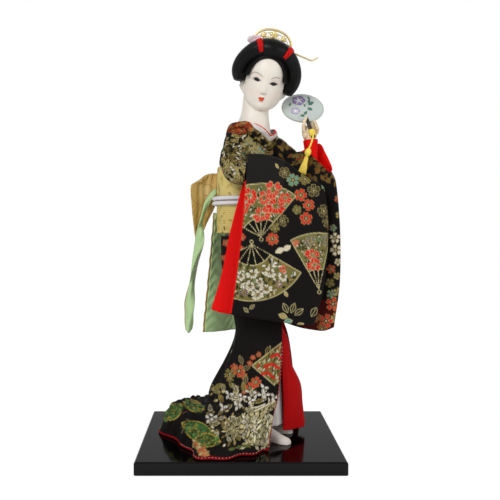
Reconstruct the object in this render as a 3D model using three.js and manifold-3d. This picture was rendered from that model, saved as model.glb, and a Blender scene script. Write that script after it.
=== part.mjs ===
// A standing geisha doll on a lacquered board, about 300 mm tall.
// The doll wears a brocade kimono with a trailing skirt and swinging sleeves, an obi with a
// hanging bow, and a dressed wig with a comb and a pin. The raised hand holds a round fan.
// Millimetres. The camera side is -Y, +X is to the right and +Z is up. The origin is the middle
// of the board's underside. Heights of the doll are measured from the top of the board.

import * as THREE from "three";
import { mergeVertices } from "three/addons/utils/BufferGeometryUtils.js";
import Module from "manifold-3d";

const wasm = await Module();
wasm.setup();

// Fits
const CLEARANCE = 0.3;
const CLOTH = 1.0;
const NECK_PLAY = 0.6;

// Board, screws and leg rods
const BASE_WIDTH = 136;
const BASE_DEPTH = 102;
const BASE_HEIGHT = 9;
const BASE_CHAMFER = 0.8;
const ROD_DIAMETER = 5;
const ROD_SEAT = 5;
const SCREW_HEAD_DIAMETER = 6;
const SCREW_SHANK_DIAMETER = 2.4;
const SCREW_LENGTH = 9.5;
const SCREW_RECESS = 0.4;

// Feet and body forms
const FOOT_LENGTH = 24;
const FOOT_WIDTH = 8.6;
const FOOT_HEIGHT = 9.4;
const FOOT_GAP_UNDER = 0.3;
const TORSO_TURN = 40;
const WAIST_HALF_WIDTH = 16.7;
const WAIST_HALF_DEPTH = 12.7;
const CHEST_HALF_WIDTH = 20.5;
const CHEST_HALF_DEPTH = 14.5;
const CORE_BOTTOM = 64;
const WAIST_HEIGHT = 150;
const BODICE_LENGTH = 61.5;
const NECK_ABOVE_SHOULDER = 7.5;
const ARM_BELOW_SHOULDER = 5.5;
const SHOULDER_HEIGHT = WAIST_HEIGHT + BODICE_LENGTH;
const NECKLINE_HEIGHT = SHOULDER_HEIGHT + NECK_ABOVE_SHOULDER;
const ARM_HEIGHT = SHOULDER_HEIGHT - ARM_BELOW_SHOULDER;
const ARM_WIRE_DIAMETER = 4;

// Neck, head and wig
const NECK_LEAN = 6;
const NECK_RADIUS = 9.4;
const NECK_FLARE = 13;
const NECK_LENGTH = 24;
const NECK_SEAT = 5;
const NECK_RIM = 2;
const PEG_DIAMETER = 5;
const PEG_SEAT = 12;
const PEG_RISE = 14;
const HEAD_HALF_WIDTH = 13.8;
const HEAD_HALF_DEPTH = 17;
const CHIN_DROP = 19.8;
const CROWN_RISE = 22;
const HEAD_RISE = 38;
const HEAD_SIDE = 4.4;
const HEAD_FORWARD = 2.5;
const HEAD_BOW = 13;
const HEAD_ROLL = 6.5;
const NOSE_LENGTH = 2.4;
const WIG_THICKNESS = 3;
const WIG_CUT = 17;
const ROLL_HALF_SPAN = 18.6;
const ROLL_TOP = 20.6;
const ROLL_DROP = 3;
const ROLL_RADIUS = 6.2;
const ROLL_HALF_DEPTH = 8.6;
const HAIRLINE_HEIGHT = 11.4;
const RIBBON_WIDTH = 3.4;
const RIBBON_THICKNESS = 0.8;
const KNOT_HALF_WIDTH = 9.5;
const KNOT_HALF_LENGTH = 10;
const KNOT_HALF_HEIGHT = 6.6;

// Comb, hairpin and flower
const COMB_WIDTH = 28;
const COMB_RISE = 9.5;
const COMB_THICKNESS = 1.2;
const COMB_RIM = 1.7;
const COMB_SPINE = 2.2;
const COMB_TEETH = 9;
const TOOTH_LENGTH = 3.4;
const TOOTH_WIDTH = 1.1;
const PIN_DIAMETER = 1.4;
const PIN_BURIED = 12;
const PIN_SHOWN = 16;
const PIN_HOOK = 5;
const FLOWER_RADIUS = 5.4;
const FLOWER_PETALS = 8;

// Obi, cords and bow
const OBI_BELOW_WAIST = 10;
const OBI_BOTTOM = WAIST_HEIGHT - OBI_BELOW_WAIST;
const OBI_HEIGHT = 42;
const OBI_THICKNESS = 1.6;
const CORD_DIAMETER = 2.8;
const CORD_HEIGHT = OBI_BOTTOM + 0.652 * OBI_HEIGHT;
const CORD_GAP = 0.6;
const BOW_KNOT_WIDTH = 20;
const BOW_KNOT_HEIGHT = 24;
const BOW_KNOT_THICKNESS = 9;
const KNOT_ABOVE_OBI = 2;
const SASH_THICKNESS = 0.9;

// Collars
const COLLAR_WIDTH = 6;
const UNDER_COLLAR_WIDTH = 2.6;
const UNDER_COLLAR_EDGE = 0.9;
const V_DEPTH = 10.5;
const V_RISE = 9;
const V_HALF_WIDTH = 17.2;
const V_TILT = 4;
const V_TURN = 18;

// Fan and tassel
const FAN_RADIUS = 15;
const FAN_THICKNESS = 0.9;
const FAN_RIM_WIDTH = 0.9;
const FAN_RIM_THICKNESS = 1.5;
const HANDLE_DIAMETER = 2.6;
const HANDLE_ABOVE_GRIP = 8;
const HANDLE_BELOW_GRIP = 11;
const FAN_TILT = 38;
const FAN_LEAN = 9.5;
const WRAP_DIAMETER = 4.4;
const WRAP_LENGTH = 5.5;
const TASSEL_CORD_DIAMETER = 1.3;
const TASSEL_DROP = 12.5;
const TASSEL_BEAD_DIAMETER = 4.4;
const TASSEL_BEAD_LENGTH = 6;
const TASSEL_LENGTH = 12;
const TASSEL_DIAMETER = 6;
const TASSEL_LEAN = 15.5;

// Sleeves and skirt folds
const SLEEVE_LENGTH = 124;
const FOLD_DEPTH = 1.5;
const FOLD_COUNT = 10;
const HEM_DIAMETER = 2.4;

// Small tools for points, curves and frames

const { lerp, degToRad } = THREE.MathUtils;
const at = (x, y, z) => new THREE.Vector3(x, y, z);
const smooth = (points, closed = false) => new THREE.CatmullRomCurve3(points, closed, "catmullrom", 0.5);
const steps = (count) => Array.from({ length: count + 1 }, (_, i) => i / count);

// A closed surface over a stack of rings that have equally many points. Its ends are closed by a
// fan round the middle, or by a strip where a ring is a thin loop, or they meet as in a hoop.
function skin(rings, ends = "fan") {
  const count = rings[0].length;
  const points = rings.flat();
  const faces = [];
  for (let i = 0; i < rings.length - (ends === "meet" ? 0 : 1); i++) {
    const next = ((i + 1) % rings.length) * count;
    for (let j = 0; j < count; j++) {
      const [a, b] = [i * count + j, i * count + ((j + 1) % count)];
      const [c, d] = [next + ((j + 1) % count), next + j];
      faces.push(a, b, c, a, c, d);
    }
  }
  for (const last of ends === "meet" ? [] : [false, true]) {
    const start = last ? (rings.length - 1) * count : 0;
    const turn = (a, b, c) => (last ? faces.push(a, c, b) : faces.push(a, b, c));
    if (ends === "strip") {
      for (let j = 0; j + 1 < count / 2; j++) {
        const [a, b, c, d] = [j + 1, j, count - 1 - j, count - 2 - j].map((k) => start + k);
        turn(a, b, c);
        turn(a, c, d);
      }
    } else {
      const middle = rings[last ? rings.length - 1 : 0].reduce((sum, p) => sum.add(p), at(0, 0, 0));
      points.push(middle.divideScalar(count));
      for (let j = 0; j < count; j++) turn(points.length - 1, start + ((j + 1) % count), start + j);
    }
  }
  const geometry = new THREE.BufferGeometry().setFromPoints(points);
  geometry.setIndex(faces);
  return facingOut(geometry);
}

// The same surface with its triangles turned over if it encloses a negative volume.
function facingOut(geometry) {
  const place = geometry.attributes.position;
  const index = Array.from(geometry.index.array);
  const [a, b, c] = [at(0, 0, 0), at(0, 0, 0), at(0, 0, 0)];
  let volume = 0;
  for (let i = 0; i < index.length; i += 3) {
    [a, b, c].forEach((p, k) => p.fromBufferAttribute(place, index[i + k]));
    volume += a.dot(b.cross(c));
  }
  if (volume < 0) {
    for (let i = 0; i < index.length; i += 3) [index[i], index[i + 1]] = [index[i + 1], index[i]];
    geometry.setIndex(index);
  }
  return geometry;
}

// A solid between a front and a back grid of points, such as a thick sheet or a flat bag.
function slab(front, back) {
  return skin(front.map((row, i) => [...row, ...back[i].slice().reverse()]), "strip");
}

// A surface through rows of points: u runs along the rows and v from the first row to the last.
function surface(rows) {
  const curves = rows.map((row) => smooth(row));
  return (u, v) => smooth(curves.map((curve) => curve.getPoint(u))).getPoint(v);
}

// A grid of points on a surface and a second one that lies deeper by the given amount.
function grid(sheet, columns, rows, depth = 0) {
  const d = 1e-3;
  return steps(rows).map((v) => steps(columns).map((u) => {
    const point = sheet(u, v);
    const along = sheet(Math.min(u + d, 1), v).sub(sheet(Math.max(u - d, 0), v));
    const down = sheet(u, Math.min(v + d, 1)).sub(sheet(u, Math.max(v - d, 0)));
    return point.addScaledVector(along.cross(down).normalize(), depth);
  }));
}

function thickSheet(sheet, columns, rows, thickness) {
  return slab(grid(sheet, columns, rows), grid(sheet, columns, rows, thickness));
}

// Points round an oval, clockwise seen from above, starting at its front.
function oval({ x = 0, y = 0, z, halfWidth, halfDepth, turn = 0 }, from, to, count, growth = 0) {
  const [c, s] = [Math.cos(degToRad(turn)), Math.sin(degToRad(turn))];
  return steps(count - 1).map((t) => {
    const angle = degToRad(lerp(from, to, t));
    const side = -(halfWidth + growth * t) * Math.sin(angle);
    const front = (halfDepth + growth * t) * Math.cos(angle);
    return at(x + side * c + front * s, y + side * s - front * c, z);
  });
}

const ring = (shape, count) => oval(shape, 0, 360 * (1 - 1 / count), count);

// A polygon with its corners on a circle, and a round bar along a curve.
function polygon(radius, sides) {
  return new THREE.Shape(steps(sides - 1).map((_, i) => {
    const angle = (2 * Math.PI * i) / sides;
    return new THREE.Vector2(radius * Math.cos(angle), radius * Math.sin(angle));
  }));
}

function bar(curve, radius, sides = 8, count = 12) {
  return new THREE.ExtrudeGeometry(polygon(radius, sides), {
    extrudePath: curve, steps: count, bevelEnabled: false,
  });
}

// A round bar between two points.
function rod(from, to, radius, sides = 12) {
  return bar(new THREE.LineCurve3(from, to), radius, sides, 1);
}

// A tube of changing radius along a curve, with rounded or flat ends.
function limb(curve, radii, sides, count) {
  const frames = curve.computeFrenetFrames(count, false);
  const radiusAt = smooth(radii.map((r, i) => at(r, i, 0)));
  return skin(steps(count).map((t, i) => steps(sides - 1).map((_, j) => {
    const angle = (2 * Math.PI * j) / sides;
    const r = radiusAt.getPoint(t).x;
    return curve.getPointAt(t)
      .addScaledVector(frames.normals[i], r * Math.cos(angle))
      .addScaledVector(frames.binormals[i], r * Math.sin(angle));
  })));
}

// A turned piece from pairs of radius and height, and a flat plate from an outline.
function turned(profile, sides = 24) {
  const geometry = new THREE.LatheGeometry(profile.map(([r, z]) => new THREE.Vector2(r, z)), sides);
  return geometry.rotateX(Math.PI / 2);
}

function plate(shape, thickness) {
  return new THREE.ExtrudeGeometry(shape, { depth: thickness, bevelEnabled: false, curveSegments: 8 });
}

function ball(x, y, z, halfWidth, halfDepth, halfHeight, across = 20, up = 12) {
  const geometry = new THREE.SphereGeometry(1, across, up).rotateX(Math.PI / 2);
  return geometry.scale(halfWidth, halfDepth, halfHeight).translate(x, y, z);
}

// Joining and cutting

function solid(geometry) {
  const bare = geometry.clone();
  for (const name of Object.keys(bare.attributes)) if (name !== "position") bare.deleteAttribute(name);
  const merged = mergeVertices(bare, 1e-4);
  const index = [];
  for (let i = 0; i < merged.index.count; i += 3) {
    const [a, b, c] = [0, 1, 2].map((k) => merged.index.getX(i + k));
    if (a !== b && b !== c && c !== a) index.push(a, b, c);
  }
  return new wasm.Manifold(new wasm.Mesh({
    numProp: 3,
    vertProperties: new Float32Array(merged.attributes.position.array),
    triVerts: new Uint32Array(index),
  }));
}

function geometryOf(body) {
  const mesh = body.getMesh();
  const geometry = new THREE.BufferGeometry();
  geometry.setAttribute("position", new THREE.BufferAttribute(new Float32Array(mesh.vertProperties), 3));
  geometry.setIndex(Array.from(mesh.triVerts));
  return geometry;
}

const cut = (body, ...tools) =>
  geometryOf(tools.reduce((rest, tool) => rest.subtract(solid(tool)), solid(body)));
const join = (...bodies) =>
  geometryOf(bodies.slice(1).reduce((whole, body) => whole.add(solid(body)), solid(bodies[0])));
const common = (a, b) => geometryOf(solid(a).intersect(solid(b)));
const moved = (geometry, matrix) => geometry.clone().applyMatrix4(matrix);

// Materials

function finish(color, roughness, metalness = 0) {
  return new THREE.MeshStandardMaterial({ color, roughness, metalness });
}

const LACQUER = finish("#0b0a0a", 0.15);
const STEEL = finish("#9a9a98", 0.4, 1);
const WOOD = finish("#b28a5a", 0.7);
const STUFFING = finish("#d9cfb8", 0.95);
const BISQUE = finish("#f1e8de", 0.45);
const HAND_RESIN = finish("#ecd9b0", 0.5);
const HAIR = finish("#14100e", 0.35);
const BLACK_BROCADE = finish("#1c1714", 0.75);
const GOLD_BROCADE = finish("#b8975c", 0.6);
const GREEN_SATIN = finish("#9bb48a", 0.5);
const RED_SILK = finish("#b3201c", 0.6);
const WHITE_COTTON = finish("#efe6dc", 0.85);
const WHITE_CORD = finish("#efe7e2", 0.8);
const PINK_SILK = finish("#efc4be", 0.75);
const GILT = finish("#c79a3c", 0.35, 1);
const FAN_PAPER = finish("#d7dcd2", 0.7);
const DARK_BAMBOO = finish("#3b2417", 0.5);
const YELLOW_SILK = finish("#d7b03a", 0.65);

// Groups: the board's frame, the doll on it, its turned torso, its leaning head and its tilted fan

const doll = new THREE.Group();
const figure = new THREE.Group();
figure.position.z = BASE_HEIGHT;
const torso = new THREE.Group();
torso.position.set(5, 2, 0);
torso.rotation.z = degToRad(TORSO_TURN);
torso.updateMatrix();
const head = new THREE.Group();
head.position.set(9.6, 1, NECKLINE_HEIGHT - NECK_SEAT);
head.rotation.y = degToRad(NECK_LEAN);
head.updateMatrix();
const skull = new THREE.Group();
skull.position.set(HEAD_SIDE, -HEAD_FORWARD, HEAD_RISE);
skull.rotation.set(degToRad(HEAD_BOW), degToRad(HEAD_ROLL), 0);
skull.updateMatrix();
const fan = new THREE.Group();
fan.position.set(48.4, -9.5, ARM_HEIGHT + 13.2);
fan.rotation.set(degToRad(-FAN_TILT), degToRad(-FAN_LEAN), 0);
fan.updateMatrix();
doll.add(figure);
figure.add(torso, head, fan);
head.add(skull);

function piece(group, name, material, geometry) {
  const mesh = new THREE.Mesh(geometry, material);
  mesh.name = name;
  group.add(mesh);
}

const torsoInverse = torso.matrix.clone().invert();
const headInTorso = torsoInverse.clone().multiply(head.matrix);

// Board with its screws and the two rods that the doll stands on

const rods = [
  { name: "right", foot: at(20.5, -11.5, -ROD_SEAT), hip: at(18.5, -5.5, CORE_BOTTOM + 16) },
  { name: "left", foot: at(23, 7, -ROD_SEAT), hip: at(19, 5, CORE_BOTTOM + 16) },
];

function screwAt({ x, y }, grow = 0) {
  const [shank, top] = [SCREW_SHANK_DIAMETER / 2 + grow, SCREW_HEAD_DIAMETER / 2 + grow];
  const low = SCREW_RECESS - BASE_HEIGHT;
  return turned([
    [0, low - grow], [top, low - grow], [top, low + 0.4 + grow], [shank, low + 2 + grow],
    [shank, low + SCREW_LENGTH - 1.5], [0, low + SCREW_LENGTH + grow],
  ], 12).translate(x, y, 0);
}

function board() {
  const corner = new THREE.Vector2(BASE_WIDTH / 2 - BASE_CHAMFER, BASE_DEPTH / 2 - BASE_CHAMFER);
  const outline = new THREE.Shape([
    new THREE.Vector2(-corner.x, -corner.y), new THREE.Vector2(corner.x, -corner.y),
    new THREE.Vector2(corner.x, corner.y), new THREE.Vector2(-corner.x, corner.y),
  ]);
  const block = new THREE.ExtrudeGeometry(outline, {
    depth: BASE_HEIGHT - 2 * BASE_CHAMFER, bevelEnabled: true, bevelSegments: 1,
    bevelThickness: BASE_CHAMFER, bevelSize: BASE_CHAMFER,
  }).translate(0, 0, BASE_CHAMFER - BASE_HEIGHT);
  const sockets = rods.map(({ foot, hip }) => {
    const down = foot.clone().sub(hip).normalize().multiplyScalar(CLEARANCE);
    return rod(foot.clone().add(down), hip, ROD_DIAMETER / 2 + CLEARANCE);
  });
  const pits = rods.map(({ foot }) => {
    const low = screwAt(foot, CLEARANCE);
    return join(low, rod(at(foot.x, foot.y, -BASE_HEIGHT - 1),
      at(foot.x, foot.y, SCREW_RECESS - BASE_HEIGHT), SCREW_HEAD_DIAMETER / 2 + CLEARANCE));
  });
  return cut(block, ...sockets, ...pits);
}

piece(figure, "base_board", LACQUER, board());
for (const { name, foot, hip } of rods) {
  piece(figure, `base_screw_${name}`, STEEL, screwAt(foot));
  piece(figure, `leg_rod_${name}`, WOOD, cut(rod(foot, hip, ROD_DIAMETER / 2), screwAt(foot, CLEARANCE)));
}

// Split-toed socks with a foot in them, each pierced by its rod. Sections from heel to toe are
// given as shares of the foot's length, width and height.

function foot({ foot: low, hip }, heel, turn) {
  const sections = [[0, 0.6, 0.55], [0.1, 0.84, 0.86], [0.28, 0.9, 1], [0.5, 0.95, 0.72], [0.75, 1, 0.46],
    [0.92, 0.8, 0.32], [1, 0.42, 0.2]];
  const sock = skin(sections.map(([along, wide, tall]) => steps(13).map((_, i) => {
    const angle = (2 * Math.PI * i) / 14;
    const side = (FOOT_WIDTH / 2) * wide * Math.cos(angle);
    return at(FOOT_LENGTH * along, side, FOOT_HEIGHT * tall * Math.max(Math.sin(angle), 0));
  }))).rotateZ(degToRad(turn)).translate(heel.x, heel.y, FOOT_GAP_UNDER);
  return cut(sock, rod(low, hip, ROD_DIAMETER / 2 + CLEARANCE));
}

piece(figure, "foot_right", WHITE_COTTON, foot(rods[0], at(14.5, -8, 0), -33));
piece(figure, "foot_left", WHITE_COTTON, foot(rods[1], at(16.5, 9.5, 0), -22));

// Lower body form. The outlines of the skirt's inside at the same heights follow it.

const waist = { x: 5, y: 2, z: WAIST_HEIGHT - 1, turn: TORSO_TURN };
const coreHeight = (share) => lerp(CORE_BOTTOM, OBI_BOTTOM, share);
const hip = { x: 7, y: 1.5, z: coreHeight(0.763), halfWidth: 18.2, halfDepth: 14.6, turn: 42 };
const thigh = { x: 11.5, y: 0.5, z: coreHeight(0.474), halfWidth: 18, halfDepth: 15.2, turn: 48 };
const knee = { x: 16, y: 0, z: coreHeight(0.184), halfWidth: 13.5, halfDepth: 12, turn: 65 };
const waistOval = (grow) =>
  ({ ...waist, halfWidth: WAIST_HALF_WIDTH + grow, halfDepth: WAIST_HALF_DEPTH + grow });
const belowObi = (grow) => ({ ...waistOval(grow), z: OBI_BOTTOM - 4 });
const larger = (shape, grow) =>
  ({ ...shape, halfWidth: shape.halfWidth + grow, halfDepth: shape.halfDepth + grow });

function lowerBody() {
  const stub = { x: 18, y: -0.3, halfWidth: 8.6, halfDepth: 8.6 };
  const rings = [{ ...stub, z: CORE_BOTTOM }, { ...stub, z: CORE_BOTTOM + 9 }, knee, thigh, hip,
    belowObi(0), waistOval(0)];
  const form = skin(rings.map((shape) => ring(shape, 18)));
  return cut(form, ...rods.map((r) => {
    const up = r.hip.clone().sub(r.foot).normalize().multiplyScalar(CLEARANCE);
    return rod(r.foot, r.hip.clone().add(up), ROD_DIAMETER / 2 + CLEARANCE);
  }));
}

piece(figure, "lower_body", STUFFING, lowerBody());

// Upper body form with the neck's socket. Heights and half widths run from the waist upwards.

const neckSpot = at(0, 0, NECK_SEAT).applyMatrix4(headInTorso);

function chest(grow) {
  const sections = [
    [WAIST_HEIGHT + CLEARANCE, WAIST_HALF_WIDTH + 1, WAIST_HALF_DEPTH + 1, 0, 0],
    [OBI_BOTTOM + OBI_HEIGHT, WAIST_HALF_WIDTH + 1.2, WAIST_HALF_DEPTH + 1.2, 0, 0],
    [lerp(OBI_BOTTOM + OBI_HEIGHT, SHOULDER_HEIGHT, 0.4), CHEST_HALF_WIDTH, CHEST_HALF_DEPTH, 0.8, -0.8],
    [SHOULDER_HEIGHT - 2, CHEST_HALF_WIDTH, CHEST_HALF_DEPTH - 1, 2.2, -2.2],
    [lerp(SHOULDER_HEIGHT, NECKLINE_HEIGHT, 0.45), CHEST_HALF_WIDTH - 2.6, CHEST_HALF_DEPTH + 0.4, 3, -3],
    [NECKLINE_HEIGHT, NECK_FLARE + NECK_RIM, NECK_FLARE + NECK_RIM - 0.6, neckSpot.x, neckSpot.y],
  ];
  return skin(sections.map(([z, halfWidth, halfDepth, x, y], i) => ring({
    x, y, z: z + (i === 0 ? -grow : i === 5 ? grow : 0),
    halfWidth: halfWidth + grow, halfDepth: halfDepth + grow,
  }, 14)));
}

const neckProfile = (grow) => [
  [0, -grow], [NECK_FLARE + grow, -grow], [NECK_FLARE - 0.3 + grow, 2], [lerp(NECK_FLARE, NECK_RADIUS, 0.45) + grow, 8],
  [lerp(NECK_FLARE, NECK_RADIUS, 0.85) + grow, 14], [NECK_RADIUS + grow, 19], [NECK_RADIUS + grow, NECK_LENGTH + grow],
  [0, NECK_LENGTH + grow],
];
const peg = (grow) => turned([
  [0, -PEG_SEAT - grow], [PEG_DIAMETER / 2 + grow, -PEG_SEAT - grow],
  [PEG_DIAMETER / 2 + grow, PEG_RISE + grow], [0, PEG_RISE + grow],
], 12);
const neckRoom = moved(turned(neckProfile(NECK_PLAY), 14), headInTorso);

const armRight = smooth([
  at(0, -3.5, ARM_HEIGHT - 3), at(-3.5, -10, ARM_HEIGHT - 6), at(-4.6, -19, ARM_HEIGHT - 13),
  at(-1.5, -27.5, ARM_HEIGHT - 20), at(14, -31.5, ARM_HEIGHT - 22), at(30, -31.5, ARM_HEIGHT - 23),
]);
const armLeft = smooth([
  at(15, 6, ARM_HEIGHT + 1), at(24, 8, ARM_HEIGHT), at(33, 6, ARM_HEIGHT - 6.5),
  at(42, -2.5, ARM_HEIGHT - 16), at(49, -8, ARM_HEIGHT - 19), at(50.2, -8.8, ARM_HEIGHT - 10),
  at(49.5, -8.8, ARM_HEIGHT + 3),
]);
const armWire = (curve, grow = 0) => bar(curve, ARM_WIRE_DIAMETER / 2 + grow, 6, 14);
const wireRooms = [armRight, armLeft].map((curve) => moved(armWire(curve, CLEARANCE), torsoInverse));

piece(torso, "upper_body", STUFFING, cut(chest(0), neckRoom, moved(peg(CLEARANCE), headInTorso), ...wireRooms));
piece(head, "neck_peg", WOOD, peg(0));
piece(figure, "arm_wire_right", STEEL, armWire(armRight));
piece(figure, "arm_wire_left", STEEL, armWire(armLeft));

// Kimono bodice. Its opening is a V that runs from the breast to the nape and rises on the way.
// The collars are strips of shells over the same body between wider and narrower copies of that V.

function opening(grow) {
  const low = NECKLINE_HEIGHT - V_DEPTH;
  const drop = grow / Math.sin(Math.atan2(V_HALF_WIDTH, V_RISE));
  const half = V_HALF_WIDTH + grow;
  const bend = low - drop + (V_RISE * half) / V_HALF_WIDTH;
  const outline = [[0, low - drop], [half, bend], [half, low + 80], [-half, low + 80], [-half, bend]];
  const prism = plate(new THREE.Shape(outline.map(([x, z]) => new THREE.Vector2(x, z))), 80);
  const rise = Math.tan(degToRad(V_TILT));
  const lean = new THREE.Matrix4().set(1, 0, 0, 0, 0, 1, 0, 0, 0, rise, 1, rise * CHEST_HALF_DEPTH, 0, 0, 0, 1);
  return prism.rotateX(Math.PI / 2).translate(0, 40, 0).applyMatrix4(lean).rotateZ(degToRad(V_TURN))
    .translate(neckSpot.x, neckSpot.y, 0);
}

const overSection = (geometry, inner, outer) => common(cut(chest(outer), chest(inner)), geometry);
const bodiceInner = CLEARANCE;
const bodiceOuter = bodiceInner + CLOTH;
const collarInner = bodiceOuter + CLEARANCE;
const collarOuter = collarInner + CLOTH;
const between = (narrow, wide) => cut(opening(wide), opening(narrow), neckRoom);
const aboveWaist = plate(polygon(60, 4), 100).translate(0, 0, WAIST_HEIGHT + CLEARANCE);
const underEdge = -CLEARANCE - UNDER_COLLAR_WIDTH;

piece(torso, "kimono_bodice", BLACK_BROCADE,
  cut(overSection(aboveWaist, bodiceInner, bodiceOuter), opening(0), neckRoom, ...wireRooms));
piece(torso, "kimono_collar", BLACK_BROCADE,
  overSection(between(0, COLLAR_WIDTH), collarInner, collarOuter));
piece(torso, "under_collar", WHITE_COTTON,
  overSection(between(underEdge, -CLEARANCE), bodiceInner, bodiceOuter));
piece(torso, "under_collar_edge", RED_SILK, overSection(
  between(underEdge - CLEARANCE - UNDER_COLLAR_EDGE, underEdge - CLEARANCE), bodiceInner, bodiceOuter));

// Obi with its two cords, the knot at the back, the two wings of the bow and the two sash ends

const obiInner = 3.9;
const obiOuter = obiInner + OBI_THICKNESS;
const obiTop = OBI_BOTTOM + OBI_HEIGHT;
const obiOval = (grow, z) =>
  ({ z, halfWidth: WAIST_HALF_WIDTH + grow, halfDepth: WAIST_HALF_DEPTH + grow });
const obiDrum = (grow, past) => skin([OBI_BOTTOM - past, lerp(OBI_BOTTOM, obiTop, 0.5), obiTop + past]
  .map((z, i) => ring(obiOval(grow + (i === 1 ? 0.4 : 0), z), 24)));

// A round hoop that follows an oval.
function hoop(shape, radius, sides, count) {
  return skin(steps(count - 1).map((_, i) => steps(sides - 1).map((_, j) => {
    const angle = (2 * Math.PI * j) / sides;
    const out = larger(shape, radius * Math.cos(angle));
    return ring({ ...out, z: shape.z + radius * Math.sin(angle) }, count)[i];
  })), "meet");
}

const cordShift = (CORD_DIAMETER + CORD_GAP) / 2;
const cordOval = (z) => obiOval(obiOuter + 0.4 + CLEARANCE + CORD_DIAMETER / 2, z);
const cord = (side, grow = 0) =>
  hoop(cordOval(CORD_HEIGHT + side * cordShift), CORD_DIAMETER / 2 + grow, 6, 24);

piece(torso, "obi_band", GOLD_BROCADE, cut(obiDrum(obiOuter, 0), obiDrum(obiInner, 1)));
piece(torso, "obi_cord_upper", WHITE_CORD, cord(1));
piece(torso, "obi_cord_lower", WHITE_CORD, cord(-1));

const obiBack = WAIST_HALF_DEPTH + obiOuter + 0.4;

function bowKnot() {
  const [w, h, t] = [BOW_KNOT_WIDTH / 2, BOW_KNOT_HEIGHT / 2, BOW_KNOT_THICKNESS];
  const middle = obiTop - h + KNOT_ABOVE_OBI;
  const rows = steps(5).map((v) => steps(6).map((u) => {
    const [a, b] = [2 * u - 1, 2 * v - 1];
    const pinch = 1 - 0.18 * (1 - b * b);
    return at(a * w * pinch, 0, middle - b * h);
  }));
  const swell = (p) => Math.sqrt(Math.max(0, 1 - 0.85 * (p.x / w) ** 2)) * (1 - 0.2 * ((p.z - middle) / h) ** 2);
  const front = rows.map((row) => row.map((p) => at(p.x, obiBack - 3, p.z)));
  const back = rows.map((row) => row.map((p) => at(p.x, obiBack + t * swell(p), p.z)));
  return cut(slab(front, back), obiDrum(obiOuter + CLEARANCE, 1), chest(bodiceOuter + CLEARANCE),
    cord(1, CLEARANCE), cord(-1, CLEARANCE));
}

// A wing of the bow hangs from the knot, swells at the top and tapers to a point. Its rows run
// downwards, each with an inner and an outer point and a thickness. Side is -1 on the doll's right.
function bowWing(side) {
  const half = BOW_KNOT_WIDTH / 2 + CLEARANCE;
  const rows = [
    [7, [half, obiBack + 3], [19, obiBack + 8], 5], [-2, [half, obiBack + 3], [24, obiBack + 12.5], 8],
    [-22, [half + 1, obiBack + 4], [24, obiBack + 12.5], 7], [-42, [14.5, obiBack + 6.5], [22.5, obiBack + 11.5], 5],
    [-59, [18, obiBack + 9], [21, obiBack + 10.5], 2.5],
  ];
  const line = (deep) => surface(rows.map(([above, inner, outer, thick]) => steps(4).map((t) => {
    const bulge = 4 * t * (1 - t) * 2;
    const depth = deep * (thick * (0.45 + 0.55 * Math.sin(Math.PI * Math.min(1, t + 0.12)))) + bulge;
    return at(side * lerp(inner[0], outer[0], t), lerp(inner[1], outer[1], t) + depth, obiTop + above);
  })));
  return slab(grid(line(0), 6, 9), grid(line(1), 6, 9));
}

// A sash end hangs as a ribbon. Rows run down its length, from its near edge to its far edge.
const sashNarrow = surface([
  [at(-15, 10.3, obiTop - 6), at(-17, 8.2, obiTop - 5), at(-19, 8.9, obiTop - 6)],
  [at(-18.8, 8.8, obiTop - 14), at(-21, 7, obiTop - 14), at(-23.4, 7.8, obiTop - 15)],
  [at(-22, 6.2, obiTop - 30), at(-25, 4, obiTop - 30), at(-28, 5.6, obiTop - 31)],
  [at(-23.6, 5, obiTop - 43), at(-25.8, 3.2, obiTop - 43), at(-28, 4.6, obiTop - 43)],
  [at(-25.8, 5, obiTop - 64), at(-29.6, 2.6, obiTop - 64), at(-33.2, 4.6, obiTop - 65)],
  [at(-28.6, 5, obiTop - 87), at(-32.5, 2.6, obiTop - 87), at(-36.4, 4.6, obiTop - 88)],
  [at(-28.4, 5.2, obiTop - 107), at(-33, 3, obiTop - 108), at(-37.8, 5, obiTop - 109.5)],
]);
const sashTop = obiTop + KNOT_ABOVE_OBI - BOW_KNOT_HEIGHT - CLEARANCE;
const sashWide = surface([
  [at(-13, obiBack + 1.3, sashTop), at(-5, obiBack + 1.8, sashTop), at(5, obiBack + 1.8, sashTop),
    at(13, obiBack + 1.3, sashTop)],
  [at(-15.5, obiBack + 2, obiTop - 52), at(-5, obiBack + 3.2, obiTop - 52), at(5, obiBack + 2, obiTop - 52),
    at(15, obiBack + 3, obiTop - 52)],
  [at(-17.5, obiBack + 4, obiTop - 82), at(-6, obiBack + 3, obiTop - 82), at(5, obiBack + 4.4, obiTop - 82),
    at(15.5, obiBack + 3, obiTop - 82)],
  [at(-19.5, obiBack + 6, obiTop - 110), at(-6.5, obiBack + 4, obiTop - 110.5), at(5, obiBack + 5.5, obiTop - 111),
    at(16, obiBack + 4, obiTop - 111)],
]);
const behind = (sheet, depth) => (u, v) => sheet(u, v).add(at(0, depth, 0));

piece(torso, "obi_knot", GOLD_BROCADE, bowKnot());
piece(torso, "obi_wing_right", GOLD_BROCADE, bowWing(-1));
piece(torso, "obi_wing_left", GOLD_BROCADE, bowWing(1));
piece(figure, "sash_end_narrow", GREEN_SATIN, thickSheet(sashNarrow, 4, 14, -2 * SASH_THICKNESS));
piece(torso, "sash_end_wide_lining", GREEN_SATIN, thickSheet(sashWide, 8, 7, -SASH_THICKNESS));
piece(torso, "sash_end_wide", GOLD_BROCADE,
  thickSheet(behind(sashWide, SASH_THICKNESS + CLEARANCE), 8, 7, -SASH_THICKNESS));

// Sleeves. Each is a flat bag joined to a tube over the upper arm. A bag has a front and a back, each
// with rows of points that run downwards and go from left to right.

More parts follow.
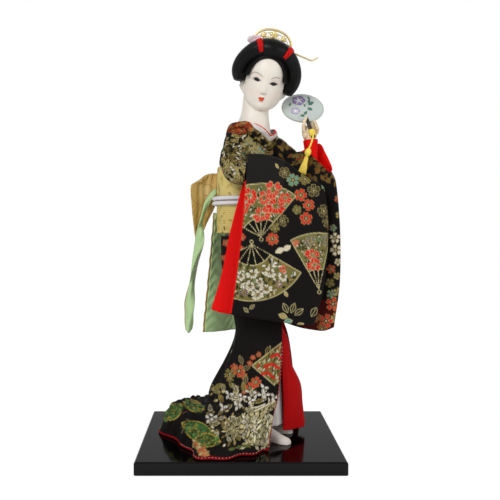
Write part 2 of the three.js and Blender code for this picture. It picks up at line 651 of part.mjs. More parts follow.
function bag(frontRows, backRows, inset, open = {}) {
  const [columns, rows] = [6, 6];
  const sides = [grid(surface(frontRows), columns, rows, inset), grid(surface(backRows), columns, rows, -inset)];
  const push = (edge, inner, amount) => edge.addScaledVector(edge.clone().sub(inner).normalize(), amount);
  for (const side of sides) {
    for (const row of side) {
      push(row[0], row[1], open.left ?? -inset);
      push(row[columns], row[columns - 1], -inset);
    }
    for (let j = 0; j <= columns; j++) {
      push(side[0][j], side[1][j], open.top ?? -inset);
      push(side[rows][j], side[rows - 1][j], -inset);
    }
  }
  return slab(...sides);
}

const S = ARM_HEIGHT;
const low = S - SLEEVE_LENGTH;
const rightFront = [
  [at(5, -34, S - 9), at(15, -36, S - 9), at(28, -37, S - 11), at(42, -36, S - 17), at(53, -32.5, S - 25)],
  [at(4, -36.5, S - 18), at(15, -38.5, S - 18), at(28, -39.5, S - 20), at(43, -38, S - 26), at(55, -33.5, S - 33)],
  [at(1.5, -37, S - 55), at(14, -39.5, S - 55), at(28, -39, S - 56), at(43, -39.5, S - 58), at(56, -33.5, S - 60)],
  [at(-2.5, -36, S - 90), at(12, -39, S - 91), at(28, -37.5, S - 93), at(43, -39, S - 95), at(56.5, -33, S - 97)],
  [at(-6, -34, low + 9), at(11, -36.5, low + 6.5), at(28, -35.5, low + 4), at(43, -36.5, low + 2), at(56, -32.5, low)],
];
const rightBack = [
  [at(4, -26.5, S - 9), at(15, -26.5, S - 9), at(28, -27, S - 11), at(42, -27.5, S - 17), at(53, -26.5, S - 25)],
  [at(1, -25.5, S - 18), at(15, -25, S - 18), at(28, -25.5, S - 20), at(43, -26, S - 26), at(55, -26.5, S - 33)],
  [at(-5, -26, S - 55), at(12, -27, S - 55), at(28, -28, S - 56), at(43, -28, S - 58), at(56, -27.5, S - 60)],
  [at(-11, -25.5, S - 90), at(10, -27, S - 91), at(28, -28, S - 93), at(43, -28.5, S - 95), at(56.5, -27, S - 97)],
  [at(-16.5, -25, low + 11), at(9, -27.5, low + 7), at(28, -28, low + 4), at(43, -28.5, low + 2), at(56, -26.5, low)],
];
const leftFront = [
  [at(31, -5, S - 6), at(38, -10, S - 5), at(46, -13.4, S - 4), at(54, -17.5, S - 9), at(61, -22, S - 17)],
  [at(31, -7, S - 18), at(39, -11, S - 18), at(48, -15, S - 18), at(56, -20, S - 22), at(64, -25.5, S - 28)],
  [at(32, -9, S - 55), at(41, -14, S - 55), at(50, -19, S - 56), at(59, -23.5, S - 57), at(67, -27, S - 58)],
  [at(33, -9.5, S - 92), at(42, -14, S - 93), at(51, -19.5, S - 94), at(60, -23, S - 94), at(67.2, -27, S - 94)],
  [at(34, -10, low - 1), at(42, -14, low - 3), at(50, -18.5, low - 4), at(57, -22, low - 4), at(63.5, -25, low - 1)],
];
const leftBack = [
  [at(31, 4, S - 6), at(38, 1, S - 5), at(46, 2, S - 4), at(55, -0.5, S - 9), at(63, -13, S - 17)],
  [at(31, 4, S - 18), at(39, 1, S - 18), at(48, 1, S - 18), at(58, -4.5, S - 22), at(66, -17, S - 28)],
  [at(32, 1, S - 55), at(41, -3, S - 55), at(50, -8, S - 56), at(60, -14, S - 57), at(67.5, -20, S - 58)],
  [at(33, -1, S - 92), at(42, -5, S - 93), at(52, -10, S - 94), at(61, -15, S - 94), at(67.5, -20, S - 94)],
  [at(34, -2.5, low - 1), at(42, -6.5, low - 3), at(51, -11, low - 4), at(58, -15, low - 4), at(64.5, -18.5, low - 1)],
];
const upperRight = smooth([
  at(0, -4, S - 4), at(-3.5, -10, S - 6), at(-4.6, -19, S - 13), at(-1.5, -27.5, S - 20), at(6, -31.5, S - 22),
]);
const upperLeft = smooth([at(13, 5, S + 1), at(23, 8, S + 1), at(33, 6, S - 6), at(41, -1, S - 14.5),
  at(46, -5.6, S - 18.5)]);
const liningInset = CLOTH + CLEARANCE;
const bodyRoom = [
  chest(bodiceOuter + CLEARANCE), obiDrum(obiOuter + CLEARANCE, CLEARANCE),
  common(chest(collarOuter + CLEARANCE), opening(COLLAR_WIDTH + CLEARANCE)),
].map((tool) => moved(tool, torso.matrix));

function sleeve(front, back, upper, radii, open) {
  const tube = limb(upper, radii, 8, 6);
  const bore = limb(upper, radii.map((r) => r - CLOTH), 8, 6);
  const whole = join(bag(front, back, 0), tube);
  return cut(whole, bag(front, back, CLOTH, open), bore, ...bodyRoom);
}

function sleeveLining(front, back, upper, radii, open) {
  const tube = limb(upper, radii.map((r) => r + CLEARANCE), 8, 6);
  return cut(bag(front, back, liningInset), bag(front, back, liningInset + CLOTH, open), tube);
}

const rightRadii = [8.4, 8.8, 9.2, 8.6, 7];
const leftRadii = [8.4, 8.8, 8.4, 6.4, 4.2];
const rightOpen = { left: 6 };
const leftOpen = { top: 6 };
piece(figure, "sleeve_right", BLACK_BROCADE, sleeve(rightFront, rightBack, upperRight, rightRadii, rightOpen));
piece(figure, "sleeve_right_lining", RED_SILK,
  sleeveLining(rightFront, rightBack, upperRight, rightRadii, rightOpen));
piece(figure, "sleeve_left", BLACK_BROCADE, sleeve(leftFront, leftBack, upperLeft, leftRadii, leftOpen));
piece(figure, "sleeve_left_lining", RED_SILK, sleeveLining(leftFront, leftBack, upperLeft, leftRadii, leftOpen));

// Red under-sleeve round the raised wrist

const cuffRadii = [3.6, 4, 4.6];
const cuff = (thin, past) => limb(smooth([
  at(50.2, -8.5, S - 11 - past), at(49.9, -8.6, S - 4), at(49.4, -8.7, S + 3.6 + past),
]), cuffRadii.map((r) => r - thin), 12, 4);
piece(figure, "under_sleeve_left", RED_SILK, cut(cuff(0, 0), cuff(CLOTH, 1)));

// Skirt. It wraps the lower body, opens at the front below the knee and spreads to a train on the
// board. Outlines run from the near front edge round the back to the far front edge.

const skirtGap = CLEARANCE + CLOTH;
const wrapGrowth = CLOTH + 2 * CLEARANCE;
const wrap = (shape) => oval(larger(shape, skirtGap), -16, 372, 9, wrapGrowth);
const shin = [[26, -23], [14, -27], [0, -24], [-13, -14], [-19, 0], [-13, 16], [3, 24], [22, 24], [41, 13]];
const ankle = [[22.5, -27], [9, -32], [-6, -30.5], [-17, -18], [-23.5, 0], [-18, 19], [1, 28], [22, 27.5], [42, 15]];
const train = [[20.5, -30, 12], [3, -37, 10.5], [-17, -38, 12], [-34, -22, 15], [-47, 3, 19], [-39, 24, 16],
  [-12, 34.5, 12], [18, 31.5, 12], [44, 18, 12]];
const hem = [[19, -32], [0, -42], [-24, -47.5], [-37, -25], [-57, 6], [-47, 31], [-16, 41], [18, 36], [46, 21]];
const hemLift = HEM_DIAMETER + 2 * CLEARANCE;
const skirtBase = surface([
  wrap(waistOval(0)), wrap(belowObi(0)), wrap(hip), wrap(thigh),
  oval({ x: 17, y: 0, z: 71, halfWidth: 20, halfDepth: 19, turn: 65 }, 24, 316, 9),
  shin.map(([x, y]) => at(x, y, 36)), ankle.map(([x, y]) => at(x, y, 23)),
  train.map(([x, y, z]) => at(x, y, z)), hem.map(([x, y]) => at(x, y, hemLift)),
]);
const folded = (sheet, depth, count, from) => (u, v) => {
  const grow = Math.max(0, (v - from) / (1 - from));
  const point = sheet(u, v);
  const along = sheet(Math.min(u + 0.01, 1), v).sub(sheet(Math.max(u - 0.01, 0), v));
  const out = at(along.y, -along.x, 0).normalize();
  return point.addScaledVector(out, depth * grow * Math.sin(2 * Math.PI * count * u));
};
const skirt = folded(skirtBase, FOLD_DEPTH, FOLD_COUNT, 0.45);
piece(figure, "kimono_skirt", BLACK_BROCADE, thickSheet(skirt, 40, 9, CLOTH));

// Red piping along the hem, which the skirt rests on

const hemLine = smooth(steps(40).map((u) => {
  const [point] = grid((a, b) => skirt(lerp(u, Math.min(u + 0.01, 1), a), lerp(0.98, 1, b)), 1, 1, CLOTH / 2)[1];
  return at(point.x, point.y, HEM_DIAMETER / 2 + CLEARANCE);
}));
piece(figure, "hem_piping", RED_SILK, bar(hemLine, HEM_DIAMETER / 2, 5, 44));

// Under-skirts: a white one round the rods and a red one across the opening

function whiteSkirt(grow) {
  const rings = [
    { x: 18, y: -0.3, z: CORE_BOTTOM + 8, halfWidth: 8.6, halfDepth: 8.6 },
    { x: 20, y: -1.5, z: 40, halfWidth: 9.8, halfDepth: 11.6 },
    { x: 21, y: -2.5, z: FOOT_HEIGHT + 1.6, halfWidth: 10.2, halfDepth: 13.6 },
  ];
  return skin(rings.map((shape, i) => ring({
    ...larger(shape, grow), z: shape.z + (grow > CLEARANCE ? 0 : i === 0 ? 1 : i === 2 ? -1 : 0),
  }, 18)));
}

const redRows = surface([
  oval(larger({ ...knee, z: knee.z + 2 }, CLEARANCE + CLOTH + 0.2), 40, -64, 5),
  [at(29.6, -11, 69), at(33.4, -7.5, 69), at(35.2, -1.8, 69), at(32.4, 3.4, 69), at(28.4, 8, 69)],
  [at(32.5, -10, 36), at(38.5, -7, 36), at(43.5, 2, 36), at(40, 8.6, 36), at(33.5, 14, 36)],
  [at(33.5, -8, 4), at(42.5, -5.5, 4), at(49, 4, 4), at(44.5, 12.5, 4), at(36.5, 19, 4)],
]);
const redSheet = (u, v) => redRows(u, v).add(
  at(0.94, -0.34, 0).multiplyScalar(0.9 * v * Math.sin(2 * Math.PI * 3.5 * u)));
piece(figure, "under_skirt_white", WHITE_COTTON, cut(whiteSkirt(CLEARANCE + CLOTH), whiteSkirt(CLEARANCE)));
piece(figure, "under_skirt_red", RED_SILK, thickSheet(redSheet, 14, 6, CLOTH));

// Head: an egg with a nose, ears and a turned neck. Sections run from chin to crown as shares of the
// head's half height, half width and half depth, with the shift of their middle.

const headSections = [[-1, 0.3, -0.6, 0.18], [-0.87, 0.62, -0.44, 0.4], [-0.64, 0.87, -0.23, 0.65],
  [-0.32, 0.98, -0.06, 0.87], [0, 1, 0.03, 0.98], [0.36, 1, 0.07, 1.02], [0.68, 0.87, 0.09, 0.88],
  [0.9, 0.58, 0.12, 0.58], [1.02, 0.18, 0.12, 0.2]];

function skullForm(grow, nose, around = 18, up = 12) {
  const rows = headSections.map(([rise, wide, shift, deep], i) => ring({
    y: shift * HEAD_HALF_DEPTH, halfWidth: wide * HEAD_HALF_WIDTH + grow, halfDepth: deep * HEAD_HALF_DEPTH + grow,
    z: rise * (rise < 0 ? CHIN_DROP : CROWN_RISE) + (i === 0 ? -grow : i === headSections.length - 1 ? grow : 0),
  }, around));
  const columns = rows[0].map((_, j) => smooth(rows.map((row) => row[j])));
  return skin(steps(up).map((v) => columns.map((column) => {
    const p = column.getPoint(v);
    const rise = THREE.MathUtils.smoothstep(-p.z, -2, 8) * (1 - THREE.MathUtils.smoothstep(-p.z, 8.2, 11));
    if (p.y < 0) p.y -= nose * rise * Math.exp(-((p.x / 2) ** 2));
    return p;
  })));
}

const earBall = (side, grow) =>
  ball(side * 0.97 * HEAD_HALF_WIDTH, 2.2, -3.5, 1.5 + grow, 2.6 + grow, 3.9 + grow, 8, 6);
const ears = [-1, 1].map((side) => earBall(side, 0));
piece(head, "head", BISQUE, cut(
  join(turned(neckProfile(0), 14), ...[skullForm(0, NOSE_LENGTH), ...ears].map((g) => moved(g, skull.matrix))),
  peg(CLEARANCE)));

const combAt = 2.4;

// Wig: a cap over the skull, a broad roll round the face, a top knot and a loop at the nape

const capForm = (grow) => ball(0, 3, 1, HEAD_HALF_WIDTH + WIG_THICKNESS + grow,
  HEAD_HALF_DEPTH + WIG_THICKNESS + grow, CROWN_RISE + WIG_THICKNESS + grow, 16, 10);

function faceWindow() {
  const half = HEAD_HALF_WIDTH - 1.2;
  const arch = new THREE.Shape();
  arch.moveTo(-half, -60);
  arch.lineTo(half, -60);
  arch.lineTo(half, 2);
  arch.absellipse(0, 2, half, HAIRLINE_HEIGHT - 2, 0, Math.PI, false, 0);
  return plate(arch, 60).rotateX(Math.PI / 2).translate(0, 4, 0);
}

const rollPath = smooth([[-0.93, 2.5, 0], [-1, 1.5, 0.3], [-0.9, -1.5, 0.62], [-0.52, -4, 0.92], [0, -5, 1],
  [0.52, -4, 0.92], [0.9, -1.5, 0.62], [1, 1.5, 0.3], [0.93, 2.5, 0]].map(([x, y, rise]) =>
  at(x * ROLL_HALF_SPAN, y, lerp(-ROLL_DROP, ROLL_TOP, rise))));
const rollShare = smooth([0.6, 0.95, 1, 1.22, 1.46, 1.22, 1, 0.95, 0.6].map((r, i) => at(r, i, 0)));

// A point of the roll's skin: t runs from one end to the other, the angle from its outer side backwards.
function rollPoint(t, angle, grow) {
  const middle = rollPath.getPoint(t);
  const along = rollPath.getTangent(t);
  const out = at(0, 1, 0).cross(along).normalize();
  const share = rollShare.getPoint(t).x;
  return middle
    .addScaledVector(out, (ROLL_RADIUS * share + grow) * Math.cos(angle))
    .addScaledVector(at(0, 1, 0), (ROLL_HALF_DEPTH * share + grow) * Math.sin(angle));
}

function roll(grow) {
  return skin(steps(16).map((t) => steps(9).map((_, j) => rollPoint(t, (2 * Math.PI * j) / 10, grow))));
}

const combBack = combAt + COMB_THICKNESS / 2 + 2 * CLEARANCE;
const topKnot = (grow) => ball(0, combBack + KNOT_HALF_LENGTH, ROLL_TOP + 3.4, KNOT_HALF_WIDTH + grow,
  KNOT_HALF_LENGTH + grow, KNOT_HALF_HEIGHT + grow, 14, 8);
const ribbonSpots = [0.4, 0.625];

function ribbon(middle) {
  const span = RIBBON_WIDTH / rollPath.getLength() / 2;
  const face = (grow) => steps(8).map((v) => steps(2).map((u) =>
    rollPoint(lerp(middle - span, middle + span, u), degToRad(lerp(-112, 24, v)), grow)));
  return slab(face(CLEARANCE), face(CLEARANCE + RIBBON_THICKNESS));
}

// Half-moon comb with a pierced flower between its rim and its spine, and teeth that go into the wig

const combFoot = at(-0.8, combAt, ROLL_TOP + 6.1);
const toothSpots = steps(COMB_TEETH - 1).map((t) => lerp(-0.38, 0.38, t) * COMB_WIDTH);

function halfMoon(halfWidth, rise, from) {
  const shape = new THREE.Shape();
  shape.moveTo(-halfWidth, from);
  shape.lineTo(halfWidth, from);
  shape.absellipse(0, from, halfWidth, rise, 0, Math.PI, false, 0);
  return shape;
}

function rosette(x, y, radius) {
  return new THREE.Shape(steps(9).map((_, i) => {
    const angle = (2 * Math.PI * i) / 10 + Math.PI / 2;
    const r = radius * (i % 2 ? 0.62 : 1);
    return new THREE.Vector2(x + r * Math.cos(angle), y + r * Math.sin(angle));
  }));
}

function comb() {
  const thin = COMB_THICKNESS;
  const moon = cut(plate(halfMoon(COMB_WIDTH / 2, COMB_RISE, 0), thin),
    plate(halfMoon(COMB_WIDTH / 2 - COMB_RIM, COMB_RISE - COMB_RIM, 0), thin + 2).translate(0, COMB_SPINE, -1)
      .applyMatrix4(new THREE.Matrix4().makeScale(1, (COMB_RISE - COMB_RIM) / (COMB_RISE - COMB_RIM + COMB_SPINE), 1)
        .setPosition(0, COMB_SPINE * 0.2, 0)));
  const flowers = [[0, 0.52, 0.36], [-0.25, 0.4, 0.26], [0.25, 0.4, 0.26]].map(([x, y, r]) =>
    plate(rosette(x * COMB_WIDTH, y * COMB_RISE, r * COMB_RISE), thin));
  const teeth = toothSpots.map((x) => plate(new THREE.Shape([
    new THREE.Vector2(x - TOOTH_WIDTH / 2, 0.5), new THREE.Vector2(x - TOOTH_WIDTH / 4, -TOOTH_LENGTH),
    new THREE.Vector2(x + TOOTH_WIDTH / 4, -TOOTH_LENGTH), new THREE.Vector2(x + TOOTH_WIDTH / 2, 0.5),
  ]), thin));
  return join(moon, ...flowers, ...teeth).translate(0, 0, -thin / 2).rotateX(Math.PI / 2)
    .translate(combFoot.x, combFoot.y, combFoot.z);
}

function combRoom() {
  const half = 0.38 * COMB_WIDTH + TOOTH_WIDTH / 2 + CLEARANCE;
  const slot = plate(new THREE.Shape([
    new THREE.Vector2(-half, -TOOTH_LENGTH - CLEARANCE), new THREE.Vector2(half, -TOOTH_LENGTH - CLEARANCE),
    new THREE.Vector2(half, 0), new THREE.Vector2(-half, 0),
  ]), COMB_THICKNESS + 2 * CLEARANCE);
  const above = plate(halfMoon(COMB_WIDTH / 2 + CLEARANCE, COMB_RISE + 20, -CLEARANCE), COMB_THICKNESS + 2 * CLEARANCE);
  return join(slot, above).translate(0, 0, -COMB_THICKNESS / 2 - CLEARANCE).rotateX(Math.PI / 2)
    .translate(combFoot.x, combFoot.y, combFoot.z);
}

// Hairpin with a bent tip. It runs through the top knot from the doll's left.

const pinRoot = at(KNOT_HALF_WIDTH - 1.5, combBack + 6, ROLL_TOP + 4.8);
const pinAlong = at(0.985, 0, -0.17).normalize();
const pinStart = pinRoot.clone().addScaledVector(pinAlong, -PIN_BURIED);
const pinBend = pinRoot.clone().addScaledVector(pinAlong, PIN_SHOWN + 6);
const pinTip = pinBend.clone().add(at(0.8, 0, 0.6).multiplyScalar(PIN_HOOK));
const pinCurve = new THREE.CurvePath();
pinCurve.add(new THREE.LineCurve3(pinStart, pinBend.clone().addScaledVector(pinAlong, -1.2)));
pinCurve.add(new THREE.QuadraticBezierCurve3(pinBend.clone().addScaledVector(pinAlong, -1.2), pinBend,
  pinBend.clone().lerp(pinTip, 0.3)));
pinCurve.add(new THREE.LineCurve3(pinBend.clone().lerp(pinTip, 0.3), pinTip));
const pinRoom = rod(pinStart.clone().addScaledVector(pinAlong, -CLEARANCE), pinBend,
  PIN_DIAMETER / 2 + CLEARANCE, 10);

const flowerAt = at(-14.2, 2, ROLL_TOP + 6.1);

function flower() {
  const [around, up] = [2 * FLOWER_PETALS, 5];
  return skin(steps(up).map((v) => steps(around - 1).map((_, i) => {
    const angle = (2 * Math.PI * i) / around;
    const r = FLOWER_RADIUS * Math.sin(Math.PI * lerp(0.08, 0.92, v)) * (0.84 + 0.16 * Math.cos(FLOWER_PETALS * angle));
    const depth = -FLOWER_RADIUS * 0.5 * Math.cos(Math.PI * lerp(0.08, 0.92, v));
    return at(flowerAt.x + r * Math.cos(angle), flowerAt.y + depth, flowerAt.z + r * Math.sin(angle));
  })));
}

const headRoom = skullForm(2.6 * CLEARANCE, 0, 14, 9);
const earRooms = [-1, 1].map((side) => earBall(side, CLEARANCE));
const skullInverse = skull.matrix.clone().invert();
const neckRoomSkull = moved(turned(neckProfile(CLEARANCE), 14), skullInverse);
const underWig = plate(polygon(80, 4), 60).translate(0, 0, -60).rotateX(degToRad(-WIG_CUT)).translate(0, 0, -ROLL_DROP - 2);

piece(skull, "hair_cap", HAIR, cut(capForm(0), headRoom, ...earRooms, faceWindow(), underWig, neckRoomSkull,
  combRoom()));
piece(skull, "hair_roll", HAIR, cut(roll(0), headRoom, ...earRooms, capForm(CLEARANCE), combRoom(), pinRoom));
piece(skull, "hair_top_knot", HAIR, cut(topKnot(0), capForm(CLEARANCE), roll(CLEARANCE), combRoom(), pinRoom));
piece(skull, "hair_nape", HAIR, cut(ball(0, 17, -8.5, 11, 9.5, 8, 14, 8), headRoom, capForm(CLEARANCE), neckRoomSkull));
for (const [i, spot] of ribbonSpots.entries()) {
  piece(skull, `hair_ribbon_${i ? "left" : "right"}`, RED_SILK,
    cut(ribbon(spot), topKnot(CLEARANCE), capForm(CLEARANCE), combRoom(), pinRoom));
}
piece(skull, "hair_comb", GILT, comb());
piece(skull, "hair_pin", GILT, bar(pinCurve, PIN_DIAMETER / 2, 6, 18));
piece(skull, "hair_flower", PINK_SILK, cut(flower(), roll(CLEARANCE), topKnot(CLEARANCE), capForm(CLEARANCE),
  combRoom()));

// Fan in the raised hand, with a wrapped end and a tassel

const fanMiddle = FAN_RADIUS + 4;
const handle = (grow) => rod(at(0, 0, -HANDLE_BELOW_GRIP - grow), at(0, 0, HANDLE_ABOVE_GRIP + grow),
  HANDLE_DIAMETER / 2 + grow, 12);
const wrapLow = -HANDLE_BELOW_GRIP + 0.4;

function wrapping(grow) {
  const [inner, outer] = [HANDLE_DIAMETER / 2 + CLEARANCE - grow, WRAP_DIAMETER / 2 + grow];
  return turned([
    [inner, wrapLow - grow], [outer - 0.4, wrapLow - grow], [outer, wrapLow + 0.25 * WRAP_LENGTH],
    [outer - 0.3, wrapLow + 0.5 * WRAP_LENGTH], [outer, wrapLow + 0.75 * WRAP_LENGTH],
    [outer - 0.4, wrapLow + WRAP_LENGTH + grow], [inner, wrapLow + WRAP_LENGTH + grow], [inner, wrapLow - grow],
  ], 12);
}

const disc = (radius, thickness) => new THREE.CylinderGeometry(radius, radius, thickness, 30)
  .translate(0, 0, fanMiddle);
piece(fan, "fan_leaf", FAN_PAPER, cut(disc(FAN_RADIUS - FAN_RIM_WIDTH - CLEARANCE, FAN_THICKNESS), handle(CLEARANCE)));
piece(fan, "fan_rim", FAN_PAPER, cut(disc(FAN_RADIUS, FAN_RIM_THICKNESS),
  disc(FAN_RADIUS - FAN_RIM_WIDTH, FAN_RIM_THICKNESS + 2), handle(CLEARANCE)));
piece(fan, "fan_handle", DARK_BAMBOO, handle(0));
piece(fan, "fan_wrapping", YELLOW_SILK, wrapping(0));

function grippingHand() {
  const wrist = at(49.7, -8.9, ARM_HEIGHT - 1).applyMatrix4(fan.matrix.clone().invert());
  const palm = limb(smooth([wrist, at(-0.4, 6.3, -6.5), at(0.2, 5.2, -0.5), at(0.2, 4.5, 4.6)]), [2.8, 3.1, 3.6, 2.2], 8, 6);
  const fingers = [2, -0.4, -2.8, -5.2].map((z) => limb(smooth([
    at(1.6, 4.8, z), at(4.3, 1.8, z), at(4.2, -1.4, z), at(2.9, -2.9, z - 0.2),
  ]), [1.15, 1.15, 1.1, 0.8], 5, 4));
  const thumb = limb(smooth([at(-2.2, 5, -3.4), at(-3.9, 1.8, 0), at(-2.9, -1.9, 3), at(-0.6, -3.2, 6.4)]),
    [1.4, 1.35, 1.2, 0.8], 6, 4);
  const wireRoom = moved(armWire(armLeft, CLEARANCE), fan.matrix.clone().invert());
  return cut(join(palm, ...fingers, thumb), handle(CLEARANCE), wrapping(CLEARANCE), wireRoom);
}

piece(fan, "hand_left", HAND_RESIN, grippingHand());

const handEnd = armRight.getPoint(1);
piece(figure, "hand_right", HAND_RESIN, cut(limb(smooth([
  handEnd.clone().add(at(-3, 0, 0)), handEnd.clone().add(at(4, 0, -0.5)), handEnd.clone().add(at(11, 0, -1.5)),
]), [2.7, 3.1, 1.6], 10, 5), armWire(armRight, CLEARANCE)));

const tassel = new THREE.Group();
tassel.position.copy(at(0, -WRAP_DIAMETER / 2 - CLEARANCE - 0.9 * TASSEL_CORD_DIAMETER,
  wrapLow + 0.6).applyMatrix4(fan.matrix));
tassel.rotation.y = degToRad(TASSEL_LEAN);
figure.add(tassel);
const cordCurve = smooth([at(0, 0, 0.6), at(0.5, -0.3, -TASSEL_DROP * 0.5),
  at(0, 0, -TASSEL_DROP), at(0, 0, -TASSEL_DROP - TASSEL_BEAD_LENGTH - 1)]);
const tasselCord = (grow) => bar(cordCurve, TASSEL_CORD_DIAMETER / 2 + grow, 6, 8);
const beadMiddle = -TASSEL_DROP - TASSEL_BEAD_LENGTH / 2 + 1;
const fringeTop = beadMiddle - TASSEL_BEAD_LENGTH / 2 - CLEARANCE;

function fringe() {
  const sections = [[0, 0.34], [0.1, 0.5], [0.22, 0.44], [0.6, 0.8], [1, 1]];
  return skin(sections.map(([down, wide], i) => steps(15).map((_, j) => {
    const angle = (2 * Math.PI * j) / 16;
    const r = (TASSEL_DIAMETER / 2) * wide * (i > 1 && j % 2 ? 0.8 : 1);
    return at(r * Math.cos(angle), r * Math.sin(angle), fringeTop - down * TASSEL_LENGTH);
  })));
}

piece(tassel, "tassel_cord", YELLOW_SILK, tasselCord(0));
piece(tassel, "tassel_bead", YELLOW_SILK, cut(
  ball(0, 0, beadMiddle, TASSEL_BEAD_DIAMETER / 2, TASSEL_BEAD_DIAMETER / 2, TASSEL_BEAD_LENGTH / 2, 10, 6),
  tasselCord(CLEARANCE)));
piece(tassel, "tassel_fringe", YELLOW_SILK, cut(fringe(), tasselCord(CLEARANCE)));

doll.updateMatrixWorld(true);
export default doll;
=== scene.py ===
# %% [markdown]
# A geisha doll, about 300 mm tall, on a lacquered board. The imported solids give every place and
# size. This lesson dresses them: woven cloth, painted bisque, combed hair, gilt and lacquer.
# Lengths are written in millimetres, as a doll maker would, and turned to metres in one place.
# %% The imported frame
import math
import bpy
import numpy as np
from mathutils import Euler, Matrix, Vector


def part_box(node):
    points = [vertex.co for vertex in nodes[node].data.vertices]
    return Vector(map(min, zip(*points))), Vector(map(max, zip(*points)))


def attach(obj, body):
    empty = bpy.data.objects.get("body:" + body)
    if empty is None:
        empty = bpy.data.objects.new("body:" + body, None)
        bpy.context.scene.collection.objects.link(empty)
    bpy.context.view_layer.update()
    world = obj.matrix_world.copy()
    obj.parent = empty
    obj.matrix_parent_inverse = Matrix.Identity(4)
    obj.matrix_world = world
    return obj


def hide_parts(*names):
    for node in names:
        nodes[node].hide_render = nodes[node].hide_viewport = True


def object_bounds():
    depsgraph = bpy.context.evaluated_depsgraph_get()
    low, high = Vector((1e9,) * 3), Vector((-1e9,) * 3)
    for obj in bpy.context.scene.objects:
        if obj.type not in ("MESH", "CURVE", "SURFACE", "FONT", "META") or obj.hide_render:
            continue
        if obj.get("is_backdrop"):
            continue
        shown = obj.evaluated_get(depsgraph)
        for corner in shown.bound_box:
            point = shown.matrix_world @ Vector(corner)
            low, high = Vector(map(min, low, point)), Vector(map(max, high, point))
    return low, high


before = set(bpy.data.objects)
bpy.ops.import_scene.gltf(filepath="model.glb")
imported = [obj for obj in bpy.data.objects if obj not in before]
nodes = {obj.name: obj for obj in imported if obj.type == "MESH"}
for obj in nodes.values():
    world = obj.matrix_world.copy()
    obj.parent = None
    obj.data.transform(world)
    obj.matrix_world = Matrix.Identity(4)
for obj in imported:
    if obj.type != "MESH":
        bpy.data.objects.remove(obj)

MM = 0.001
cad_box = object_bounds()
board_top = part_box("base_board")[1].z / MM
print("solids:", len(nodes), "board top at", round(board_top, 2), "mm")

# %% [markdown]
# The camera stands where the photograph was taken from: about 400 mm in front of the board, a
# little above its middle, looking two degrees down. The picture was cropped off centre, so the
# lens has a small sideways shift.
# %% Camera
CAMERA_AT = np.array([-10.44, -401.14, 155.39])
LOOK_DOWN = math.radians(1.94)
scene = bpy.context.scene
eye = bpy.data.cameras.new("photo_camera")
eye.lens, eye.sensor_width, eye.shift_x = 40.39, 36.0, 0.051
eye.clip_start, eye.clip_end = 0.02, 20
camera = bpy.data.objects.new("photo_camera", eye)
camera.location = Vector(CAMERA_AT) * MM
camera.rotation_euler = (math.pi / 2 - LOOK_DOWN, 0, 0)
scene.collection.objects.link(camera)
scene.camera = camera
print("camera at", tuple(round(x, 3) for x in camera.location))

# %% [markdown]
# Three small tools serve every material. One turns an sRGB hex value to the linear numbers that
# Blender works in. One sets or links the sockets of a node; a socket is named by its label, or by
# its place in the list where several share a label. One adds a node with its settings and links.
# %% Colour and nodes
NOISE, WAVE, MIX = "ShaderNodeTexNoise", "ShaderNodeTexWave", "ShaderNodeMix"
RANGE, BUMP, MATH = "ShaderNodeMapRange", "ShaderNodeBump", "ShaderNodeMath"
COLOURS, TIMES = {"data_type": "RGBA"}, {"operation": "MULTIPLY"}
DARKEN, PAINTED = {"data_type": "RGBA", "blend_type": "MULTIPLY"}, {"attribute_name": "paint"}


def linear(code):
    share = np.array([int(code[i:i + 2], 16) for i in (1, 3, 5)]) / 255
    return np.where(share <= 0.04045, share / 12.92, ((share + 0.055) / 1.055) ** 2.4)


def plug(tree, node, sockets):
    for key, value in sockets.items():
        if isinstance(value, bpy.types.NodeSocket):
            tree.links.new(value, node.inputs[key])
        else:
            node.inputs[key].default_value = (*linear(value), 1.0) if isinstance(value, str) else value


def add(tree, kind, settings=None, sockets=None):
    made = tree.nodes.new(kind)
    for key, value in (settings or {}).items():
        setattr(made, key, value)
    plug(tree, made, sockets or {})
    return made


def new_material(name):
    made = bpy.data.materials.new(name)
    made.use_nodes = True
    tree = made.node_tree
    return made, tree, tree.nodes["Principled BSDF"]


print("red silk is", np.round(linear("#c1121f"), 3))

# %% [markdown]
# A plain studio: a white floor that keeps a soft shadow, a white surround, a large soft lamp at
# the left front, a weaker one at the right and a small one behind. The white is what the eye sees;
# what lights the doll is lower, so that a colour comes out about as it is written.
# %% Studio
def seen_directly(tree):
    path = add(tree, "ShaderNodeLightPath").outputs
    rays = {0: path["Is Camera Ray"], 1: path["Is Transmission Ray"]}
    return add(tree, MATH, {"operation": "MAXIMUM"}, rays).outputs[0]


scene.view_settings.view_transform = "Standard"
world = bpy.data.worlds.new("studio")
scene.world = world
world.use_nodes = True
sky = world.node_tree
strength = add(sky, RANGE, None, {"Value": seen_directly(sky), "To Min": 0.4, "To Max": 1.0})
plug(sky, sky.nodes["Background"], {"Strength": strength.outputs[0], "Color": "#ffffff"})

floor_paper, tree, shader = new_material("floor_paper")
plug(tree, shader, {"Base Color": "#f6f6f6", "Roughness": 0.9})
white = add(tree, "ShaderNodeEmission", None, {"Strength": 1.1})
share = add(tree, MATH, TIMES, {0: seen_directly(tree), 1: 0.86})
mixed = add(tree, "ShaderNodeMixShader", None,
            {0: share.outputs[0], 1: shader.outputs[0], 2: white.outputs[0]})
tree.links.new(mixed.outputs[0], tree.nodes["Material Output"].inputs["Surface"])
flat = bpy.data.meshes.new("floor")
flat.from_pydata([(-4, -4, 0), (4, -4, 0), (4, 4, 0), (-4, 4, 0)], [], [(0, 1, 2, 3)])
flat.materials.append(floor_paper)
floor = bpy.data.objects.new("floor", flat)
scene.collection.objects.link(floor)
floor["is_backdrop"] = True
LIT_SPOT = Vector((0, 0, 0.17))


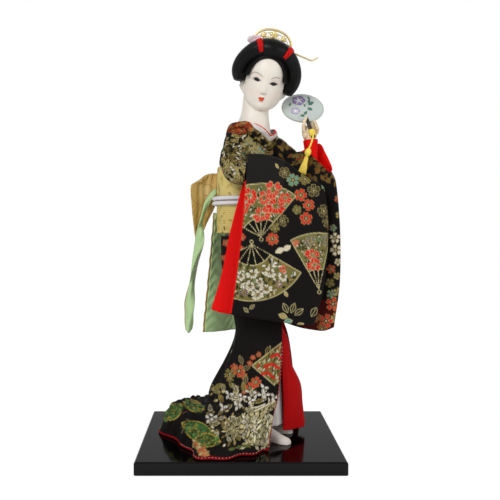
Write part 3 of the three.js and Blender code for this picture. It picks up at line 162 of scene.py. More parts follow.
def soft_lamp(name, place, size, power):
    lamp = bpy.data.lights.new(name, "AREA")
    lamp.shape, lamp.size, lamp.energy = "DISK", size, power
    stand = bpy.data.objects.new(name, lamp)
    stand.location = place
    stand.rotation_euler = (LIT_SPOT - Vector(place)).to_track_quat("-Z", "Y").to_euler()
    scene.collection.objects.link(stand)


soft_lamp("key_lamp", (-0.55, -0.9, 0.85), 0.55, 6.6)
soft_lamp("fill_lamp", (0.8, -0.7, 0.45), 0.7, 2.8)
soft_lamp("back_lamp", (0.25, 0.9, 0.9), 0.5, 2.0)
print("lamps set")

# %% [markdown]
# The doll's clothes and hair follow smooth curves through a few measured points. The same curve
# rule as in the solids is used here, so that a fine mesh lies where the coarse solid lies. A
# surface is a curve through curves: first along each row of points, then from row to row.
# %% Curves and surfaces
def curve(points, shares):
    p = np.asarray(points, float)
    p = np.concatenate([2 * p[:1] - p[1:2], p, 2 * p[-1:] - p[-2:-1]])
    last = len(p) - 3
    s = np.clip(np.asarray(shares, float) * last, 0, last)
    i = np.minimum(s.astype(int), last - 1)
    f = (s - i).reshape((-1,) + (1,) * (p.ndim - 1))
    a, b, c, d = p[i], p[i + 1], p[i + 2], p[i + 3]
    bend = f * f * (a - 2.5 * b + 2 * c - 0.5 * d) + f ** 3 * (1.5 * (b - c) + 0.5 * (d - a))
    return b + 0.5 * f * (c - a) + bend


def surface(rows, across, down):
    rows = np.asarray(rows, float).transpose(1, 0, 2)
    return curve(curve(rows, across).transpose(1, 0, 2), down)


def normals(grid):
    along = np.gradient(grid, axis=1)
    down = np.gradient(grid, axis=0)
    n = np.cross(along, down)
    return n / np.maximum(np.linalg.norm(n, axis=2, keepdims=True), 1e-9)


def shares(count):
    return np.linspace(0, 1, count)


def level(z, spots):
    return [(x, y, z) for x, y in spots]


def below(top, rows):
    """Rows of points whose third number is given as a drop below a level."""
    return [[(x, y, top - drop) for x, y, drop in row] for row in rows]


def oval(x, y, z, half_width, half_depth, turn, start, end, count, growth=0.0):
    t = shares(count)
    angle = np.radians(start + (end - start) * t)
    side = -(half_width + growth * t) * np.sin(angle)
    front = (half_depth + growth * t) * np.cos(angle)
    c, s = math.cos(math.radians(turn)), math.sin(math.radians(turn))
    return np.stack([x + side * c + front * s, y + side * s - front * c, np.full(count, float(z))], 1)


def full_turn(count):
    """Angles of a full round, without the last one, which is the first again."""
    return np.linspace(0, 2 * np.pi, count + 1)[:-1]


def smoothstep(x, low, high):
    t = np.clip((x - low) / (high - low), 0, 1)
    return t * t * (3 - 2 * t)


def dent(x, at, wide):
    return np.exp(-((x - at) / wide) ** 2)


def lathe(profile, count):
    """A surface turned round the upright axis from radii and heights."""
    a, radius = full_turn(count), profile[:, :1]
    return np.stack([radius * np.cos(a), radius * np.sin(a), np.repeat(profile[:, 1:], count, 1)], 2)


print("halfway from 0 to 1:", smoothstep(0.5, 0, 1))

# %% [markdown]
# The doll stands in turned frames, as the solids do: the torso is turned to the side, the head
# leans and bows, and the fan is tilted back. Each frame is a matrix that takes its own points to
# the board's frame.
# %% Frames of the doll
def placed(where, euler, inside=None):
    turned = Euler([math.radians(a) for a in euler]).to_matrix().to_4x4()
    own = np.array(Matrix.Translation(where) @ turned)
    return own if inside is None else inside @ own


def leaning(bow, roll):
    return np.array(Matrix.Rotation(math.radians(bow), 4, "X") @ Matrix.Rotation(math.radians(roll), 4, "Y"))


UPRIGHT = (0, 0, 0)
FIGURE = placed((0, 0, board_top), UPRIGHT)
TORSO = placed((5, 2, 0), (0, 0, 40), FIGURE)
NECK = placed((9.6, 1, 214), (0, 6, 0), FIGURE)
SKULL = placed((4.4, -2.5, 38), UPRIGHT, NECK) @ leaning(13, 6.5)
FAN = placed((48.4, -9.5, 219.2), UPRIGHT, FIGURE) @ leaning(-38, -9.5)


def into(frame_matrix, points):
    points = np.asarray(points, float)
    return points @ frame_matrix[:3, :3].T + frame_matrix[:3, 3]


def back_into(frame_matrix, points):
    return (np.asarray(points, float) - frame_matrix[:3, 3]) @ np.linalg.inv(frame_matrix[:3, :3]).T


print("neck stands at", np.round(into(NECK, (0, 0, 0)), 1))

# %% [markdown]
# One function makes a mesh from points and faces, and another from a grid of points, with a UV map
# in millimetres along the cloth, so that a weave keeps its scale. A grid may be closed round, or
# capped at its first or last row.
# %% Meshes from grids
BOTH_ENDS = ("first", "last")


def make_object(name, points, faces, finish, uv=None):
    mesh = bpy.data.meshes.new(name)
    mesh.from_pydata((np.asarray(points) * MM).tolist(), [], faces)
    if uv is not None:
        layer = mesh.uv_layers.new(name="cloth")
        corner = np.empty(len(mesh.loops), np.int32)
        mesh.loops.foreach_get("vertex_index", corner)
        layer.data.foreach_set("uv", np.asarray(uv, np.float32)[corner].ravel())
    mesh.polygons.foreach_set("use_smooth", [True] * len(mesh.polygons))
    mesh.materials.append(finish)
    mesh.validate()
    return linked(name, mesh)


def linked(name, mesh):
    made = bpy.data.objects.new(name, mesh)
    scene.collection.objects.link(made)
    return made


def settled_mesh(piece):
    """The mesh that a piece's modifiers leave. The piece itself is taken away."""
    bpy.context.view_layer.update()
    graph = bpy.context.evaluated_depsgraph_get()
    mesh = bpy.data.meshes.new_from_object(piece.evaluated_get(graph))
    bpy.data.objects.remove(piece)
    return mesh


def grid_faces(rows, columns, round_=False, flip=False, caps=(), start=0):
    index = np.arange(rows * columns).reshape(rows, columns) + start
    right = np.roll(index, -1, 1) if round_ else index
    a, b = (index[:-1], right[:-1]) if round_ else (index[:-1, :-1], index[:-1, 1:])
    c, d = (right[1:], index[1:]) if round_ else (index[1:, 1:], index[1:, :-1])
    quads = np.stack([a, d, c, b] if flip else [a, b, c, d], -1).reshape(-1, 4).tolist()
    for cap in caps:
        loop = index[0 if cap == "first" else -1].tolist()
        quads.append(loop if (cap == "first") == flip else loop[::-1])
    return quads


def joined(parts):
    """Points and faces of several round grids, each given with its flip and its caps."""
    points, faces, start = [], [], 0
    for grid, flip, caps in parts:
        faces += grid_faces(*grid.shape[:2], True, flip, caps, start)
        points.append(grid.reshape(-1, 3))
        start += grid.shape[0] * grid.shape[1]
    return np.concatenate(points), faces


def run_along(grid, axis):
    steps = np.linalg.norm(np.diff(grid, axis=axis), axis=2)
    return np.concatenate([np.zeros_like(steps.take([0], axis)), np.cumsum(steps, axis)], axis)


def cloth_uv(grid):
    return np.stack([run_along(grid, 1), -run_along(grid, 0)], 2).reshape(-1, 2)


def grid_object(name, grid, finish, round_=False, flip=False, caps=()):
    faces = grid_faces(*grid.shape[:2], round_, flip, caps)
    return make_object(name, grid.reshape(-1, 3), faces, finish, cloth_uv(grid))


def thicken(piece, depth, offset=-1.0):
    wall = piece.modifiers.new("thickness", "SOLIDIFY")
    wall.thickness, wall.offset, wall.use_even_offset = depth * MM, offset, False


def dress(piece, body, *replaced, slot=None):
    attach(piece, body)
    if replaced:
        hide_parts(*replaced)
    return piece


def paint(piece, colour, gold=None):
    mesh = piece.data
    tint = mesh.attributes.new("paint", "FLOAT_COLOR", "POINT")
    opaque = np.concatenate([colour, np.ones((len(colour), 1))], 1)
    tint.data.foreach_set("color", opaque.astype(np.float32).ravel())
    if gold is not None:
        metal = mesh.attributes.new("gold_thread", "FLOAT", "POINT")
        metal.data.foreach_set("value", np.asarray(gold, np.float32))


print("grid tools ready")

# %% [markdown]
# The board is wood under black lacquer, brushed on and polished. The eye sees a deep black with a
# sharp reflection, broken a little by the slow waves of the brush and by fine dust.
# %% Black lacquer
lacquer, tree, shader = new_material("brushed_black_lacquer")
place = add(tree, "ShaderNodeTexCoord").outputs["Object"]
waves = add(tree, NOISE, None, {"Vector": place, "Scale": 45.0, "Detail": 2.0}).outputs[0]
dust = add(tree, NOISE, None, {"Vector": place, "Scale": 900.0, "Detail": 3.0}).outputs[0]
gloss = add(tree, RANGE, None, {"Value": dust, "From Min": 0.35, "From Max": 0.8,
                                "To Min": 0.07, "To Max": 0.2})
tone = add(tree, MIX, COLOURS, {0: waves, 6: "#010101", 7: "#030303"})
bump = add(tree, BUMP, None, {"Strength": 0.12, "Distance": 0.2 * MM, "Height": waves})
plug(tree, shader, {"Base Color": tone.outputs[2], "Roughness": gloss.outputs[0], "Normal": bump.outputs[0],
                    "IOR": 1.36})
print("board finish:", lacquer.name)

# %% [markdown]
# Silk, cotton and satin differ in their threads. A plain weave shows two sets of threads of one
# thickness, a satin shows long floats along one way. The real threads are near 0.15 mm; they are
# drawn two to six times as coarse, or they would not show at this picture's size. A wave of scale 1
# repeats every 0.314, so its scale is that number over the thread's size in millimetres.
# %% Woven cloth
WAVE_STEP = 0.314


def woven_cloth(name, code, shade, warp_mm, weft_mm, rough, sheen, depth_mm=0.06, crease=0.25):
    made, tree, shader = new_material(name)
    along = add(tree, "ShaderNodeUVMap", {"uv_map": "cloth"}).outputs[0]
    threads = []
    for way, size_mm in (("X", warp_mm), ("Y", weft_mm)):
        sockets = {"Vector": along, "Scale": WAVE_STEP / size_mm, "Distortion": 0.6, "Detail": 1.0}
        threads.append(add(tree, WAVE, {"bands_direction": way}, sockets).outputs["Fac"])
    height = add(tree, MATH, TIMES, {0: threads[0], 1: threads[1]}).outputs[0]
    slub = add(tree, NOISE, None, {"Vector": along, "Scale": crease, "Detail": 4.0}).outputs[0]
    tone = add(tree, MIX, COLOURS, {0: slub, 6: shade, 7: code})
    lit = add(tree, MIX, DARKEN, {0: 0.18, 6: tone.outputs[2], 7: height})
    fuzz = add(tree, RANGE, None, {"Value": slub, "To Min": rough - 0.08, "To Max": rough + 0.08})
    bump = add(tree, BUMP, None, {"Strength": 0.6, "Distance": depth_mm * MM, "Height": height})
    plug(tree, shader, {"Base Color": lit.outputs[2], "Roughness": fuzz.outputs[0], "Normal": bump.outputs[0],
                        "Sheen Weight": sheen, "Sheen Roughness": 0.4, "Specular IOR Level": 0.12})
    return made


red_silk = woven_cloth("woven_red_silk", "#ff1410", "#f00a0a", 0.45, 0.45, 0.7, 0.0)
dark_red_silk = woven_cloth("dark_red_piping", "#a30d12", "#6e070b", 0.45, 0.45, 0.6, 0.0)
under_skirt_silk = woven_cloth("red_crepe", "#d2060a", "#a80306", 0.6, 0.6, 0.75, 0.0, crease=0.5)
green_satin = woven_cloth("pale_green_satin", "#d8f2b8", "#b4dc98", 0.6, 0.28, 0.42, 0.1)
white_cotton = woven_cloth("bleached_cotton", "#f4eeea", "#e3dbd6", 0.4, 0.4, 0.85, 0.1)
tabi_cloth = woven_cloth("tabi_cotton", "#fff6ee", "#f6eadf", 0.35, 0.35, 0.8, 0.1)
stuffing = woven_cloth("unbleached_calico", "#dccfb6", "#c4b69a", 0.6, 0.6, 0.9, 0.05)
pink_silk = woven_cloth("gathered_pink_silk", "#f7e6ea", "#efd3dc", 0.4, 0.4, 0.7, 0.1)
kanoko_red = woven_cloth("dappled_red_silk", "#f21210", "#c00a0a", 0.9, 0.9, 0.45, 0.0, 0.2)
print("cloths woven, the last is", kanoko_red.name)

# %% [markdown]
# Brocade is a dark silk ground with extra wefts of gilt paper, red, cream and green silk, floated
# on the face where the figure is. The figures are painted per vertex in cloth millimetres further
# down; this finish reads them and adds the weft lines. Gilt wefts are part metal and catch light.
# %% Brocade
def brocade_cloth(name, weft_mm, ground_rough, gilt_metal, contrast):
    made, tree, shader = new_material(name)
    along = add(tree, "ShaderNodeUVMap", {"uv_map": "cloth"}).outputs[0]
    figure = add(tree, "ShaderNodeAttribute", PAINTED).outputs["Color"]
    gilt = add(tree, "ShaderNodeAttribute", {"attribute_name": "gold_thread"}).outputs["Fac"]
    fine = WAVE_STEP / weft_mm
    weft = add(tree, WAVE, {"bands_direction": "Y"},
               {"Vector": along, "Scale": fine, "Distortion": 1.2, "Detail": 2.0}).outputs["Fac"]
    warp = add(tree, WAVE, {"bands_direction": "X"},
               {"Vector": along, "Scale": fine * 0.8, "Distortion": 1.0, "Detail": 1.0}).outputs["Fac"]
    slub = add(tree, NOISE, None, {"Vector": along, "Scale": 2.2, "Detail": 3.0})
    thread = add(tree, MATH, TIMES, {0: weft, 1: slub.outputs[0]})
    light = add(tree, RANGE, None, {"Value": thread.outputs[0], "From Max": 0.6,
                                    "To Min": 1 - contrast, "To Max": 1 + contrast})
    tone = add(tree, MIX, DARKEN, {0: 1.0, 6: figure, 7: light.outputs[0]})
    metal = add(tree, MATH, TIMES, {0: gilt, 1: gilt_metal})
    rough = add(tree, RANGE, None, {"Value": gilt, "To Min": ground_rough, "To Max": 0.42})
    raised = add(tree, MATH, {"operation": "MULTIPLY_ADD"}, {0: gilt, 1: 0.9, 2: warp})
    relief = add(tree, MATH, {"operation": "ADD"}, {0: raised.outputs[0], 1: weft})
    bump = add(tree, BUMP, None, {"Strength": 0.55, "Distance": 0.07 * MM, "Height": relief.outputs[0]})
    plug(tree, shader, {"Base Color": tone.outputs[2], "Metallic": metal.outputs[0],
                        "Roughness": rough.outputs[0], "Normal": bump.outputs[0], "Specular IOR Level": 0.1})
    return made


kimono_brocade = brocade_cloth("black_kimono_brocade", 0.5, 0.72, 0.35, 0.28)
obi_brocade = brocade_cloth("gold_obi_brocade", 0.55, 0.6, 0.3, 0.22)
print("brocades:", kimono_brocade.name, obi_brocade.name)

# %% [markdown]
# The head is bisque: porcelain fired without glaze, then painted. It is white, matt and very even,
# with a faint blush. The hands are cast resin in a warmer cream.
# %% Bisque and resin
bisque, tree, shader = new_material("painted_bisque")
place = add(tree, "ShaderNodeTexCoord").outputs["Object"]
tint = add(tree, "ShaderNodeAttribute", PAINTED).outputs["Color"]
grain = add(tree, NOISE, None, {"Vector": place, "Scale": 2600.0, "Detail": 3.0}).outputs[0]
cloud = add(tree, NOISE, None, {"Vector": place, "Scale": 140.0, "Detail": 2.0}).outputs[0]
tone = add(tree, MIX, DARKEN, {0: 0.06, 6: tint, 7: cloud})
rough = add(tree, RANGE, None, {"Value": grain, "To Min": 0.36, "To Max": 0.52})
bump = add(tree, BUMP, None, {"Strength": 0.15, "Distance": 0.03 * MM, "Height": grain})
plug(tree, shader, {"Base Color": tone.outputs[2], "Roughness": rough.outputs[0], "Normal": bump.outputs[0],
                    "Specular IOR Level": 0.4})

resin, tree, shader = new_material("cast_cream_resin")
place = add(tree, "ShaderNodeTexCoord").outputs["Object"]
cloud = add(tree, NOISE, None, {"Vector": place, "Scale": 220.0, "Detail": 3.0}).outputs[0]
tone = add(tree, MIX, COLOURS, {0: cloud, 6: "#e9cfa4", 7: "#f5e3c4"})
rough = add(tree, RANGE, None, {"Value": cloud, "To Min": 0.35, "To Max": 0.5})
plug(tree, shader, {"Base Color": tone.outputs[2], "Roughness": rough.outputs[0], "Specular IOR Level": 0.4})
print("castings:", bisque.name, resin.name)

# %% [markdown]
# The wig is nylon fibre, combed, oiled and set. It shows as black lines that lie side by side, with
# a soft band of light across them. The lines run along the UV map's second direction, and one line
# is a lock of about 0.4 mm, because a single fibre is too fine to show.
# %% Combed hair
hair, tree, shader = new_material("combed_nylon_hair")
along = add(tree, "ShaderNodeUVMap", {"uv_map": "cloth"}).outputs[0]
combed = add(tree, "ShaderNodeMapping", None, {"Vector": along, "Scale": (2.4, 0.05, 1.0)}).outputs[0]
lock = add(tree, NOISE, None, {"Vector": combed, "Scale": 1.0, "Detail": 5.0, "Roughness": 0.7}).outputs[0]
lit = add(tree, RANGE, None, {"Value": lock, "From Min": 0.38, "From Max": 0.72}).outputs[0]
tone = add(tree, MIX, COLOURS, {0: lit, 6: "#010101", 7: "#151514"})
rough = add(tree, RANGE, None, {"Value": lit, "To Min": 0.28, "To Max": 0.5})
bump = add(tree, BUMP, None, {"Strength": 0.7, "Distance": 0.14 * MM, "Height": lock})
plug(tree, shader, {"Base Color": tone.outputs[2], "Roughness": rough.outputs[0], "Normal": bump.outputs[0],
                    "Specular IOR Level": 0.17})
print("hair has", len(tree.nodes), "nodes")

# %% [markdown]
# Twisted silk makes the tassel and the wrapping, and braided rayon the white cords. Both show the
# lie of their strands. Gilt here is stamped brass under a thin bright wash.
# %% Threads, gilt, paper and bamboo
def twisted_thread(name, code, shade, rough):
    made, tree, shader = new_material(name)
    place = add(tree, "ShaderNodeTexCoord").outputs["Object"]
    strands = add(tree, NOISE, None, {"Vector": place, "Scale": 1500.0, "Detail": 2.0}).outputs[0]
    tone = add(tree, MIX, COLOURS, {0: strands, 6: shade, 7: code})
    fuzz = add(tree, RANGE, None, {"Value": strands, "To Min": rough - 0.1, "To Max": rough + 0.1})
    bump = add(tree, BUMP, None, {"Strength": 0.4, "Distance": 0.08 * MM, "Height": strands})
    plug(tree, shader, {"Base Color": tone.outputs[2], "Roughness": fuzz.outputs[0],
                        "Normal": bump.outputs[0], "Sheen Weight": 0.15})
    return made


yellow_thread = twisted_thread("twisted_yellow_silk", "#fff06a", "#ffd02a", 0.3)
white_cord = twisted_thread("braided_white_rayon", "#f4f0f2", "#cfc9cf", 0.55)

gilt, tree, shader = new_material("stamped_gilt_brass")
place = add(tree, "ShaderNodeTexCoord").outputs["Object"]
wear = add(tree, NOISE, None, {"Vector": place, "Scale": 320.0, "Detail": 4.0}).outputs[0]
tone = add(tree, MIX, COLOURS, {0: wear, 6: "#e6c873", 7: "#fff0b4"})
rough = add(tree, RANGE, None, {"Value": wear, "To Min": 0.22, "To Max": 0.42})
plug(tree, shader, {"Base Color": tone.outputs[2], "Roughness": rough.outputs[0], "Metallic": 0.6})

paper, tree, shader = new_material("painted_fan_paper")
place = add(tree, "ShaderNodeTexCoord").outputs["Object"]
tint = add(tree, "ShaderNodeAttribute", PAINTED).outputs["Color"]
fibre = add(tree, NOISE, None, {"Vector": place, "Scale": 1200.0, "Detail": 3.0}).outputs[0]
tone = add(tree, MIX, DARKEN, {0: 0.15, 6: tint, 7: fibre})
rough = add(tree, RANGE, None, {"Value": fibre, "To Min": 0.45, "To Max": 0.65})
bump = add(tree, BUMP, None, {"Strength": 0.2, "Distance": 0.04 * MM, "Height": fibre})
plug(tree, shader, {"Base Color": tone.outputs[2], "Roughness": rough.outputs[0], "Normal": bump.outputs[0]})

bamboo, tree, shader = new_material("smoked_bamboo")
place = add(tree, "ShaderNodeTexCoord").outputs["Object"]
grown = add(tree, "ShaderNodeMapping", None, {"Vector": place, "Scale": (900.0, 900.0, 90.0)}).outputs[0]
grain = add(tree, NOISE, None, {"Vector": grown, "Scale": 1.0, "Detail": 4.0}).outputs[0]
tone = add(tree, MIX, COLOURS, {0: grain, 6: "#241d1b", 7: "#4a3f3b"})
rough = add(tree, RANGE, None, {"Value": grain, "To Min": 0.35, "To Max": 0.55})
plug(tree, shader, {"Base Color": tone.outputs[2], "Roughness": rough.outputs[0]})
print("small finishes:", gilt.name, paper.name, bamboo.name)

# %% [markdown]
# Rods, wires and screws are hidden, but the doll can be turned over, so they have their finish too:
# plain beech for the rods, and drawn or turned steel for the rest.
# %% Hidden wood and steel
beech, tree, shader = new_material("plain_beech")
place = add(tree, "ShaderNodeTexCoord").outputs["Object"]
grown = add(tree, "ShaderNodeMapping", None, {"Vector": place, "Scale": (500.0, 500.0, 30.0)}).outputs[0]
grain = add(tree, NOISE, None, {"Vector": grown, "Scale": 1.0, "Detail": 4.0}).outputs[0]
tone = add(tree, MIX, COLOURS, {0: grain, 6: "#a87f52", 7: "#c9a273"})
plug(tree, shader, {"Base Color": tone.outputs[2], "Roughness": 0.7})

steel, tree, shader = new_material("drawn_steel")
place = add(tree, "ShaderNodeTexCoord").outputs["Object"]
drawn = add(tree, NOISE, None, {"Vector": place, "Scale": 700.0, "Detail": 3.0}).outputs[0]
rough = add(tree, RANGE, None, {"Value": drawn, "To Min": 0.25, "To Max": 0.45})
plug(tree, shader, {"Base Color": "#9d9c98", "Roughness": rough.outputs[0], "Metallic": 1.0})

KEPT_NODES = {"base_board": lacquer, "base_screw_right": steel, "base_screw_left": steel,
              "leg_rod_right": beech, "leg_rod_left": beech, "neck_peg": beech, "arm_wire_right": steel,
              "arm_wire_left": steel, "hand_right": resin, "fan_handle": bamboo}
for name, finish in KEPT_NODES.items():
    nodes[name].data.materials.clear()
    nodes[name].data.materials.append(finish)
print("finishes:", len(bpy.data.materials))

# %% [markdown]
# The figures of the cloth are old ones: open folding fans, plum and cherry blossoms, leaves and
# chrysanthemums. A weaver lays each figure over the ground in cloth millimetres. The same is done
# here with distances: a figure covers a vertex by how far inside its outline that vertex lies.
# %% A loom for figures
GOLD, OLD_GOLD, PALE_GOLD = "#a8935a", "#75652f", "#cdbf8c"
RED, ROSE, CREAM, TEAL, OLIVE = "#d81c1e", "#d8382f", "#dfd6bd", "#5d9a86", "#6d6a34"
BLACK_GROUND, WARP_BLACK, NEAR_BLACK = "#141110", "#15110d", "#12100d"
ANY_TURN = (0, 180)


class Loom:
    """Vertices of a cloth with their place in cloth millimetres, and what is woven there so far."""

    def __init__(self, x, y, ground, gold=0.0, edge=0.32, ragged=0.12):
        self.x, self.y, self.edge = np.ravel(x).astype(float), np.ravel(y).astype(float), edge
        thread = np.floor(self.y / 0.45)
        self.x = self.x + ragged * np.sin(thread * 78.233 + 12.9898 * np.floor(self.x / 1.3))
        self.colour = np.tile(linear(ground), (self.x.size, 1))
        self.gold = np.full(self.x.size, float(gold))

    def lay(self, distance, code, gold=0.0, near=slice(None)):
        cover = np.clip(0.5 - distance / self.edge, 0, 1)
        self.colour[near] += (linear(code) - self.colour[near]) * cover[:, None]
        self.gold[near] += (gold - self.gold[near]) * cover

    def close_to(self, x, y, reach):
        return np.nonzero((np.abs(self.x - x) < reach) & (np.abs(self.y - y) < reach))[0]

    def petals(self, x, y, radius, code, count=5, turn=0.0, line=GOLD, heart=PALE_GOLD, plump=1.0, wild=0.0):
        """A blossom: petals with a thin woven outline, a notch at the tip, a vein and dark gaps."""
        near = self.close_to(x, y, radius * 1.2 + 1)
        if not near.size:
            return
        dx, dy = self.x[near] - x, self.y[near] - y
        silk = code in (RED, ROSE, CREAM, TEAL)
        for k in range(count):
            a = math.radians(turn) + 2 * math.pi * k / count + wild * math.sin(5.1 * k + turn)
            size = radius * (1 + wild * math.sin(2.7 * k + turn))
            along = (dx * math.cos(a) + dy * math.sin(a)) / size
            side = (-dx * math.sin(a) + dy * math.cos(a)) / size
            wide = 0.33 * plump * 5 / max(count, 5) * np.clip(0.55 + 0.6 * along, 0.3, 1.1)
            body = np.hypot((along - 0.6) / 0.36, side / wide) - 1
            notch = 0.16 - np.hypot(along - 1.0, side)
            outline = np.maximum(body * wide, notch) * radius
            vein = np.maximum(np.abs(side) * radius - 0.1, (np.abs(along - 0.5) - 0.16) * radius)
            self.lay(outline, line, 0.8, near)
            self.lay(outline + min(0.34, 0.055 * radius), code, 0.0 if silk else 0.6, near)
            self.lay(vein, line, 0.7, near)
        self.lay(np.hypot(dx, dy) - 0.13 * radius, heart, 0.8, near)

    def leaf(self, x, y, length, wide, turn, code, line=GOLD, gold=0.5, inset=0.1):
        near = self.close_to(x, y, length)
        if not near.size:
            return
        dx, dy = self.x[near] - x, self.y[near] - y
        a = math.radians(turn)
        along, side = dx * math.cos(a) + dy * math.sin(a), -dx * math.sin(a) + dy * math.cos(a)
        t = along / (length / 2)
        outline = np.maximum(np.abs(side) - wide / 2 * np.clip(1 - t * t, 0, 1), np.abs(along) - length / 2)
        self.lay(outline - 0.25, line, 0.8, near)
        self.lay(outline + inset, code, gold, near)
        if wide > 1.7:
            self.lay(np.maximum(np.abs(side) - 0.14, outline + 0.4), line, 0.8, near)

    def spray(self, x, y, radius, count, turn, code, line=WARP_BLACK):
        """Long petals that spread from one spot, with the dark ground between them."""
        for k in range(count):
            a = turn + 360 * k / count
            reach = radius * (0.62 + 0.12 * math.sin(5.3 * k + turn))
            c, s = math.cos(math.radians(a)), math.sin(math.radians(a))
            self.leaf(x + reach * c, y + reach * s, radius * 0.85, radius * 0.3, a + 12, code, line, 0.4)

    def stroke(self, points, wide, code, gold=0.7):
        for (ax, ay), (bx, by) in zip(points[:-1], points[1:]):
            long = max(math.hypot(bx - ax, by - ay), 1e-6)
            near = self.close_to((ax + bx) / 2, (ay + by) / 2, long / 2 + wide + 1)
            if near.size:
                dx, dy = self.x[near] - ax, self.y[near] - ay
                t = np.clip((dx * (bx - ax) + dy * (by - ay)) / long ** 2, 0, 1)
                self.lay(np.hypot(dx - t * (bx - ax), dy - t * (by - ay)) - wide / 2, code, gold, near)

    def chrysanthemum(self, x, y, radius, count=16, code=PALE_GOLD):
        near = self.close_to(x, y, radius + 1)
        if not near.size:
            return
        dx, dy = self.x[near] - x, self.y[near] - y
        r, a = np.hypot(dx, dy), np.arctan2(dy, dx)
        petal = 2 * np.pi / count
        for outer, inner, shift in ((1.0, 0.5, 0.0), (0.62, 0.2, 0.5)):
            across = np.abs((a / petal + shift) % 1 - 0.5) * petal * r
            ring = np.maximum(r - radius * outer, radius * inner - r)
            outline = np.maximum(across - 0.42 * petal * np.minimum(r, radius * outer) + 0.2, ring)
            self.lay(np.maximum(r - radius * outer - 0.2, radius * inner - r), "#1a1610", 0.1, near)
            self.lay(outline, code, 0.8, near)
        self.lay(r - radius * 0.2, OLD_GOLD, 0.8, near)

    def open_fan(self, x, y, turn, spread, inner, outer, ground, flowers, ribs, speck, seed, coarse=1.0):
        """A folding fan: sticks from the rivet, and a gold leaf with specks and flowers on it."""
        near = self.close_to(x, y, outer + 2)
        if not near.size:
            return
        dx, dy = self.x[near] - x, self.y[near] - y
        r = np.hypot(dx, dy)
        a = (np.degrees(np.arctan2(dy, dx)) - turn + 180) % 360 - 180
        side = (np.abs(a) - spread) * np.pi / 180 * r
        sector = np.maximum(np.maximum(r - outer, inner - r), side)
        self.lay(np.maximum(np.maximum(r - inner, -r), side), "#0d0b0a", 0.0, near)
        step = 2 * spread / (ribs - 1)
        rib = np.abs((a + spread + step / 2) % step - step / 2) * np.pi / 180 * r
        dashes = np.where(r % 1.5 < 1.15, 0.0, 1.0)
        stick = np.maximum(rib - 0.26, np.maximum(r - inner, np.abs(a) - spread - 2))
        self.lay(stick + dashes, PALE_GOLD, 0.9, near)
        self.lay(sector - 0.3, PALE_GOLD, 0.9, near)
        self.lay(sector + 0.25, ground, 0.75, near)
        random = np.random.default_rng(seed)
        codes = [speck, PALE_GOLD, "#3a3a20", speck, "#7d9468", GOLD, "#1c1a12"]
        for _ in range(int(0.13 / coarse * spread * (outer ** 2 - inner ** 2) / 30)):
            reach = math.sqrt(random.uniform((inner + 1.2) ** 2, (outer - 1.2) ** 2))
            b = math.radians(turn + random.uniform(-spread + 3, spread - 3))
            code = codes[random.integers(7)]
            long, wide = coarse * random.uniform(1.8, 3.4), coarse * random.uniform(0.8, 1.3)
            lie = random.uniform(*ANY_TURN)
            self.leaf(x + reach * math.cos(b), y + reach * math.sin(b), long, wide, lie, code, "#4f4a26", 0.3)
        for u, v, radius, code in flowers:
            fx, fy = card(u, v)
            line = "#4a4424" if code == CREAM else "#c9a878"
            self.petals(fx, fy, radius * PIXEL, code, 5, 37 * fx, line, "#8a6a2c", 1.3, 0.2)
        away = math.radians(turn + 180)
        rivet = np.hypot(dx - 1.4 * math.cos(away), dy - 1.4 * math.sin(away))
        self.lay(np.abs(rivet - 1.1) - 0.22, PALE_GOLD, 0.9, near)

    def scatter(self, across, down, spacing, seed):
        """Mixed sprigs over a box of the cloth, one in each square of the spacing."""
        random = np.random.default_rng(seed)
        for y in np.arange(*down, spacing):
            for x in np.arange(*across, spacing):
                px, py = x + random.uniform(0, spacing), y + random.uniform(0, spacing)
                mixed_sprigs(self, px, py, random)


def mixed_sprigs(loom, x, y, random):
    kind, turn = random.integers(7), random.uniform(0, 360)
    if kind < 3:
        small, large, code = ((2.6, 3.8, RED), (2.6, 3.8, OLIVE), (2.8, 4.0, TEAL))[kind]
        loom.petals(x, y, random.uniform(small, large), code, 5, turn)
    elif kind < 5:
        for k, code in enumerate((CREAM, OLIVE, GOLD)):
            a = math.radians(turn + 55 * k)
            loom.leaf(x + 2 * math.cos(a), y + 2 * math.sin(a), 4.2, 1.7, turn + 55 * k, code)
    else:
        loom.leaf(x, y, 4.5, 2.0, turn, [CREAM, GOLD, TEAL][kind % 3])


def woven(piece, loom):
    paint(piece, loom.colour, loom.gold)
    return piece


print("the loom knows petals, leaves, strokes, chrysanthemums and fans")

# %% [markdown]
# Many figures on the cloth were found in the photograph, so it helps to know where a point
# of the doll falls in it. The picture is 500 pixels wide, and about 1.5 of them make a millimetre
# at the doll, so places in the picture are turned to millimetres on a flat card at the doll.
# %% Places in the picture
PIXELS_PER_MM = 1.5
PIXEL = 1 / PIXELS_PER_MM
FOCAL_PIXELS = 561
MIDDLE_U, MIDDLE_V = 224.5, 250


def card(u, v):
    return (u - MIDDLE_U) / PIXELS_PER_MM, (MIDDLE_V - v) / PIXELS_PER_MM


def seen(points):
    p = np.asarray(points, float).reshape(-1, 3) - CAMERA_AT
    c, s = math.cos(LOOK_DOWN), math.sin(LOOK_DOWN)
    deep, up = p[:, 1] * c - p[:, 2] * s, p[:, 1] * s + p[:, 2] * c
    return FOCAL_PIXELS * p[:, 0] / deep / PIXELS_PER_MM, FOCAL_PIXELS * up / deep / PIXELS_PER_MM


def facing(grid, outward):
    to_eye = CAMERA_AT - grid
    to_eye = to_eye / np.linalg.norm(to_eye, axis=2, keepdims=True)
    return np.einsum("ijk,ijk->ij", outward, to_eye).ravel()


print("head top is seen at", [np.round(a, 1) for a in seen([[14.0, -1.5, 290.0]])])

# %% [markdown]
# Small figures are strewn or set in groups. Every draw comes from a seeded source, so each run
# weaves the same cloth.
# %% Groups of figures
random = np.random.default_rng(12)


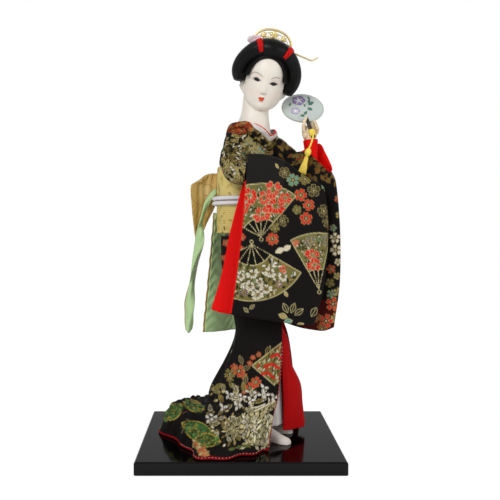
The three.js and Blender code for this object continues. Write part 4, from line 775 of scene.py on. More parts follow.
def strew(loom, count, across, down, long, wide, turn, codes, lines, gold=0.5, inset=0.1, within=None,
          place=card):
    """Leaves at random places of a box in the picture. A pair is a range, and a list is a choice."""
    for _ in range(count):
        u, v = random.uniform(*across), random.uniform(*down)
        if within is None or within(u, v):
            sizes = [random.uniform(*s) if isinstance(s, tuple) else s for s in (long, wide, turn)]
            colours = [c[random.integers(len(c))] if isinstance(c, list) else c for c in (codes, lines)]
            loom.leaf(*place(u, v), *sizes, *colours, gold, inset)


def set_blossoms(loom, places, turn_u, turn_v=0.0, line=GOLD):
    for u, v, radius, code in places:
        loom.petals(*card(u, v), radius * PIXEL, code, 5, turn_u * u + turn_v * v, line)


def set_sprays(loom, places, turn_u):
    for u, v, radius, code in places:
        loom.spray(*card(u, v), radius, 7, turn_u * u, code, "#cdbb80" if code == OLIVE else WARP_BLACK)


def draw(loom, places, wide, code, gold):
    loom.stroke([card(*p) for p in places], wide, code, gold)


print("groups ready")

# %% [markdown]
# Cords, pins, fingers and limbs are tubes along a path.
# %% Tubes
def ring_frames(path):
    """Directions across a path that turn as little as they can."""
    along = np.gradient(path, axis=0)
    along /= np.linalg.norm(along, axis=1, keepdims=True)
    side = np.zeros_like(path)
    first = np.cross(along[0], [0.0, 0.0, 1.0])
    side[0] = first / np.linalg.norm(first) if np.linalg.norm(first) > 0.1 else [1.0, 0.0, 0.0]
    for i in range(1, len(path)):
        turned = side[i - 1] - along[i] * (side[i - 1] @ along[i])
        side[i] = turned / np.linalg.norm(turned)
    return side, np.cross(along, side)


def tube(path, radii, sides=24):
    side, other = ring_frames(path)
    angle = full_turn(sides)[:, None]
    r = np.broadcast_to(np.asarray(radii, float).reshape(len(path), -1), (len(path), sides))
    return path[:, None] + r[..., None] * (np.cos(angle) * side[:, None] + np.sin(angle) * other[:, None])


print("tubes ready")

# %% [markdown]
# Under the clothes the doll is two calico bags stuffed with wadding on the leg rods. They hardly
# show, but they carry everything. Each is a stack of ovals with a soft skin over it.
# %% Stuffed body
KNEE, THIGH, HIP = 78.0, 100.0, 122.0
HIP_RINGS = [(18, -0.3, 64.2, 8.3, 8.3, 0), (18, -0.3, 73, 8.3, 8.3, 0), (16, 0, KNEE, 13, 11.5, 65),
             (11.5, 0.5, THIGH, 17.7, 14.9, 48), (7, 1.5, HIP, 17.9, 14.3, 42), (5, 2, 136, 16.4, 12.4, 40),
             (5, 2, 148.7, 16.4, 12.4, 40)]
NECK_X, NECK_Y = 3.28, -4.06
CHEST = np.array([[150.3, 17.7, 13.7, 0, 0], [182, 17.9, 13.9, 0, 0], [193.8, 20.5, 14.5, 0.8, -0.8],
                  [209.5, 20.5, 13.5, 2.2, -2.2], [214.9, 17.9, 14.9, 3, -3],
                  [219, 15, 14.4, NECK_X, NECK_Y]])
SKIN = 0.3


def stuffed(name, rings, matrix, node):
    loop = np.stack([oval(*r, 0, 360, 49)[:-1] for r in rings])
    grid = into(matrix, curve(loop, shares(40)))
    made = grid_object(name, grid, stuffing, round_=True, flip=True, caps=BOTH_ENDS)
    dress(made, "figure", node, slot="stuffing")


stuffed("wadded_hips", HIP_RINGS, FIGURE, "lower_body")
chest_rings = [(x, y, z - SKIN, w - SKIN, d - SKIN, 0) for z, w, d, x, y in CHEST[:-1]]
stuffed("wadded_chest", chest_rings, TORSO, "upper_body")
print("wadding set")

# %% [markdown]
# The feet are carved and dressed in split-toed cotton socks. A row of arches from heel to toe gives
# the sock, with a dent on top between the big toe and the rest.
# %% Split-toed socks
SOCK_LONG, SOCK_HALF, SOCK_TALL = 24.0, 4.3, 9.4
SOCK_ARCHES = [[0, 0.5, 0.5], [0.08, 0.8, 0.82], [0.26, 0.9, 1.0], [0.5, 0.95, 0.74], [0.75, 1.0, 0.47],
               [0.92, 0.82, 0.34], [1.0, 0.36, 0.16]]


def sock(name, heel, turn, inner, node):
    along, wide, tall = curve(SOCK_ARCHES, shares(60)).T
    angle = full_turn(72)
    x = SOCK_LONG * np.clip(along, 0, 1)[:, None] + 0 * angle
    y = SOCK_HALF * wide[:, None] * np.sign(np.cos(angle)) * np.abs(np.cos(angle)) ** 0.85
    top = np.maximum(np.sin(angle), 0) ** 0.85
    cleft = 0.55 * dent(y / SOCK_HALF, inner * 0.25, 0.13) * smoothstep(x, 17.0, 21.5)
    z = SOCK_TALL * tall[:, None] * top * (1 - cleft) + 0.25 * np.minimum(np.sin(angle), 0)
    c, s = math.cos(math.radians(turn)), math.sin(math.radians(turn))
    grid = into(FIGURE, np.stack([heel[0] + x * c - y * s, heel[1] + x * s + y * c, z + 0.3], 2))
    made = grid_object(name, grid, tabi_cloth, round_=True, caps=BOTH_ENDS)
    dress(made, "figure", node, slot="white_cotton")


sock("sock_right", (14.5, -8), -33, 1, "foot_right")
sock("sock_left", (16.5, 9.5), -22, -1, "foot_left")
print("socks on")

# %% [markdown]
# The bodice is a shell over the chest, cut away by a slanting V for the neck. Every upright line of
# the shell ends where it meets that V, so the edge is clean. The collars are bands that follow the
# same V, each a little narrower than the one outside it: black brocade, then white, then a red line.
# %% Bodice
V_TURN = math.radians(18)
TURNS = np.linspace(0, 360, 361)[:-1]
SHELL, BODICE_GROW, BODICE_FOOT = 0.8, 0.9, 0.17


def chest_points(turn, rise, grow):
    ring = curve(CHEST, rise.ravel()).reshape(*rise.shape, 5)
    a = np.radians(turn)
    x = ring[..., 3] - (ring[..., 1] + grow) * np.sin(a)
    y = ring[..., 4] - (ring[..., 2] + grow) * np.cos(a)
    return np.stack([x, y, ring[..., 0] + grow * smoothstep(rise, 0.8, 1.0)], -1)


def v_height(points, grow):
    c, s = math.cos(V_TURN), math.sin(V_TURN)
    dx, dy = points[..., 0] - NECK_X, points[..., 1] - NECK_Y
    across, deep = c * dx + s * dy, -s * dx + c * dy
    return 208.5 - grow / 0.886 + 9 * np.abs(across) / 17.2 + 0.07 * (deep + 14.5)


def v_edge(grow):
    """The share of the chest's height at which each upright line meets the V."""
    rise = np.repeat(np.linspace(0.4, 1, 500)[:, None], len(TURNS), 1)
    points = chest_points(TURNS[None, :], rise, SHELL)
    inside = points[..., 2] > v_height(points, grow)
    first = np.where(inside.any(0), inside.argmax(0), 499)
    return rise[first, 0]


rise = BODICE_FOOT + (v_edge(0.4) - BODICE_FOOT)[None, :] * shares(170)[:, None]
bodice = into(TORSO, chest_points(TURNS[None, :], rise, BODICE_GROW))
bodice_cloth = grid_object("brocade_bodice", bodice, kimono_brocade, round_=True, flip=True)
print("bodice vertices:", bodice.shape[0] * bodice.shape[1])

# %% [markdown]
# What the camera sees of the bodice is woven after the picture. Round the back, where the cloth turns
# away, sprigs are scattered at random. Orange and gold petals lie on the near shoulder.
# %% Bodice brocade
BRICK, LIGHT_LINE = "#8a2f1a", "#cdbb80"
DARK_LEAVES = ["#4c4a24", "#35351a", NEAR_BLACK, NEAR_BLACK, NEAR_BLACK]
LEAF_LINES = [LIGHT_LINE, "#b7a468", GOLD, OLD_GOLD]
SPECKS = [CREAM, NEAR_BLACK, GOLD, NEAR_BLACK, NEAR_BLACK]
BODICE_BLOSSOMS = ((245, 147, 5.4, TEAL), (259, 152, 6.0, TEAL), (274, 153, 4.5, BRICK),
                   (283, 150, 4.5, BRICK), (252, 141, 4.5, OLIVE), (266, 146, 4.2, OLD_GOLD))
BODICE_SPRAYS = ((231, 143, 6, OLIVE), (240, 139, 6, GOLD), (252, 147, 6, OLIVE), (264, 140, 6, GOLD),
                 (243, 154, 6, OLD_GOLD))
SHOULDER_U, SHOULDER_V = 237, 126
SHOULDER_BOX, BODICE_BOX = ((220, 256), (117, 136)), ((219, 300), (122, 188))
SPECK_SIZE = ((2.4, 4.2), (1.0, 1.6))
BACK_START, BODICE_LOW = 200, 150
SHOULDER_PETALS = [GOLD, "#b8452a", "#d8743a", "#2a1812"]


def shoulder_patch(loom):
    x, y = card(SHOULDER_U, SHOULDER_V)
    near = loom.close_to(x, y, 14)
    patch = np.hypot((loom.x[near] - x) / 11.0, (loom.y[near] - y) / 5.2) - 1
    loom.lay(patch * 4.5, "#8c3418", 0.2, near)
    strew(loom, 150, *SHOULDER_BOX, 2.6, 1.0, (-40, 40), SHOULDER_PETALS, "#7a3a1c",
          within=lambda u, v: math.hypot((u - SHOULDER_U) / 17, (v - SHOULDER_V) / 8.5) < 1)


x, y = seen(bodice)
toward = facing(bodice, -normals(bodice)) > 0.35
round_mm = np.broadcast_to((TURNS * 0.33)[None, :], rise.shape).ravel()
up_mm = bodice[..., 2].ravel() - BODICE_LOW
loom = Loom(np.where(toward, x, round_mm + BACK_START), np.where(toward, y, up_mm), "#151110")
loom.scatter((BACK_START - 5, BACK_START + 125), (0, 80), 6.5, seed=4)
strew(loom, 130, *BODICE_BOX, (5, 8.5), (2.0, 3.4), ANY_TURN, DARK_LEAVES, LEAF_LINES, 0.3, 0.2)
set_blossoms(loom, BODICE_BLOSSOMS, 7, line=PALE_GOLD)
set_sprays(loom, BODICE_SPRAYS, 7)
strew(loom, 90, *BODICE_BOX, *SPECK_SIZE, ANY_TURN, SPECKS, "#1c190f", 0.2)
shoulder_patch(loom)
woven(bodice_cloth, loom)
dress(bodice_cloth, "figure", "kimono_bodice", slot="black_brocade")
print("bodice woven")

# %% [markdown]
# At the near shoulder and the nape the brocade stands up higher than the white and covers it.
# %% Collar bands
COLLAR_LEAVES, COLLAR_BOX = [OLIVE, OLD_GOLD, GOLD, "#5d3a1e", CREAM], ((236, 300), (115, 165))
high_at_nape = smoothstep(TURNS, 28, 62) * (1 - smoothstep(TURNS, 205, 245))


def collar_band(name, finish, narrow, wide, low, high, node, slot_name, nape=0.0):
    def rise_at(share):
        return v_edge(narrow + (wide - narrow) * share - nape * high_at_nape)

    lines = []
    for share in shares(9):
        rise = rise_at(share)
        wave = np.convolve(np.concatenate([rise[-6:], rise, rise[:6]]), np.ones(13) / 13, "valid")
        bulge = low + (high - low) * math.sqrt(max(0.0, 1 - (2 * share - 1) ** 2))
        lines.append(chest_points(TURNS, wave, bulge))
    for share in (0.75, 0.5, 0.25):
        lines.append(chest_points(TURNS, rise_at(share), low))
    grid = into(TORSO, np.stack(lines + lines[:1]))
    made = grid_object(name, grid, finish, round_=True)
    return dress(made, "figure", node, slot=slot_name), grid


collar, band = collar_band("brocade_collar", kimono_brocade, 0.0, 6.0, 1.3, 2.6, "kimono_collar",
                           "black_brocade", 4.6)
loom = Loom(*seen(band), "#14100f")
strew(loom, 260, *COLLAR_BOX, (2, 4), (0.8, 1.5), ANY_TURN, COLLAR_LEAVES, OLD_GOLD)
shoulder_patch(loom)
woven(collar, loom)
collar_band("white_under_collar", white_cotton, -3.4, 0.4, 0.5, 1.7, "under_collar", "white_cotton")
collar_band("red_under_collar_edge", red_silk, -3.9, -3.2, 0.4, 1.1, "under_collar_edge", "red_silk")
print("collars sewn")

# %% [markdown]
# The obi is a stiff band of gold brocade, wound flat, with two round white cords over its middle.
# At the back it is tied in a bow with two drooping wings, and two tails lined with green satin hang
# down: one wide and flat, one narrow and twisted.
# %% Obi band and cords
OBI_LOW, OBI_HIGH, OBI_BACK = 140.0, 182.0, 18.6
WAIST_WIDE, WAIST_DEEP, OBI_GROW = 16.7, 12.7, 5.4
OBI_LEAVES = ["#e6d79a", "#eadfae", "#b79a50", "#96905a", "#d6bd6c"]
OBI_BOX = ((0, 130), (OBI_LOW + 1, OBI_HIGH - 1))
DARK_EDGE = ((0, 130), (OBI_LOW + 4.5, OBI_LOW + 8.5))
CORDS_AT, CORD_STEP, CORD_RADIUS = 167.4, 1.7, 1.36


def on_obi(x, y):
    return x, y


turns = np.linspace(0, 360, 321)[:-1]
heights = np.linspace(OBI_LOW + 5.0, OBI_HIGH - 0.3, 100)
t = (heights - OBI_LOW) / (OBI_HIGH - OBI_LOW)
swell = OBI_GROW + 0.4 * np.sin(np.pi * t) - 0.35 * dent(t, 0.65, 0.05) + 0.12 * dent(t, 0.33, 0.02)
swell = (swell - 0.5 * dent(t, 0, 0.02) - 0.5 * dent(t, 1, 0.02))[:, None]
higher = 9.5 * smoothstep(turns, 70, 105) * (1 - smoothstep(turns, 170, 215))
rises = heights[:, None] + higher[None, :] * smoothstep(t, 0.72, 1.0)[:, None]
a = np.radians(turns)
obi = into(TORSO, np.stack([-(WAIST_WIDE + swell) * np.sin(a), -(WAIST_DEEP + swell) * np.cos(a), rises], 2))
obi_cloth = grid_object("obi_band_brocade", obi, obi_brocade, round_=True, flip=True)
loom = Loom(*np.meshgrid(turns * 0.36, heights), "#e0cc80", 0.45)
for row in np.arange(OBI_LOW + 5.5, 163, 1.5):
    loom.lay(np.abs(loom.y - row) - 0.16, "#c09a48", 0.5)
strew(loom, 330, *OBI_BOX, (2, 4.5), (0.7, 1.5), ANY_TURN, OBI_LEAVES, "#c2a75c", place=on_obi)
strew(loom, 26, *DARK_EDGE, 2.6, 1.0, (30, 150), "#4a3716", "#6d5424", 0.2, place=on_obi)
woven(obi_cloth, loom)
thicken(obi_cloth, 1.2)
dress(obi_cloth, "figure", "obi_band", slot="gold_brocade")


def obi_cord(name, height, node):
    t = full_turn(480)[:, None]
    around = full_turn(20)
    ring = CORD_RADIUS + 0.07 * np.cos(3 * around + 90 * t)
    out = 7.6 + ring * np.cos(around)
    x, y = -(WAIST_WIDE + out) * np.sin(t), -(WAIST_DEEP + out) * np.cos(t)
    grid = into(TORSO, np.stack([x, y, height + ring * np.sin(around)], 2))
    made = grid_object(name, np.concatenate([grid, grid[:1]]), white_cord, round_=True, flip=True)
    dress(made, "figure", node, slot="white_cord")


obi_cord("obi_cord_top", CORDS_AT + CORD_STEP, "obi_cord_upper")
obi_cord("obi_cord_bottom", CORDS_AT - CORD_STEP, "obi_cord_lower")
print("obi wound")

# %% [markdown]
# Bow, knot and tails are flat bags: a front and a back sheet that meet at their edges. A bag keeps
# its full thickness in the middle and narrows towards the edges in a quarter of a circle.
# %% Flat bags
def bag(front, back, left=0.0, right=0.0, top=0.0, bottom=0.0, pinch=0.12):
    rows, columns = front.shape[:2]
    u, v = shares(columns)[None, :], shares(rows)[:, None]
    full = np.ones((rows, columns))
    for share, width in ((u, left), (1 - u, right), (v, top), (1 - v, bottom)):
        if width:
            s = np.clip(share / width, 0, 1)
            full = np.minimum(full, pinch + (1 - pinch) * np.sqrt(1 - (1 - s) ** 2))
    middle, full = (front + back) / 2, full[..., None]
    return np.concatenate([middle + (front - middle) * full, (middle + (back - middle) * full)[:, ::-1]], 1)


def bag_faces(rows, columns, open_left=False, open_top=False):
    """Faces of a bag whose columns run over the front and then back over the rear."""
    faces = grid_faces(rows, columns, not open_left, True)
    ends = ([] if open_top else [(0, False)]) + [(rows - 1, True)]
    for row, low in ends:
        first, last = row * columns, row * columns + columns - 1
        for j in range(columns // 2 - 1):
            a, b, c, d = first + j, first + j + 1, last - 1 - j, last - j
            faces.append([a, d, c, b] if low else [a, b, c, d])
    return faces


def bag_object(name, grid, finish, open_left=False, open_top=False):
    faces = bag_faces(*grid.shape[:2], open_left, open_top)
    return make_object(name, grid.reshape(-1, 3), faces, finish, cloth_uv(grid))


def striped_brocade(piece, grid, pivot, ground, line):
    """Gold brocade with the ribs of a fan that spread from one spot of the picture."""
    loom = Loom(*seen(grid), ground, 0.6)
    dx, dy = loom.x - card(*pivot)[0], loom.y - card(*pivot)[1]
    angle, reach = np.degrees(np.arctan2(dy, dx)), np.hypot(dx, dy)
    loom.lay(np.abs((angle + 4.5) % 9 - 4.5) * np.pi / 180 * reach - 0.2, line, 0.8)
    loom.lay(np.abs(reach % 7.5 - 3.75) - 0.14, "#8f6c2a", 0.4)
    woven(piece, loom)


print("bags ready")

# %% [markdown]
# Each wing of the bow droops from the knot in one broad loop. A row gives its height above the obi's
# top, its inner and outer end (sideways, and behind the obi's back) and its thickness.
# %% Bow
WING_ROWS = ((7, (7.5, 3), (19, 8), 5), (-2, (7.5, 3), (24, 12.5), 8), (-16, (8.5, 4), (24, 12.5), 7),
             (-29, (14.5, 6.5), (23.4, 11.8), 5), (-41, (19, 9.5), (22.6, 10.8), 2.5))
BEHIND = np.array([0, 1, 0])
WING_ACROSS, WING_DOWN = 70, 150


def wing_sheet(side, deep):
    t = shares(5)
    lines = []
    for above, (x0, y0), (x1, y1), thick in WING_ROWS:
        depth = deep * thick * (0.45 + 0.55 * np.sin(np.pi * np.minimum(1, t + 0.12))) + 8 * t * (1 - t)
        x, y = side * (x0 + (x1 - x0) * t), OBI_BACK + y0 + (y1 - y0) * t + depth
        lines.append(np.stack([x, y, OBI_HIGH + above - 7 * t ** 3 * (above > 0)], 1))
    return surface(lines, shares(WING_ACROSS), shares(WING_DOWN))


def bow_wing(name, side, node):
    pleat = 0.35 * np.sin(8 * np.pi * shares(WING_ACROSS))[None, :] * (1 - shares(WING_DOWN))[:, None]
    pleat = pleat[..., None] * BEHIND
    grid = bag(wing_sheet(side, 0) - pleat, wing_sheet(side, 1) + pleat, 0.1, 0.16, 0.07, 0.12)
    columns = np.arange(2 * WING_ACROSS)
    order = np.roll(columns, WING_ACROSS) if side < 0 else columns[::-1]
    grid = np.ascontiguousarray(into(TORSO, grid)[:, order])
    made = bag_object(name, grid, obi_brocade)
    striped_brocade(made, grid, (207, 190), "#c29a4e", "#dfc284")
    dress(made, "figure", node, slot="gold_brocade")


bow_wing("bow_wing_right", -1, "obi_wing_right")
bow_wing("bow_wing_left", 1, "obi_wing_left")

a, b = np.meshgrid(np.linspace(-1, 1, 60), np.linspace(-1, 1, 70))
knot_x, knot_z = 10 * a * (1 - 0.18 * (1 - b * b)), 172 - 12 * b
swell = np.sqrt(np.maximum(0, 1 - 0.85 * a ** 2)) * (1 - 0.2 * b ** 2) + 0.02 * np.cos(9 * np.pi * a)
knot_front = np.stack([knot_x, OBI_BACK - 0.4 + 1.2 * a ** 2, knot_z], 2)
knot_rear = np.stack([knot_x, OBI_BACK + 9 * swell, knot_z], 2)
knot = into(TORSO, bag(knot_front, knot_rear, 0.1, 0.1, 0.1, 0.1))
bow_knot = bag_object("bow_knot", knot, obi_brocade)
striped_brocade(bow_knot, knot, (232, 150), "#c6aa66", "#e2cf98")
dress(bow_knot, "figure", "obi_knot", slot="gold_brocade")
print("bow tied")

# %% [markdown]
# The narrow tail is a puffed band that turns as it falls, and its gold side shows near its end.
# %% Narrow sash tail
TAIL_COLUMNS, TAIL_ROWS = 40, 260
NARROW_ROWS = below(OBI_HIGH, [
    [(-15, 10.3, 6), (-17, 8.2, 5), (-19, 8.9, 6)], [(-20.5, 8.8, 14), (-22.8, 7, 14), (-25, 7.8, 15)],
    [(-25, 6.2, 30), (-27.6, 4, 30), (-30.2, 5.6, 31)], [(-25.6, 5, 43), (-28.4, 3.2, 43), (-31.6, 4.6, 43)],
    [(-29.6, 5, 64), (-32.6, 2.6, 64), (-35.6, 4.6, 65)], [(-32.6, 5, 87), (-35.8, 2.6, 87), (-39, 4.6, 88)],
    [(-33.2, 5.2, 107), (-36.4, 3, 109.5), (-39.4, 5, 107)]])
u, v = shares(TAIL_COLUMNS), shares(TAIL_ROWS)
ribbon = surface(NARROW_ROWS, u, v)[:, ::-1]
spine = ribbon[:, 20:21]
full = 0.92 + 0.09 * np.sin(2 * np.pi * (4.2 * v + 0.4 * np.sin(7 * v)))[:, None, None]
twist = 3.7 * np.sin(2 * np.pi * 2.6 * v)[:, None] * (u - 0.5)[None, :] * 2
wave = 0.55 * np.sin(2 * np.pi * (6.2 * v[:, None] + 0.9 * u[None, :])) * np.sin(np.pi * v)[:, None]
ribbon = spine + (ribbon - spine) * full + (wave + twist)[..., None] * [0.25, -1, 0]
puff = 1.4 + 1.0 * np.sin(np.pi * u)[None, :] * (1 + 0.4 * np.sin(2 * np.pi * 5.2 * v))[:, None]
half = 0.5 * puff[..., None] * BEHIND
body = into(FIGURE, bag(ribbon - half, ribbon + half, 0.14, 0.14, 0, 0.01))
narrow_tail = bag_object("sash_tail_narrow", body, green_satin)
narrow_tail.data.materials.append(obi_brocade)
first_corner = np.array([p.vertices[0] for p in narrow_tail.data.polygons])
row, column = np.divmod(first_corner, 2 * TAIL_COLUMNS)
gold_face = ((column < 4) | (column > 72)) & (row > 190)
narrow_tail.data.polygons.foreach_set("material_index", gold_face.astype(np.int32))
striped_brocade(narrow_tail, body, (150, 150), "#a9843c", "#cfae62")
dress(narrow_tail, "figure", "sash_end_narrow", slot="green_satin")
print("narrow tail has", gold_face.sum(), "gold faces")

# %% [markdown]
# The wide tail is two sheets sewn back to back: green satin towards the doll, gold brocade behind.
# %% Wide sash tail
WIDE_ROWS = np.array(below(OBI_HIGH, [
    [(-13, 1.3, 22.3), (-5, 1.8, 22.3), (5, 1.8, 22.3), (13, 1.3, 22.3)],
    [(-15.5, 2, 52), (-5, 3.2, 52), (5, 2, 52), (15, 3, 52)],
    [(-17.5, 4, 82), (-6, 3, 82), (5, 4.4, 82), (15.5, 3, 82)],
    [(-19.5, 6, 110), (-6.5, 4, 110.5), (5, 5.5, 111), (16, 4, 111)]])) + OBI_BACK * BEHIND


def wide_tail(name, finish, depth, spread, node, slot_name):
    u, v = shares(70)[None, :], shares(150)[:, None]
    sheet = surface(WIDE_ROWS, u.ravel(), v.ravel())
    middle = sheet[:, 35:36]
    sheet = middle + (sheet - middle) * [spread, 1, 1] + depth * BEHIND
    sway = 0.25 * np.sin(2 * np.pi * (2.5 * u + 0.4 * v)) * v
    crinkle = np.sin(2 * np.pi * (11 * v + 1.6 * u + 0.5 * np.sin(9 * u)))
    crinkle = crinkle + np.sin(2 * np.pi * (6 * v - 2.3 * u))
    sheet = sheet + (sway + 0.22 * crinkle)[..., None] * BEHIND
    grid = into(TORSO, bag(sheet, sheet + 0.7 * BEHIND, 0.02, 0.02, 0, 0.01))
    made = bag_object(name, grid, finish)
    if finish is obi_brocade:
        striped_brocade(made, grid, (214, 172), "#b48d45", "#d6b66c")
    dress(made, "figure", node, slot=slot_name)


wide_tail("sash_tail_wide_satin", green_satin, -0.1, 0.95, "sash_end_wide_lining", "green_satin")
wide_tail("sash_tail_wide_brocade", obi_brocade, 0.9, 1.0, "sash_end_wide", "gold_brocade")
print("tails hung")

# %% [markdown]
# A kimono sleeve is a flat bag sewn from one length of brocade, open at the inner edge, with red silk
# inside. Front and back are surfaces through measured points, given as drops below the shoulder. The
# near sleeve's back reaches further left than its front, so the red lining shows there as a long wedge.
# %% Sleeve shapes
SHOULDER = 206.0
RIGHT_FRONT = below(SHOULDER, [
    [(5, -34, 9), (15, -36, 9.5), (28, -37, 13.5), (42, -36, 23.5), (53, -32.5, 28.5)],
    [(4, -36.5, 18), (15, -38.5, 18), (28, -39.5, 22), (43, -38, 29.5), (56, -33.5, 34.5)],
    [(1.5, -37, 55), (14, -39.5, 55), (28, -39, 56), (43, -39.5, 58), (58, -33.5, 60)],
    [(-2.5, -36, 90), (12, -39, 91), (28, -37.5, 93), (42, -39, 95), (55.5, -33, 97)],
    [(-6, -34, 115), (11, -36.5, 117.5), (27, -35.5, 120), (39, -36.5, 121.5), (49, -32.5, 122)]])
RIGHT_BACK = below(SHOULDER, [
    [(8, -26.5, 9), (15, -26.5, 9.5), (28, -27, 13.5), (42, -27.5, 23.5), (53, -26.5, 28.5)],
    [(5.5, -25.5, 18), (15, -25, 18), (28, -25.5, 22), (43, -26, 29.5), (56, -26.5, 34.5)],
    [(-5, -26, 55), (12, -27, 55), (28, -28, 56), (43, -28, 58), (58, -27.5, 60)],
    [(-12.5, -25.5, 90), (10, -27, 91), (28, -28, 93), (42, -28.5, 95), (55.5, -27, 97)],
    [(-19.5, -25, 113), (8, -27.5, 117), (27, -28, 120), (39, -28.5, 121.5), (49, -26.5, 122)]])
LEFT_FRONT = below(SHOULDER, [
    [(31, -5, 6), (38, -10, 5), (46, -13.4, 5.5), (54, -17.5, 13), (61, -22, 21)],
    [(31, -7, 18), (39, -11, 18), (48, -15, 18), (56, -20, 22), (64, -25.5, 28)],
    [(32, -9, 55), (41, -14, 55), (50, -19, 56), (59, -23.5, 57), (67, -27, 58)],
    [(33, -9.5, 92), (42, -14, 93), (51, -19.5, 94), (60, -23, 94), (67.2, -27, 94)],
    [(34, -10, 125), (42, -14, 127), (50, -18.5, 128), (57, -22, 128), (63.5, -25, 125)]])
LEFT_BACK = below(SHOULDER, [
    [(31, 4, 6), (42, 1.5, 4.6), (55.4, -1.8, -1.2), (59.6, -6.2, 6), (63.2, -12.5, 17)],
    [(31, 4, 18), (39, 1, 18), (48, 1, 18), (58, -4.5, 22), (66, -17, 28)],
    [(32, 1, 55), (41, -3, 55), (50, -8, 56), (60, -14, 57), (67.5, -20, 58)],
    [(33, -1, 92), (42, -5, 93), (52, -10, 94), (61, -15, 94), (67.5, -20, 94)],
    [(34, -2.5, 125), (42, -6.5, 127), (51, -11, 128), (58, -15, 128), (64.5, -18.5, 125)]])
RIGHT_EDGES, LEFT_EDGES = (0, 0.05, 0.04, 0.012), (0.06, 0.06, 0, 0.03)
RIGHT_ARM, LEFT_ARM = below(SHOULDER, [
    [(0, -4, 4), (-3.5, -10, 6), (-4.6, -19, 13), (-1.5, -27.5, 20), (6, -31.5, 22)],
    [(13, 5, -1), (23, 8, -1), (33, 6, 6), (41, -1, 14.5), (46, -5.6, 18.5)]])
ARM_ROWS, ARM_SIDES = 110, 130
REAR_START, ARM_START = 300, 500


def sleeve_grid(front_rows, back_rows, inset, columns, rows, edges):
    u, v = shares(columns), shares(rows)
    front, back = surface(front_rows, u, v), surface(back_rows, u, v)
    drape = 0.35 * np.sin(2 * np.pi * (1.7 * u[None, :] + 0.3 * v[:, None]))
    drape = drape * smoothstep(v, 0.1, 0.6)[:, None]
    front = front + drape[..., None] * BEHIND
    middle = (front + back) / 2
    thick = np.linalg.norm(front - back, axis=2, keepdims=True)
    pull = np.clip(1 - 2 * inset / np.maximum(thick, 0.1), 0.2, 1)
    return into(FIGURE, bag(middle + (front - middle) * pull, middle + (back - middle) * pull, *edges))


def arm_tube(points, radii):
    t, around = shares(ARM_ROWS), full_turn(ARM_SIDES)
    crease = 0.22 * np.sin(9 * np.pi * t[:, None] + 1.5 * np.sin(around)) * np.sin(np.pi * t)[:, None]
    return into(FIGURE, tube(curve(points, t), curve(np.array(radii)[:, None], t) + crease, ARM_SIDES))


def sleeve_object(name, pocket, arm, open_left, open_top):
    points = np.concatenate([pocket.reshape(-1, 3), arm.reshape(-1, 3)])
    start = pocket.shape[0] * pocket.shape[1]
    faces = bag_faces(*pocket.shape[:2], open_left, open_top)
    faces = faces + grid_faces(*arm.shape[:2], True, True, (), start)
    uv = np.concatenate([cloth_uv(pocket), cloth_uv(arm)])
    return make_object(name, points, faces, kimono_brocade, uv)


def sleeve_loom(pocket, arm):
    """Front figures lie where they are seen. The rear, and the arm where it turns away, lie apart."""
    rows, columns = pocket.shape[:2]
    x, y = seen(pocket)
    x = np.where(np.tile(np.arange(columns) >= columns // 2, rows), x + REAR_START, x)
    arm_x, arm_y = seen(arm)
    turned, flat = np.abs(facing(arm, normals(arm))) < 0.35, cloth_uv(arm)
    arm_x, arm_y = np.where(turned, flat[:, 0] + ARM_START, arm_x), np.where(turned, flat[:, 1], arm_y)
    return Loom(np.concatenate([x, arm_x]), np.concatenate([y, arm_y]), BLACK_GROUND)


print("sleeve rows:", len(RIGHT_FRONT))

# %% [markdown]
# Three open fans, blossoms and leaves lie on the near sleeve. Their places were read in the picture,
# one by one; a length of 10 pixels there is about 6.7 mm of cloth.
# %% Near sleeve
SLEEVE_SPRAYS = ((228, 139, 6.5, GOLD), (240, 156, 6.5, GOLD), (227, 155, 6, OLD_GOLD),
                 (234, 172, 6.5, OLIVE), (225, 166, 5, OLIVE), (242, 145, 5.5, GOLD), (241, 184, 5.5, GOLD))
SLEEVE_BLOSSOMS = (
    (293, 180, 7, TEAL), (305, 179, 6.5, OLIVE), (327, 186, 6, TEAL), (284.5, 172.5, 6, GOLD),
    (313.8, 190.5, 7, GOLD), (323.8, 211, 7, GOLD), (282.5, 220.6, 6.5, GOLD), (297, 210, 5, OLIVE),
    (300.6, 195, 7, RED), (308.8, 205, 6.5, RED), (306, 218.5, 7, RED), (334, 202, 5, RED),
    (328, 222, 6, GOLD), (331, 228, 4, RED), (272.5, 239, 7, RED), (242, 237, 4, RED),
    (241, 250, 4.5, RED), (275, 228, 5, OLIVE))
SLEEVE_LEAVES = (
    (280, 250.5, 10, 5, 25, CREAM), (287, 248, 9, 5, 35, CREAM), (286, 294, 6, 3, 120, GOLD),
    (246, 310, 6, 3, 130, PALE_GOLD), (252, 307, 6, 3, 40, PALE_GOLD), (285.5, 308, 10, 5, 115, PALE_GOLD),
    (293, 308, 10, 5, 70, PALE_GOLD), (299, 312, 10, 5, 35, PALE_GOLD), (283, 316, 9, 5, 160, GOLD),
    (314, 312, 10, 6, 60, PALE_GOLD), (288, 322, 9, 6, 20, TEAL), (280, 325, 6, 3, 10, TEAL),
    (300, 325, 8, 4, 20, GOLD), (277, 166, 5, 2, 120, GOLD))
UPPER_FAN = ((250, 196, 8.5, RED), (273, 190, 9, ROSE), (276, 206, 10, RED), (262, 214, 9, ROSE),
             (285, 198, 6.5, RED), (264, 198, 7, ROSE), (244, 208, 6, RED))
LOWER_FAN = ((252.5, 274, 6.5, CREAM), (270, 272.5, 6.5, CREAM), (283, 276, 6, CREAM), (266, 289, 6.5, CREAM),
             (257, 295, 6.5, CREAM), (250, 286, 5.5, CREAM), (243.8, 292.5, 4.5, "#4d4a55"),
             (279, 284, 4, "#5a5160"), (283, 269, 4, ROSE), (260, 282, 4.5, CREAM), (241, 276, 5, CREAM))
